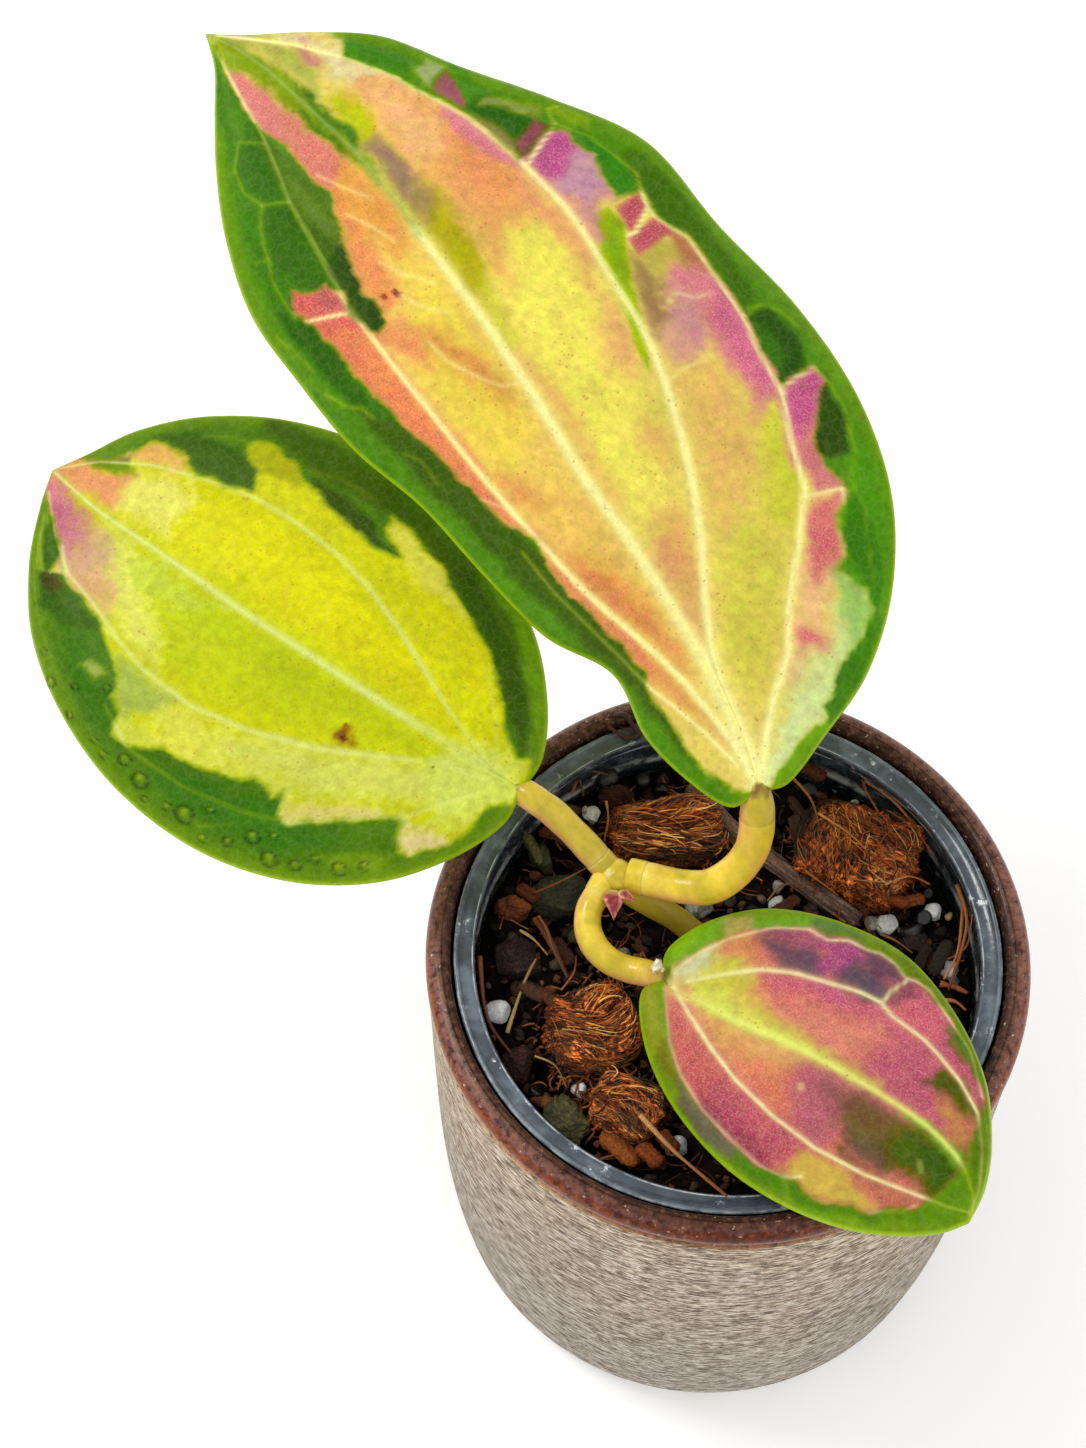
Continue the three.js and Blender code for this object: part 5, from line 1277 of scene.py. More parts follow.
# Veins: breadth at the root and at the end, strength, path in the same pairs or None for
# the midrib, and a colour where a vein has its own.
UPPER_VEINS = [
    (1.2, 0.62, 0.95, [0, 0, 5.1, -1.7, 11.9, -3.3, 20.5, -4.4, 30.6, -5.3, 41.9, -5.9, 54.1, -5.9, 66.8,
        -7, 79.7, -7.7, 100, -7.8]),
    (0.62, 0.3, 0.55, [99, -7.8, 104.7, -7.9, 116, -7.4, 134.6, -4.4, 141.3, -2.4, 146, 0], "a4bc5c"),
    (0.62, 0.3, 0.9, [3, -0.6, 8, -0.9, 14, -0.7, 20, -0.2, 26, 0.8, 36, 3.2, 41, 4.2, 56, 5.9, 65, 6.6,
        85, 7.4, 97, 7.5, 109, 5.9, 115.3, 5.3, 120, 4, 127, 2.4, 132, 1.9, 145, 0.1]),
    (0.85, 0.32, 0.9, [3, -1.6, 10, -2.8, 16, -4.2, 22, -6.6, 29, -10.6, 36, -15, 43, -18.6, 50, -21.6,
        56, -23.8, 62, -25.6, 68, -26.8, 85, -28.3, 90, -28.3, 100, -27, 110, -24.8, 115, -22.8, 119,
        -20.8, 122, -19.8, 130, -14.8, 136, -10, 144.6, -1.4]),
    (0.6, 0.3, 0.85, [2, -2, 6, -5.6, 10, -10, 14, -15.5, 20, -20, 28, -28, 33, -32.5, 40, -35, 47, -38.5,
        55, -39.5, 60, -40.8, 75, -41.3, 80, -39, 82, -38.7, 85, -39.5, 88, -40.8]),
    (0.35, 0.16, 0.7, [5, 0.5, 12, 1.8, 17, 3, 22, 4.5, 28, 5.2, 42, 7.8, 50, 8.2]),
    (0.3, 0.2, 0.9, [95.5, 8, 97, 11, 98.5, 14]),
    (0.28, 0.2, 0.85, [98.5, -28, 100.5, -33.5, 101.5, -35, 104, -35.5, 103.5, -37]),
    (0.28, 0.2, 0.6, [101.5, -35, 97, -38, 92, -39.5, 88, -40.5]),
    (0.3, 0.22, 0.85, [80, -33.5, 80, -35, 82, -38.5]),
    (0.32, 0.24, 0.85, [47.5, -38.7, 47.5, -42, 47.2, -45]),
    (0.25, 0.18, 0.8, [31.5, -32, 30.5, -34.5, 29.5, -37]),
    (0.25, 0.18, 0.6, [21, -31.5, 25, -33, 28, -36, 29.5, -37]),
    (0.24, 0.15, 0.55, [100, 15, 103, 15, 107, 14.5, 110, 13, 112, 12.5, 115, 11, 117.5, 9, 121, 10, 125,
        9, 128, 6, 125.5, 3]),
    (0.22, 0.16, 0.6, [117.5, 9, 115.5, 5.5]),
    (0.2, 0.14, 0.4, [110, 13, 111, 15]),
    (0.22, 0.16, 0.55, [80, 14.5, 82.5, 15, 84, 16.5, 88, 18]),
    (0.2, 0.14, 0.4, [92, 17.5, 97, 18, 100, 19]),
    (0.2, 0.14, 0.4, [66, 12.5, 70.5, 12.5, 73, 14]),
    (0.2, 0.15, 0.45, [60, -41, 60, -44, 58, -46, 54, -47]),
    (0.2, 0.15, 0.45, [36, -43.5, 40, -45, 43.5, -45.5, 47, -45]),
    (0.2, 0.15, 0.4, [30, -39, 33, -42, 37, -44]),
    (0.2, 0.15, 0.4, [14, -30.5, 16, -33, 25, -38, 30, -39]),
    (0.2, 0.15, 0.35, [53, 5.5, 57, 6.5, 60, 8.5]),
    (0.16, 0.12, 0.4, [71, -6.5, 72, -4, 75, -2, 80, 0.5, 84, 1]),
    (0.16, 0.12, 0.35, [86, -4, 89, -1.5, 93, 0.5]),
    (0.16, 0.12, 0.35, [91, -5, 96, -1.5, 99, 0]),
    (0.16, 0.12, 0.4, [100, -4, 104, -2.5, 108, -0.5]),
    (0.16, 0.12, 0.4, [108, -5, 112, -2.5, 116, -0.5]),
    (0.16, 0.12, 0.35, [58.5, -26, 58, -30, 57.5, -33]),
    (0.16, 0.12, 0.4, [65.5, -39, 66.5, -36, 68.5, -34.5, 68, -32]),
]


def areoles(spots, size, seed):
    """The small cells between the finest veins: each spot's cell centre and the cell's tone."""
    rng = np.random.default_rng(seed)
    jitter = rng.uniform(0.1, 0.9, (256, 256, 2))
    tones = rng.uniform(-1, 1, (256, 256))
    cell = np.floor(spots / size).astype(int) + 128
    nearest = np.full(len(spots), 1e9)
    centre = spots.copy()
    tone = np.zeros(len(spots))
    for i in (-1, 0, 1):
        for j in (-1, 0, 1):
            a, b = (cell[:, 0] + i) % 256, (cell[:, 1] + j) % 256
            place = (cell + (i, j) - 128 + jitter[a, b]) * size
            gap = np.hypot(*(place - spots).T)
            closer = gap < nearest
            nearest[closer], centre[closer], tone[closer] = gap[closer], place[closer], tones[a, b][closer]
    return centre, tone


def depth_inside(outline, spots, reach):
    """How deep spots lie inside a closed outline, in millimetres, negative outside it."""
    ring = np.asarray(outline, float).reshape(-1, 2)
    depth = np.full(len(spots), -float(reach))
    near = np.all((spots > ring.min(0) - reach) & (spots < ring.max(0) + reach), 1)
    here = spots[near]
    nearest = np.full(len(here), 1e9)
    inside = np.zeros(len(here), bool)
    for a, b in zip(ring, np.roll(ring, -1, 0)):
        along, offset = b - a, here - a
        share = np.clip(offset @ along / max(along @ along, 1e-9), 0, 1)
        nearest = np.minimum(nearest, np.hypot(*(offset - share[:, None] * along).T))
        crosses = (a[1] > here[:, 1]) != (b[1] > here[:, 1])
        inside ^= crosses & (offset[:, 0] < along[0] * offset[:, 1] / (along[1] or 1))
    depth[near] = np.where(inside, nearest, -nearest)
    return depth


def vein_strength(path, spots, root, end):
    """How strongly spots lie in a vein that narrows along its path, from 0 to 1."""
    path = np.asarray(path, float).reshape(-1, 2)
    reach = 4 * root
    strength = np.zeros(len(spots))
    near = np.all((spots > path.min(0) - reach) & (spots < path.max(0) + reach), 1)
    here = spots[near]
    best = np.zeros(len(here))
    steps = np.hypot(*np.diff(path, axis=0).T)
    length, done = steps.sum(), 0
    for a, b, step in zip(path[:-1], path[1:], steps):
        along, offset = b - a, here - a
        share = np.clip(offset @ along / max(along @ along, 1e-9), 0, 1)
        gap = np.hypot(*(offset - share[:, None] * along).T)
        width = root + (end - root) * (done + share * step) / length
        best = np.maximum(best, np.exp(-(gap / width) ** 2))
        done += step
    strength[near] = best
    return strength


def lay(tissue, cover, code):
    """Lays a colour over the tissue where its cover is one."""
    return tissue + (eight_bit(code) - tissue) * cover[:, None]


def blade_tissue(blade, spots, edge, greens, heart, flush, veins):
    """The blade's colours at spots of its upper face, and how much each spot is heart."""
    seed = blade["seed"]
    centre, tone = areoles(spots, 0.95, seed)
    wander = np.stack([drift(spots, 3.4, seed + 1, 3), drift(spots, 3.4, seed + 2, 3)], 1)
    ragged = 0.85 * spots + 0.15 * centre + 0.8 * wander
    flowing = spots + 1.3 * wander
    stipple = 0.1 * tone + 0.16 * drift(spots, 0.7, seed + 5)
    tissue = np.tile(eight_bit(blade["green"]), (len(spots), 1))
    tissue = lay(tissue, np.clip(1 - edge / 3.2, 0, 1) * 0.75, blade["outer_green"])
    for code, soft, strength, outline in greens:
        cover = np.clip(depth_inside(outline, ragged, 2 * soft) / soft * 0.6 + 0.5, 0, 1)
        tissue = lay(tissue, cover * cover * (3 - 2 * cover) * strength, code)
    heart_depth = depth_inside(heart, ragged, 3)
    inner = np.clip(heart_depth / 0.7 * 0.6 + 0.5 + 0.4 * stipple, 0, 1)
    brim = 1 - np.clip(heart_depth / 2.4, 0, 1)
    tissue = lay(tissue, inner, blade["heart"])
    for code, soft, strength, outline in flush:
        broad = soft > 0.6
        soft = blade["melt"] * soft if broad else soft
        depth = depth_inside(outline, flowing if broad else spots, 3 * soft) + 0.7 * soft * brim * broad
        cover = np.clip(depth / soft * 0.6 + 0.5 + stipple * broad, 0, 1)
        tissue = lay(tissue, inner * cover * cover * (3 - 2 * cover) * strength, code)
    rosy = np.clip((tissue[:, :1] - tissue[:, 1:2] - 0.1) * 3, 0, 1) * inner[:, None]
    tissue = tissue + rosy * blade.get("rose", (0, 0, 0))
    hue = drift(spots, 1.4, seed + 8, 3) * inner
    tissue = tissue + hue[:, None] * blade["mottle"] * [0.0, 1.0, -0.4]
    cell_tone = 1 + 0.035 * tone + 0.035 * drift(spots, 1.2, seed + 3) + 0.045 * drift(spots, 7, seed + 4)
    tissue = np.clip(tissue * cell_tone[:, None], 0, 1)
    ribs = np.zeros(len(spots))
    fade = np.clip(blade["vein_start"] + spots[:, 0] / 26, 0, 1)
    for root, end, strength, path, *own in veins:
        root, end = max(root, 0.3), max(end, 0.26)
        pale = own[0] if own else blade["vein_colour"]
        path = path or blade["midrib_path"].ravel().tolist()
        core = vein_strength(path, spots, root, end)
        halo = vein_strength(path, spots, root * 2.6, end * 2.2)
        dulled = 0.35 * eight_bit(pale) + 0.65 * tissue
        bright = eight_bit(pale) * inner[:, None] + dulled * (1 - inner[:, None])
        cover = (fade * np.clip(core * strength + 0.22 * halo * strength, 0, 1))[:, None]
        tissue = tissue + (bright - tissue) * cover * 0.92
        ribs = np.maximum(ribs, core * strength * min(1, root / 0.5))
    # Painted light: a lime line along the margin, for light through the thin edge
    tissue = lay(tissue, np.clip(1 - (edge - 0.15) / 0.45, 0, 1) * 0.8, LIT_EDGE_GREEN)
    return np.clip(tissue * blade["tone"], 0, 1), inner, ribs


def waxy_finish():
    """Waxy leaf skin: the mesh's own tissue colours, with the finest net of veins, freckles
    and a soft gloss drawn in the blade's own plane."""
    finish = new_finish("waxy_leaf", specular_ior_level=0.16, specular_tint=(0.9, 1.0, 0.3, 1.0))
    tissue = mark(finish, "tissue").outputs["Color"]
    place = mark(finish, "leaf_place").outputs["Vector"]
    warm = mark(finish, "warmth").outputs["Fac"]
    wave = put(finish, "TexNoise", {"Vector": place, "Scale": 900.0, "Detail": 2.0})
    bent = put(finish, "MixRGB", {"Fac": 0.0012, "Color1": place, "Color2": wave.outputs["Color"]},
               blend_type="ADD")
    net = put(finish, "TexVoronoi", {"Vector": bent.outputs[0], "Scale": 1 / 0.0014},
              feature="DISTANCE_TO_EDGE")
    lines = shades(finish, net.outputs[0], [(0.0, 1.0), (0.13, 0.0)])
    blush = mark(finish, "blush").outputs["Fac"]
    faint = sums(finish, "MULTIPLY", lines, sums(finish, "MULTIPLY_ADD", blush, 0.08, 0.03))
    colour = blend(finish, faint, tissue, "f6dcb4")
    fleck = noise(finish, place, 0.3, 3, 0.65)
    red = sums(finish, "MULTIPLY", shades(finish, fleck, [(0.52, 0.0), (0.61, 0.5)]), blush)
    colour = blend(finish, red, colour, "a2323e")
    pale = sums(finish, "MULTIPLY", shades(finish, fleck, [(0.36, 0.36), (0.47, 0.0)]), blush)
    colour = blend(finish, pale, colour, "f6d6b4")
    fine = noise(finish, place, 0.5, 3, 0.6)
    dim = shades(finish, fine, [(0.3, 0.93), (0.5, 1.0), (0.7, 1.06)])
    colour = blend(finish, 1.0, colour, dim, "MULTIPLY")
    cloud = noise(finish, place, 1.8, 4, 0.65)
    clouded = shades(finish, cloud, [(0.3, 0.88), (0.5, 1.0), (0.7, 1.08)])
    colour = blend(finish, 1.0, colour, clouded, "MULTIPLY")
    dots = put(finish, "TexVoronoi", {"Vector": place, "Scale": 1 / 0.0010}, feature="F1")
    size = shades(finish, noise(finish, place, 3.2, 3, 0.7), [(0.38, 0.02), (0.64, 0.27)])
    close = sums(finish, "SUBTRACT", size, dots.outputs["Distance"])
    speck = sums(finish, "MULTIPLY", sums(finish, "MULTIPLY", close, 7.0), warm)
    speck = put(finish, "Clamp", {0: speck, 1: 0.0, 2: 0.4}).outputs[0]
    colour = blend(finish, speck, colour, "b0503a")
    dull = shades(finish, noise(finish, place, 5), [(0.3, 0.34), (0.7, 0.46)])
    feed(finish, base_color=colour, roughness=dull)
    rise = mark(finish, "relief").outputs["Fac"]
    height = sums(finish, "MULTIPLY_ADD", fine, 0.12, rise)
    height = sums(finish, "SUBTRACT", height, sums(finish, "MULTIPLY", lines, 0.05))
    height = sums(finish, "MULTIPLY_ADD", cloud, 0.3, height)
    relief(finish, height, 0.2, 0.8)
    return finish


def blade_frame(blade):
    """The blade's base and its own three axes: along, to its left, and out of its face."""
    base, tip = np.array(blade["base"], float), np.array(blade["tip"], float)
    along = unit(tip - base)
    out = np.array(blade["facing"], float)
    out = unit(out - along * (out @ along))
    return base, along, np.cross(out, along), out


def blade_crown(blade):
    """The middle of the blade at its base, where its stub is rooted."""
    base, _, _, out = blade_frame(blade)
    return base - out * BLADE_THICKNESS / 2


def blade_sheet(blade, rows, bands):
    """A grid over the blade: places in its plane, heights, and breadth shares from 1 to -1.
    bands gives for each strip between veins the shares of its breadth."""
    x = np.linspace(0, 1, rows + 1)
    x[0], x[-1] = 0.0015, 0.9985
    s = 0.55 * (1 - np.cos(np.pi * x)) / 2 + 0.45 * x
    middle, left, right = [through(blade[key], x) for key in ("midrib", "left", "right")]
    guides = [np.ones(len(x))] + [through(v, x)[:, 0] for v in blade["veins"]] + [-np.ones(len(x))]
    columns, quilts = [], []
    for k, band in enumerate(bands):
        for share in band:
            columns.append(guides[k] + (guides[k + 1] - guides[k]) * share)
            quilts.append(blade["quilt"] * np.sin(np.pi * share) * np.sin(np.pi * s) ** 0.7)
    t, quilt = np.array(columns).T, np.array(quilts).T
    s, reach = s[:, None], np.abs(t)
    hump = np.sin(np.pi * s)
    left_side = t >= 0
    curl = np.where(left_side, blade["curl"][0], blade["curl"][1])
    phase = np.where(left_side, blade["phase"][0], blade["phase"][1])
    wave = blade["wave"] * reach ** 3 * np.sin(2 * np.pi * (blade["waves"] * s + phase))
    height = blade["arch"] * hump + hump ** 0.7 * (wave - blade["cup"] * t * t - curl * reach ** 5) + quilt
    margin = np.where(left_side[..., None], left[:, None], right[:, None])
    places = middle[:, None] + reach[..., None] * (margin - middle[:, None])
    return places, height, t


def edge_shares(count, fine_start, fine_end):
    """Shares of a strip's breadth, finer beside a margin and without its last one."""
    fine = [0.006, 0.018, 0.036, 0.06, 0.09]
    shares = np.linspace(0, 1, count + 1)[:-1]
    if fine_start:
        shares = np.concatenate([[0], fine, np.linspace(0.125, 1, count - 5)[:-1]])
    if fine_end:
        shares = np.concatenate([np.linspace(0, 0.875, count - 5), 1 - np.array(fine[::-1]), [1]])
    return shares


def grow_leaf(name, blade, greens, heart, flush, veins, stands_for, extras=None):
    """A blade with its two faces and round margin, coloured, and the stub that carries it."""
    strips = blade["strips"]
    last = len(strips) - 1
    bands = [edge_shares(n, k == 0, k == last) for k, n in enumerate(strips)]
    places, height, t = blade_sheet(blade, blade["rows"], bands)
    rows, columns = t.shape
    spots = places.reshape(-1, 2)
    outline = np.vstack([places[::4, 0], places[::-4, -1]])
    edge = np.maximum(depth_inside(outline, spots, 60), 0).reshape(rows, columns)
    edge[:, 0] = edge[:, -1] = 0
    blade["midrib_path"] = through(blade["midrib"], np.linspace(0.01, 0.99, 40))
    tissue, inner, ribs = blade_tissue(blade, spots, edge.ravel(), greens, heart, flush, veins)
    worn = BLADE_EDGE - np.sqrt(np.maximum(BLADE_EDGE ** 2 - np.maximum(BLADE_EDGE - edge, 0) ** 2, 0))
    groove = 0.22 * ribs.reshape(rows, columns)
    top = height - worn - groove + 0.05 * drift(spots, 3, blade["seed"] + 7).reshape(rows, columns)
    step = max(1, columns // 52)
    under_columns = sorted(set(range(0, columns, step)) | {columns - 1} | set(range(4))
                           | set(range(columns - 4, columns)))
    keel = np.exp(-(np.linalg.norm(places - through(blade["midrib"], np.linspace(0, 1, rows))[:, None],
                                   axis=2) / 1.3) ** 2)
    ribbed = KEEL_DEPTH * (1 - np.linspace(0, 1, rows)[:, None]) * keel + 0.3 * ribs.reshape(rows, columns)
    under = height - BLADE_THICKNESS + worn - ribbed * np.clip(edge / 2, 0, 1)
    under[:, 0], under[:, -1] = top[:, 0], top[:, -1]
    base, along, left, out = blade_frame(blade)

    def lift(flat, z):
        return base + flat[:, :1] * along + flat[:, 1:] * left + z.reshape(-1, 1) * out

    upper_points = lift(spots, top)
    inner_columns = under_columns[1:-1]
    lower_spots = places[:, inner_columns].reshape(-1, 2)
    lower_points = lift(lower_spots, under[:, inner_columns])
    faces = [face[::-1] for face in grid_faces(rows, columns).tolist()]
    start = rows * columns
    count = len(inner_columns)
    number = np.empty((rows, count + 2), int)
    number[:, 0] = np.arange(rows) * columns
    number[:, -1] = np.arange(rows) * columns + columns - 1
    number[:, 1:-1] = start + np.arange(rows * count).reshape(rows, count)
    lower = np.stack([number[:-1, :-1], number[:-1, 1:], number[1:, 1:], number[1:, :-1]], -1).reshape(-1, 4)
    faces += lower.tolist()
    faces.append(list(range(columns)) + number[0, 1:-1][::-1].tolist())
    faces.append(list(range(start - columns, start))[::-1] + number[-1, 1:-1].tolist())
    lower_tissue = tissue.reshape(rows, columns, 3)[:, inner_columns].reshape(-1, 3)
    lower_ribs = ribs.reshape(rows, columns)[:, inner_columns].reshape(-1, 1)
    lower_tissue = 0.45 * lower_tissue + 0.55 * eight_bit("b4c98a")
    lower_tissue = lower_tissue + (eight_bit("dfe3b0") - lower_tissue) * 0.5 * lower_ribs
    warm_tissue = np.clip(inner * np.clip((tissue[:, 0] - 0.55) * 3, 0, 1), 0, 1)
    blush = inner * np.clip((tissue[:, 0] - tissue[:, 1] - 0.14) * 2.6, 0, 1)
    relief_mark = np.zeros(len(spots))
    if extras is not None:
        tissue, relief_mark = extras(spots, tissue, relief_mark)

    crown, rise = blade_crown(blade), unit(blade["rise"])
    foot = crown - rise * blade["stub"]
    wide = blade["stub_radius"]
    tuck = crown - out * wide * blade["tuck"]
    share = np.linspace(-0.12, 1, STUB_STEPS)[:, None]
    stub_path = foot + rise * blade["stub"] * share + (tuck - crown) * share ** 2
    ahead = unit(rise * 0.5 + along * 0.85)
    stub_path = np.vstack([stub_path, tuck + ahead * wide * np.linspace(0.12, 1.25, CROWN_STEPS)[:, None]
                           - out * wide * 0.5 * np.linspace(0.12, 1, CROWN_STEPS)[:, None]])
    radii = np.full(len(stub_path), wide)
    radii[:STUB_STEPS] = wide * (1 - blade["pinch"] * share[:, 0] ** 2
                                 - 0.06 * np.exp(-(share[:, 0] + 0.12) / 0.06))
    radii[STUB_STEPS:] = radii[STUB_STEPS - 1] * np.sqrt(1 - np.linspace(0.1, 0.98, CROWN_STEPS) ** 2)
    stub_points, stub_faces = swept(stub_path, radii, STUB_SIDES)
    stub_shift = len(upper_points) + len(lower_points)
    stub_tissue = stalk_tissue(stub_points, blade["stalk_seed"], 0.9,
                               away_from(stub_path, stub_points, STUB_SIDES))
    steps = np.concatenate([np.repeat(np.arange(len(stub_path)), STUB_SIDES), [0, len(stub_path)]])
    beyond = steps / (STUB_STEPS - 1)
    fray = 0.12 * drift(stub_points[:, :2], 0.8, blade["seed"] + 9)
    scar = np.clip(1 - np.abs(beyond + fray - 1.02) / 0.13, 0, 1) * blade["scar"]
    stub_tissue = lay(stub_tissue, scar, "6b4a22")
    stub_tissue = lay(stub_tissue, np.clip((beyond + fray - 1.04) * 9, 0, 1) * 0.95, blade["crown_colour"])
    points = np.vstack([upper_points, lower_points, stub_points])
    faces += [[k + stub_shift for k in face] for face in stub_faces]
    uses = [0] * (len(faces) - len(stub_faces)) + [1] * len(stub_faces)
    flat = np.vstack([spots, lower_spots + 300, stub_points[:, :2]]) * MM
    colours = to_linear(np.vstack([tissue, lower_tissue, stub_tissue]))
    sheen = np.tile(WAX_SHEEN, (stub_shift, 1))
    sheen[:, 2] -= 0.03 * np.clip((colours[:stub_shift, 2] - 0.02) * 28, 0, 1)
    colours[:stub_shift, :3] = np.maximum(colours[:stub_shift, :3] - sheen, 0.002)
    marks = {
        "tissue": colours,
        "leaf_place": np.hstack([flat, np.zeros((len(flat), 1))]),
        "warmth": np.concatenate([warm_tissue, np.zeros(len(points) - len(warm_tissue))]),
        "blush": np.concatenate([blush, np.zeros(len(points) - len(blush))]),
        "relief": np.concatenate([relief_mark, np.zeros(len(points) - len(relief_mark))]),
    }
    return add_piece(name, points, faces, [leaf_skin, stalk_skin], stands_for, uses, marks)


leaf_skin = waxy_finish()
grow_leaf("upper_blade", UPPER_BLADE, UPPER_GREENS, UPPER_HEART, UPPER_FLUSH, UPPER_VEINS, ("leaf_upper",))
grow_stalk("upper", UPPER_BLADE)

# Left leaf: a broad oval blade held out level, lime-yellow with a green margin. Its
# point has flushed coral and magenta, and water drops and a scar lie on it.
LEFT_BLADE = {
    "base": (-32.6, 19, 115.4), "tip": (-109.1, 73.1, 124), "facing": (-0.05, -0.3, 0.95),
    "left": [(0, 0), (-0.7, 6.3), (2.9, 15.3), (10.4, 25), (22.2, 32.7), (37, 36.8), (52.8, 36.3),
             (67.4, 31.7), (79.5, 24.4), (87.5, 15.2), (91.9, 6.5), (94.1, 0)],
    "midrib": [(0, 0), (4.9, 0.3), (11.8, 0.8), (20.5, 1.3), (30.5, 1.7), (41.5, 1.9), (52.7, 2.1),
               (63.6, 1.8), (73.7, 1.6), (82.4, 1.5), (89.3, 0.7), (94.1, 0)],
    "right": [(0, 0), (0.3, -6), (4.9, -13.8), (13, -21.7), (24.7, -27.9), (38.5, -31.7),
              (53.2, -32), (67, -28.2), (78.3, -21.4), (86.2, -13.3), (90.8, -5.5), (94.1, 0)],
    "veins": [
        [0.25, 0.3, 0.51, 0.67, 0.75, 0.8, 0.85, 0.86, 0.86, 0.85, 0.8],
        [0.08, 0.1, 0.18, 0.31, 0.4, 0.47, 0.53, 0.52, 0.56, 0.6, 0.6],
        [0] * 11,
        [-0.03, -0.05, -0.17, -0.3, -0.4, -0.46, -0.51, -0.52, -0.56, -0.62, -0.65]],
    "arch": 5, "cup": 2.6, "curl": (1.6, 1.2), "wave": 0.7, "waves": 2, "phase": (0, 0.4),
    "quilt": 0.6, "rows": 250, "strips": (32, 30, 42, 34, 42), "seed": 23,
    "rise": (-0.79, 0.4, 0.46), "stub": 3.4, "stub_radius": 2.3, "tuck": 0.55, "pinch": 0.05, "scar": 0.3,
    "melt": 1.5, "mottle": 0.02, "tone": (0.965, 0.98, 1),
    "stalk_seed": 94, "vein_colour": "e8ee90", "vein_start": 0.1, "crown_colour": "d0d868",
    "green": "557f04", "outer_green": "84a002", "heart": "cfd02c",
}

LEFT_GREENS = [
    ("4a7408", 2.5, 0.85, [12, 20, 25, 27, 40, 31, 58, 31, 75, 22, 90, 5, 84, 6, 70, 14, 58, 24, 40, 25]),
    ("3f7614", 1.2, 0.85, [18, 23, 26, 30, 34, 32, 44, 33, 50, 31, 44, 28, 36, 27, 30, 23, 24, 24]),
    ("447614", 1, 0.8, [58, 29.5, 63, 30, 70, 26, 74, 21, 80, 18, 76, 16, 68, 19]),
    ("3c6014", 0.8, 0.85, [70, 17.5, 76, 20, 82, 19, 85, 14, 80, 14]),
    ("4d4a3a", 0.7, 0.8, [79.5, 14.5, 81, 17, 84, 16.5, 84.5, 14.5, 82, 13.5]),
    ("3c6404", 0.8, 0.8, [82, 14, 86, 13.5, 89.5, 8, 87, 7.5, 83.5, 10]),
    ("425c00", 1.5, 0.9, [3, -5, 8, -8, 14, -13, 30, -22, 28, -25, 16, -20, 6, -12]),
    ("4a6400", 1.6, 0.85, [28, -21, 40, -24, 56, -23, 68, -24, 70, -27, 56, -29, 38, -27, 28, -25]),
    ("3c5204", 0.8, 0.85, [38, -19, 44, -18.5, 52, -19.5, 57, -22, 50, -22.5, 43, -21]),
    ("3e6004", 1, 0.8, [62.5, -14.5, 70, -13.5, 73, -12, 78, -14.5, 82, -14, 78, -18, 70, -20, 65, -18.5]),
    ("6f9a06", 1, 0.8, [2, -7, 8, -13.5, 15, -20, 24, -24.5, 22, -25.5, 12, -20.5, 4, -12.5]),
    ("8fa83e", 1, 0.5, [10, 20, 14, 22, 20, 27, 16, 27, 11, 23]),
    ("a8b45a", 1, 0.85, [64.5, 22.5, 66, 24.5, 69.5, 23.5, 68, 22]),
    ("96b050", 0.9, 0.85, [84.5, 14.5, 86, 14, 88, 11, 90, 6.5]),
]

LEFT_HEART = [
    0, 2.5, 2.5, 5, 3, 10.5, 4.5, 13.5, 6, 16, 8, 18.5, 10, 19, 12.5, 15, 15, 16.5, 21, 21.5, 26.5, 25,
    28.5, 25, 29, 23, 30, 21.5, 31, 23, 33, 22.5, 35, 22.5, 37, 24, 43, 26, 50, 26.5, 52, 28.5, 55, 30,
    58, 29.5, 58.5, 26.5, 62, 24.5, 63, 21.5, 70, 16.5, 75, 14.5, 80.5, 13, 83, 14, 82.5, 11, 85, 8.5, 88,
    7, 93, 3, 94, 0, 93, -2.5, 87, -6, 84.5, -8.5, 82, -12.5, 80, -13.5, 77, -14, 75, -12.5, 72, -11.5,
    70, -13, 62.5, -14.5, 64.5, -18.5, 67, -19, 68.5, -21, 67, -22.5, 60, -22.5, 58, -21, 52, -19.5, 42,
    -18, 38, -18.5, 36.5, -19.5, 41, -22, 42, -24, 38, -23.5, 34, -22, 31, -22, 28, -20, 16, -14, 13, -12,
    10, -9, 8, -6.5, 6, -5, 3.5, -4, 1.5, -4.5, 0.5, -3]

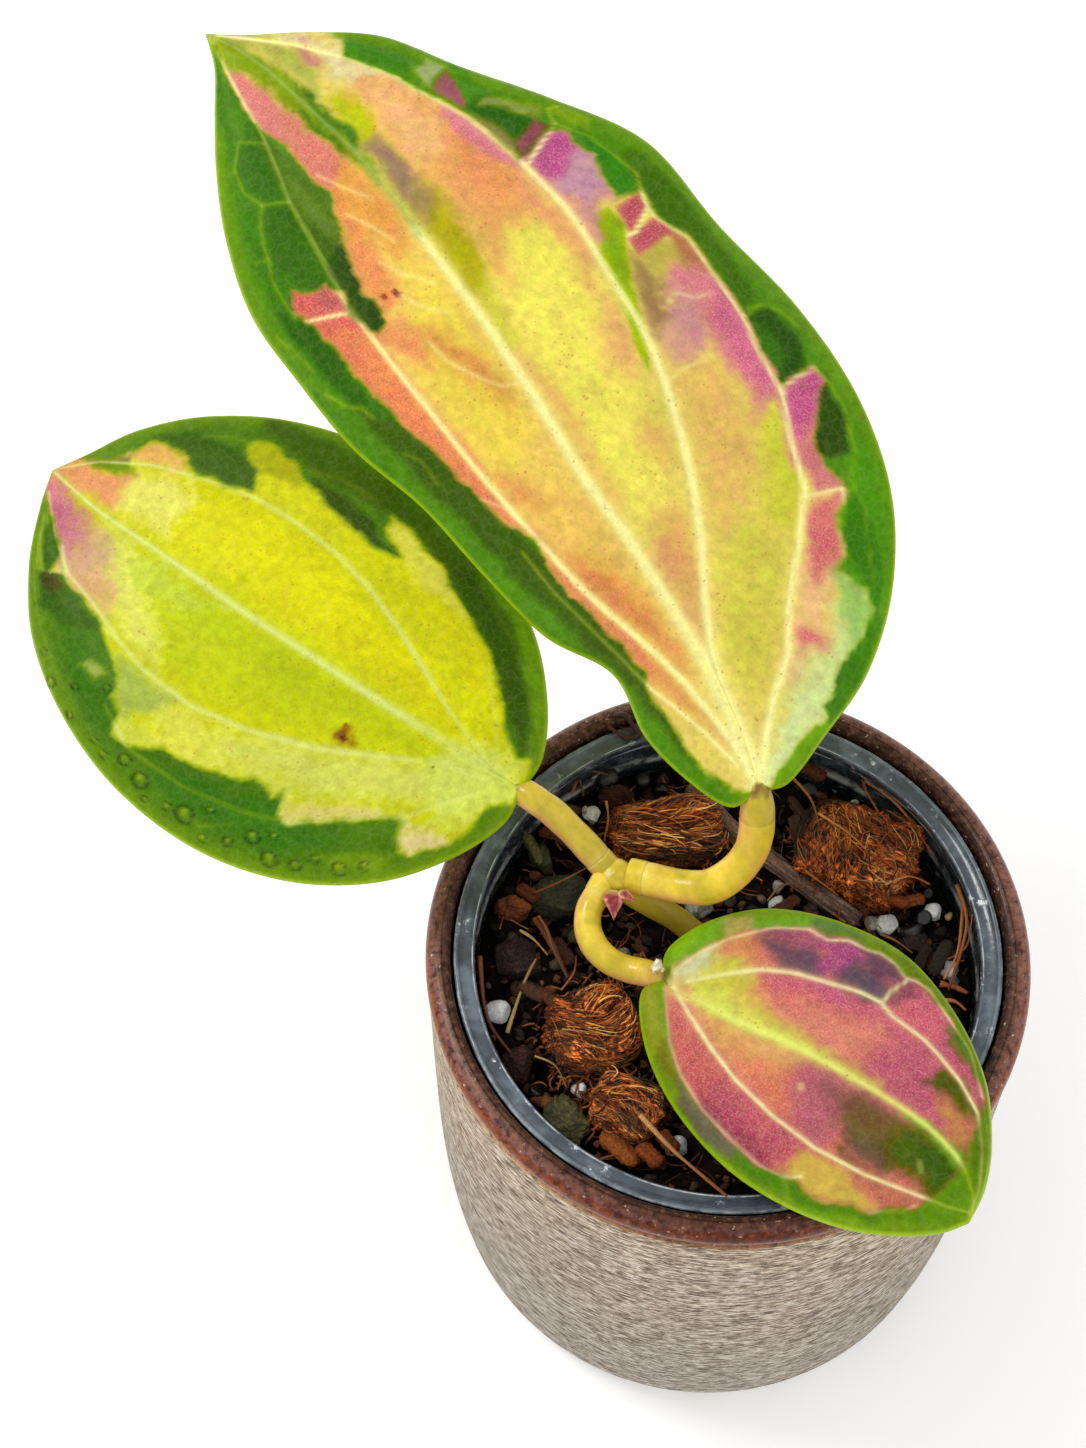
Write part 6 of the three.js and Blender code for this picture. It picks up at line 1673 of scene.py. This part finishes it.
LEFT_FLUSH = [
    ("e0da28", 2.5, 0.9, [10, -1, 30, -2, 50, 0, 82, -1, 78, -9, 62, -13, 50, -14, 34, -11, 18, -6]),
    ("d4cc0e", 1.5, 0.7, [14, -1, 34, -2, 52, -1, 46, -4, 30, -5, 20, -4]),
    ("dcd62e", 2, 0.8, [10, -7, 34, -15, 50, -17, 62, -17, 64, -20, 50, -19, 34, -22, 20, -15]),
    ("d3cc12", 1.5, 0.6, [12, -8, 28, -14, 26, -16, 16, -12]),
    ("e8e05c", 1.4, 0.8, [24, -17, 32, -18, 41, -23, 36, -23, 28, -20]),
    ("c3cf22", 3, 0.85, [12, 3, 24, 7, 34, 11, 48, 15, 60, 16, 72, 12, 76, 5, 60, 3, 20, 2]),
    ("b6c418", 2.5, 0.7, [20, 4, 44, 8, 58, 8, 62, 5, 46, 3, 28, 2]),
    ("c2d04c", 2, 0.7, [54, 3, 60, 8, 72, 10, 78, 6, 74, 3]),
    ("d6da66", 2, 0.8, [5, 6, 10, 10, 26, 20, 34, 21, 44, 24, 44, 20, 30, 14, 8, 3]),
    ("e2de54", 2, 0.8, [42, 20, 58, 20, 56, 24, 50, 26, 44, 25]),
    ("e6e468", 2, 0.85, [58, 18, 80, 11, 80, 3, 74, 3, 70, 8, 60, 12]),
    ("e9e26c", 1.6, 0.85, [70, -1, 82, 0, 82, -6, 76, -10, 70, -9]),
    ("d2da5c", 1.8, 0.9, [0, 3, 3, 5, 5, 10, 8, 12, 12, 8, 14, 4, 12, 0, 8, -2, 3, -3]),
    ("e7cfa0", 1.2, 0.75, [5, 14, 8, 18, 11, 18, 11, 15, 8, 13]),
    ("e6cc9a", 1.3, 0.6, [16, 17, 27, 25, 28, 23, 18, 17]),
    ("8fac48", 0.6, 0.9, [11.4, 14.6, 12, 18.8, 14, 20, 16.2, 20.4, 16.4, 19, 13.4, 15]),
    ("c8cf4a", 0.9, 0.85, [28.5, 23, 30.5, 21.5, 33, 23, 30, 24]),
    ("a5b84e", 1.2, 0.9, [52, 20, 56, 24, 58, 28, 62, 25, 64, 19]),
    ("cbd04a", 1, 0.8, [51, 27.5, 54, 29.5, 58, 29.5, 58.5, 27, 54, 26]),
    ("a9a80e", 0.7, 0.85, [57.5, -20, 64, -18.5, 68, -20, 68.5, -22.5, 60, -22.5]),
    ("dba27a", 1.6, 0.85, [71, 14, 75, 14, 81, 13, 82, 9, 77, 8, 72, 11]),
    ("cf9f80", 1.5, 0.75, [74, 8, 80, 11, 84, 8, 83, 4, 76, 5]),
    ("c66a8c", 2.4, 0.85, [81, 8, 85, 9, 93, 3, 93, 1, 88, 2, 83, 4]),
    ("b04a7c", 1.8, 0.5, [84, 5.5, 88, 6.5, 91, 4.5, 89, 3, 85, 4]),
    ("e0808c", 1, 0.75, [88, 3, 92, 3.5, 94, 0.5, 90, 1]),
    ("ea9464", 1.2, 0.92, [81, 0, 94, 0, 92, -3, 86, -4, 81, -6]),
    ("5f8418", 0.8, 0.85, [81, -6, 86, -4.5, 89, -4.5, 87, -6, 84, -7.5]),
    ("7c5a4c", 0.8, 0.85, [84, -8, 91, -4.5, 89.5, -7.5, 86, -10]),
    ("e6a860", 1.2, 0.85, [76, -10, 82, -9, 84, -10, 82, -13, 79, -14, 76, -13]),
    ("7a4418", 0.7, 0.85, [25.5, 9.5, 26.5, 10.5, 28, 10.5, 28, 9, 27.5, 8, 26, 8.5]),
    ("5a2410", 0.35, 0.8, [26.2, 9.4, 26.8, 10.2, 27.6, 9.8, 27, 9]),
    ("6e2a14", 0.25, 0.8, [27.5, 7.6, 27.9, 8, 28.2, 7.6, 27.8, 7.3]),
    ("1c1a0c", 0.15, 0.9, [12.9, 5.2, 13.1, 5.5, 13.4, 5.3, 13.1, 5]),
    ("1c1a0c", 0.2, 0.9, [0.4, -0.2, 0.7, 0.1, 1.1, -0.1, 0.8, -0.4]),
]

LEFT_VEINS = [
    (0.9, 0.34, 0.72, None),
    (0.55, 0.24, 0.6, [5, 2, 12, 3.7, 20, 8.3, 30, 13.5, 40, 17, 50, 19, 60, 18.5, 66, 17, 74, 14.2, 80,
        12.7, 86, 9, 92, 3.4]),
    (0.4, 0.2, 0.6, [5, 4, 9, 9.5, 12, 14, 26, 25, 34, 28, 44, 30, 55, 30, 62, 26.5]),
    (0.5, 0.24, 0.6, [8, -1, 15, -3, 30, -9.5, 38, -12.3, 46, -14, 55, -14.5, 62, -14.2, 70, -12.5, 80,
        -9.5, 88, -5.3, 93.4, -0.6]),
    (0.4, 0.2, 0.45, [6, -2, 9, -6, 12, -9, 15, -12.5]),
    (0.3, 0.2, 0.7, [80.5, 13, 82.5, 11, 84, 9.5]),
    (0.2, 0.16, 0.6, [81, 12.5, 83, 14, 86, 14.5, 88, 11.5, 90, 7]),
    (0.2, 0.14, 0.5, [84.5, -8.5, 84.5, -10]),
    (0.22, 0.14, 0.3, [5, -10, 10, -15, 16, -19, 24, -23]),
    (0.22, 0.14, 0.3, [46, -24.5, 52, -24.5, 58, -22.5]),
    (0.2, 0.14, 0.3, [68, -21.5, 72, -20.5, 76, -18]),
    (0.2, 0.14, 0.35, [34, 30.5, 38, 33.5, 42, 33.5]),
]

# Water drops left on the leaf's lower margin: place on the blade and breadth.
WATER_DROPS = [
    (13, 24, 1.6), (16, 26.5, 2.2), (20, 27.5, 1.4), (22, 30, 1.8), (26, 31.5, 2.6),
    (27.2, 28.2, 1.4), (30, 30.2, 2.4), (33, 33, 1.6), (38, 30.6, 1.2), (41, 33.4, 3.0),
    (44, 34, 1.6), (50, 33, 2.8), (54, 31.8, 2.2), (57.4, 33, 1.4), (60, 32, 1.2), (63, 24.2, 1.5),
    (68, 26.8, 1.3), (72, 28.4, 1.8), (76, 25, 1.2), (15.4, 29, 1.0), (36.6, 34.8, 1.4),
    (48, 35, 1.2), (66, 31, 1.3),
]


def wet_margin(spots, tissue, relief_mark):
    """Clear drops that lie on the leaf skin, with painted shade round their rims and a painted highlight on
    one side.
    """
    for u, v, wide in WATER_DROPS:
        offset = spots - (u, v)
        gap = np.hypot(offset[:, 0], offset[:, 1] * 1.2) / (wide / 2)
        dome = np.sqrt(np.clip(1 - gap ** 2, 0, 1))
        relief_mark = np.maximum(relief_mark, dome * min(wide, 2) * 1.4)
        # Painted shade round the drop's rim, then a painted highlight on its lit side
        ring = np.exp(-((gap - 1) / 0.22) ** 2)[:, None]
        tissue = tissue * (1 - 0.28 * ring)
        lit = np.exp(-(((offset - (0.12 * wide, -0.16 * wide)) / (0.22 * wide)) ** 2).sum(1))[:, None]
        tissue = tissue + (eight_bit("c8dc5a") - tissue) * 0.5 * lit
    return tissue, relief_mark


grow_leaf("left_blade", LEFT_BLADE, LEFT_GREENS, LEFT_HEART, LEFT_FLUSH, LEFT_VEINS, ("leaf_left",),
          wet_margin)
grow_stalk("left", LEFT_BLADE)

# Front leaf: the youngest blade, small and oval, lying over the pot's rim. It is the
# reddest, with crimson, magenta and dusky purple fields between pale veins.
FRONT_BLADE = {
    "base": (-11, -7.7, 104.4), "tip": (33.8, -47.6, 104.5), "facing": (0.05, -0.25, 0.97),
    "left": [(0, 0), (-2.3, 4.3), (-0.3, 11.6), (5.6, 19.1), (15.3, 24.4), (26.9, 26.7),
             (38.4, 24.2), (48.2, 19), (54.9, 12.1), (58.6, 5.8), (60, 0)],
    "midrib": [(0, 0), (3.5, -0.8), (8.8, 0.4), (15.4, 1.4), (22.9, 3.4), (31.1, 4.9),
               (39.3, 6.1), (47, 6.8), (53.6, 5.9), (58.1, 3.2), (60, 0)],
    "right": [(0, 0), (-0.9, -3.9), (3.2, -8.6), (9.9, -12.8), (18.6, -15.7), (28.3, -16.8),
              (37.9, -15.5), (46.5, -12.4), (53.2, -8.1), (57.7, -3.8), (60, 0)],
    "veins": [
        [0.45, 0.54, 0.68, 0.83, 0.84, 0.88, 0.9, 0.9, 0.9, 0.88, 0.85],
        [0.1, 0.12, 0.32, 0.42, 0.5, 0.56, 0.61, 0.65, 0.74, 0.62, 0.5],
        [0] * 11,
        [-0.05, -0.06, -0.22, -0.38, -0.49, -0.52, -0.55, -0.55, -0.53, -0.28, -0.15],
        [-0.2, -0.26, -0.56, -0.75, -0.83, -0.85, -0.84, -0.84, -0.82, -0.75, -0.6]],
    "arch": 4.5, "cup": 3.2, "curl": (1.8, 1.4), "wave": 0.3, "waves": 1.5, "phase": (0, 0.5),
    "quilt": 0.45, "rows": 198, "strips": (20, 26, 32, 32, 24, 18), "seed": 43,
    "rise": (0.93, -0.31, 0.19), "stub": 3, "stub_radius": 2.15, "tuck": 0.3, "pinch": 0.22, "scar": 0.95,
    "melt": 1.6, "mottle": 0.03, "tone": (0.99, 1, 1),
    "stalk_seed": 97, "vein_colour": "efe6a4", "vein_start": 0.6, "crown_colour": "d6d880",
    "green": "6a882a", "outer_green": "7c9a1a", "heart": "c8605c", "rose": (0.02, 0.05, 0.02),
}

FRONT_GREENS = [
    ("74a93a", 1.5, 0.85, [-2, 2, -2, 10, 1, 14, 3, 13, 3, 8, 1, 3]),
    ("8ab42c", 1, 0.6, [-2, 4, -2, 9, 0, 12, 1, 10, 0, 4]),
    ("b9a25c", 1, 0.8, [1.5, 13, 5, 16.5, 7, 15, 6, 12, 4, 10.5]),
    ("6fa03c", 1.2, 0.8, [5, 16, 10, 21, 16, 22, 14, 20, 10, 18, 7, 15]),
    ("5d7a42", 1, 0.85, [12, 22, 14, 23.5, 20, 24.5, 22, 23.5, 18, 22.5, 16, 20.5, 13, 20.5]),
    ("627620", 1.4, 0.8, [20, 25, 28, 26, 36, 25, 46, 21, 52, 15, 40, 23]),
    ("527018", 1.2, 0.85, [38, 23, 44, 21, 50, 16, 55, 10, 58, 4, 56, 5, 52, 12, 46, 18, 40, 20]),
    ("5c8a10", 1.5, 0.85, [52, 0, 56, 6, 60, 1, 57, -3, 52, -7, 48, -9]),
    ("93933c", 1.5, 0.85, [-1, -1, 8, -9, 6, -10, 2, -7, -1, -4]),
    ("6f6a26", 0.9, 0.8, [7, -7.5, 14, -11.5, 13, -12, 9, -11, 7, -9]),
    ("6e9446", 1.2, 0.85, [9, -12, 16, -15, 26, -16, 24, -17, 14, -15, 8, -12]),
    ("6a6450", 0.8, 0.9, [12.5, -11, 17, -12.5, 29, -14, 28, -16, 22, -16, 15, -14]),
    ("4e7c1c", 1.2, 0.9, [27, -14, 40, -12, 46, -10, 50, -7, 50, -10, 42, -14, 32, -16, 27, -16]),
    ("86ac0e", 1, 0.7, [38, -15, 46, -12.5, 52, -9, 50, -9]),
]

FRONT_HEART = [
    1, 2, 3.5, 9.5, 5, 12, 8, 16, 13, 20, 16.5, 20.5, 19, 22.5, 22, 23, 24, 24, 27, 24, 29.5, 23, 31, 24,
    33.5, 24, 39, 22.5, 41, 19.5, 45, 19, 47, 17.5, 50, 16.5, 52, 12, 54.5, 4, 54, 0, 53, -3.5, 50, -6,
    48, -8.5, 45, -9.5, 43, -11, 40, -12, 37, -12, 35, -12.5, 31, -13.5, 25, -13.5, 19, -12.5, 13, -10.5,
    8, -7.5, 2, -1.5]

FRONT_FLUSH = [
    ("c6be4e", 1.3, 0.9, [1, 0, 4, 8, 8, 10, 12, 9, 14, 7, 29, 5, 4, 0]),
    ("c4c23c", 1, 0.7, [5, 1, 5, 5, 7, 9, 11, 6.5, 9, 3]),
    ("c8cba2", 1.2, 0.85, [1, 1, 4, 8, 5, 5, 4, 2]),
    ("d0b84c", 1.4, 0.75, [11, 4, 13, 8, 28, 5, 20, 3]),
    ("cc8450", 1.2, 0.9, [4, 10, 6, 14, 9, 14, 13, 11, 11, 10]),
    ("c8625a", 1, 0.8, [8, 13.5, 16, 12, 12, 10.5, 9, 11]),
    ("a04a68", 1, 0.92, [8.5, 16, 14, 20, 17, 19.5, 16, 17, 12, 15.5]),
    ("66505a", 1.2, 0.95, [9, 14, 12, 16, 17, 18, 20, 17, 20, 14, 14, 12]),
    ("9a3c72", 1, 0.95, [17, 20.5, 20, 22, 23, 21.5, 23, 17, 20, 15.5, 18.5, 15.5]),
    ("5c5058", 1.3, 0.95, [22, 20, 26, 22, 30, 20, 30, 17, 22, 15]),
    ("6a4858", 0.9, 0.95, [22, 23, 25, 24, 28, 24, 29.5, 22, 27, 20.5, 23, 21]),
    ("7c4250", 0.8, 0.9, [30, 18, 30, 22.5, 32, 24, 34, 22.5, 31, 18]),
    ("c05068", 1.4, 0.95, [31, 17, 32, 20, 35, 24, 39, 23, 41, 19, 46, 18, 50, 16]),
    ("b4486e", 0.9, 0.6, [38, 17.5, 42, 19, 46, 18, 50, 16]),
    ("4f7a24", 0.8, 0.9, [40, 20.5, 41, 19.5, 44, 19.5, 42.5, 21.5, 40.5, 22]),
    ("bc4c6e", 1.2, 0.92, [13, 10, 22, 14, 30, 17, 42, 16, 44, 12, 24, 12, 16, 9]),
    ("ba4a78", 0.9, 0.6, [18, 12.5, 23, 15, 26, 15.5, 25, 13, 20, 12]),
    ("cc6a64", 1.8, 0.95, [14, 7, 26, 13, 33, 15, 36, 11, 34, 6, 27, 5]),
    ("d08068", 1.5, 0.6, [16, 6, 24, 9, 31, 14, 33, 11, 27, 6]),
    ("b44c6a", 1.4, 0.92, [33, 6, 35, 12, 39, 16, 43, 12, 50, 8, 48, 7]),
    ("4c5c24", 0.9, 0.95, [42, 12, 42.5, 15.5, 46, 15.5, 50.5, 13.5, 50.5, 11.5, 46, 12.5]),
    ("b98048", 1, 0.92, [44.5, 12, 50, 12, 53, 8.5, 53, 6.5, 50, 8.5, 46, 10]),
    ("d39a58", 1.8, 0.95, [8, 0, 27, 4, 26, 0, 22, -4, 14, -4, 8, -2]),
    ("c6cc4e", 1.1, 0.85, [6, -1, 14, 0, 22, 2, 38, 5, 38, 7, 30, 6.5, 14, 3.5, 6, 2.5]),
    ("dd9a70", 1.2, 0.4, [15, 1, 27, 4, 26, 1, 18, 0]),
    ("cf6a54", 1.6, 0.92, [17, -4, 20, -2, 26, 0, 33, -2, 34, -6, 28, -7, 20, -6]),
    ("b05468", 1.5, 0.92, [26, 3, 32, 5, 41, 6, 44, 4, 40, 2, 36, -2, 37, -6, 31, -6, 28, -2]),
    ("86524e", 1.4, 0.8, [31, 3, 36, 3, 38, 1, 35, -1, 31, 0]),
    ("705c3a", 1.6, 0.92, [35, 3, 42, 5, 46, 4, 46, -2, 40, -3, 36, -1]),
    ("665a40", 1.4, 0.85, [38, -1, 46, 3, 48, 2, 46, -3, 42, -4, 39, -3]),
    ("4a6420", 1.4, 0.95, [44, 4, 46, 6, 52, 6, 56, 4, 55, 0, 51, -1, 46, -1, 44, 1]),
    ("3c5e14", 1.2, 0.7, [50, 6, 53, 5, 55, 2, 52, 0, 49, 2]),
    ("6ca038", 0.7, 0.85, [42, 6, 46, 7, 52, 6.5, 57, 4.5, 48, 5.5, 44, 5]),
    ("68482a", 0.9, 0.9, [38.5, -4, 43, -4.5, 47, -3.5, 44, -5, 40, -5.5]),
    ("bc4c54", 1.2, 0.95, [3, -1, 20, -7, 19, -12, 12, -10]),
    ("a83c58", 1.2, 0.95, [18, -7, 36, -7, 33, -10, 31, -13, 20, -12, 18, -10]),
    ("c25264", 0.9, 0.6, [24, -8, 34, -7.5, 32, -10, 26, -10]),
    ("8a3248", 0.8, 0.75, [18, -11, 23, -12, 30, -12, 32, -13.5, 24, -13.5, 18.5, -12.5]),
    ("cdb04c", 1.2, 0.95, [34, -8, 38, -6, 44, -6, 47, -7, 46, -10, 42, -11, 38, -12, 34, -11]),
    ("b0604c", 1, 0.92, [42, -5, 51, -2.5, 53.5, -3, 51, -5.5, 44, -6]),
    ("dca484", 0.3, 0.95, [28, -0.2, 29, -0.2, 29.4, -1.2, 28.8, -1.6, 28.2, -1.2]),
    ("8c9a4c", 0.4, 0.9, [48.6, 2.1, 49.4, 2.3, 50.8, 1, 50.2, 0.5, 49.2, 1.2]),
]

FRONT_VEINS = [
    (1, 0.34, 0.8, None, "e4ec74"),
    (0.42, 0.24, 0.9, [4, 1.5, 8, 6, 12, 10, 16, 12.5, 26, 16.6, 29.3, 17.3, 32, 16.7, 38, 17, 41, 16.6,
        46, 15.5, 51, 13.5, 55, 9.5, 58, 5, 59.5, 1]),
    (0.32, 0.2, 0.85, [1.6, 2.6, 2.4, 6, 4.4, 10.6, 8.6, 16.6, 13, 20, 16.5, 20.3, 19, 22.5, 22, 23, 24,
        24, 27, 24.1, 29.5, 23.2, 31, 24, 33.5, 24.2, 44, 20.6, 50, 16]),
    (0.24, 0.18, 0.7, [29.5, 17.5, 29.5, 20, 30, 23]),
    (0.42, 0.24, 0.9, [3, -0.5, 8, -2.5, 14, -4.5, 20, -6, 28, -6.8, 36, -6.5, 44, -4.8, 56, -0.5, 59, 1]),
    (0.34, 0.2, 0.65, [2, -1.5, 8, -7.5, 13, -10.5, 19, -12.5, 25, -13.3, 31, -13.6, 35, -12.7, 37, -11]),
    (0.2, 0.16, 0.5, [35, -12.5, 37.5, -14.5]),
    (0.18, 0.14, 0.5, [48, -8.5, 49.5, -7, 51.5, -5.5, 52.5, -3.5]),
]

grow_leaf("front_blade", FRONT_BLADE, FRONT_GREENS, FRONT_HEART, FRONT_FLUSH, FRONT_VEINS, ("leaf_front",))
grow_stalk("front", FRONT_BLADE)

# Dried sap: pale flakes of the plant's milky sap. They have wept from the front leaf's
# joint and dried on it.
sap = Heap()
SAP_FLAKES = [
    (-11.7, -7.3, 107.2, 2.5, "f0e2c6"), (-12.1, -8.3, 106.9, 1.3, "a8845c"),
    (-10.9, -7.9, 107.0, 1.0, "d0b494"), (-11.3, -6.4, 107.1, 1.1, "5a3c24"),
]
for x, y, z, size, shade in SAP_FLAKES:
    sap.crumb((x, y, z), (size, size * 0.7, size * 0.35), eight_bit(shade), rng, 5, 2, 0.2)
sap.piece("dried_sap", stalk_skin, "bud")

# Growth bud: two small pointed bracts of soft young leaf tissue, pink-red with pale
# edges, grown from the front of the node.
BUD_BRACTS = [
    {"from": (-18.3, 5.6, 106.6), "to": (-18.3, 0.2, 107.6), "radius": 1.6},
    {"from": (-17.4, 5.2, 107.1), "to": (-14.8, 3.4, 107.7), "radius": 1.0},
]
bud = Heap()
for bract in BUD_BRACTS:
    root, point = np.array(bract["from"]), np.array(bract["to"])
    share = np.linspace(0, 1, 26)
    bulge = through([0.5, 0.8, 1, 0.9, 0.66, 0.42, 0.2, 0.03], share)[:, 0]
    spine = root + (point - root) * share[:, None]
    points, faces = swept(spine, np.maximum(bulge, 0.02) * bract["radius"], 24, 0.7)
    turn = np.concatenate([np.tile(np.arange(24) / 24 * 2 * np.pi, 26), [0, 0]])
    ridge = np.abs(np.cos(1.5 * turn + 0.4)) ** 3
    line = np.vstack([np.repeat(spine, 24, 0), root[None], point[None]])
    points = line + (points - line) * (0.82 + 0.3 * ridge)[:, None]
    spots = np.column_stack([points[:, 0] * 2, points[:, 1] + points[:, 2]])
    flush = np.clip(0.95 + 1.3 * drift(spots, 0.7, 101, 3) - 1.1 * ridge ** 2, 0, 1)[:, None]
    along = np.concatenate([np.repeat(share, 24), [0, 1]])[:, None]
    tissue = eight_bit("cf8c74") * (1 - flush) + eight_bit("86222c") * flush
    tissue = tissue + (eight_bit("dccb84") - tissue) * np.clip(1 - along * 3, 0, 1)
    bud.lay_in(points, faces, np.clip(tissue, 0, 1))
bud.piece("growth_bud", stalk_skin, "bud", ("growth_bud",))

# Studio: a plain pale floor that glows a little, soft daylight from the upper left,
# and a weak fill from the front right.
floor_data = bpy.data.meshes.new("studio_floor")
floor_data.from_pydata([(-3, -3, 0), (3, -3, 0), (3, 3, 0), (-3, 3, 0)], [], [(0, 1, 2, 3)])
floor_data.materials.append(new_finish("pale_floor", base_color=ink("ffffff"), roughness=0.9,
                                        emission_color=(1, 1, 1, 1), emission_strength=0.2))
studio_floor = bpy.data.objects.new("studio_floor", floor_data)
bpy.context.scene.collection.objects.link(studio_floor)


def soft_light(name, place, aim, size, power):
    """A square soft box at a place, turned towards its aim, in metres."""
    data = bpy.data.lights.new(name, "AREA")
    data.size, data.energy = size, power
    lamp = bpy.data.objects.new(name, data)
    lamp.location = place
    heading = [a - p for a, p in zip(aim, place)]
    lamp.rotation_euler = Vector(heading).to_track_quat("-Z", "Y").to_euler()
    bpy.context.scene.collection.objects.link(lamp)


soft_light("window_light", (-0.7, 0.25, 1.1), (0, 0.02, 0.08), 0.4, 5.5)
soft_light("fill_light", (0.7, -0.9, 0.9), (0, 0, 0.08), 1.0, 1.5)
room = bpy.data.worlds.new("white_room")
room.use_nodes = True
room.node_tree.nodes["Background"].inputs["Color"].default_value = (1, 1, 1, 1)
room.node_tree.nodes["Background"].inputs["Strength"].default_value = 0.8
bpy.context.scene.world = room
bpy.context.scene.view_settings.view_transform = "Standard"
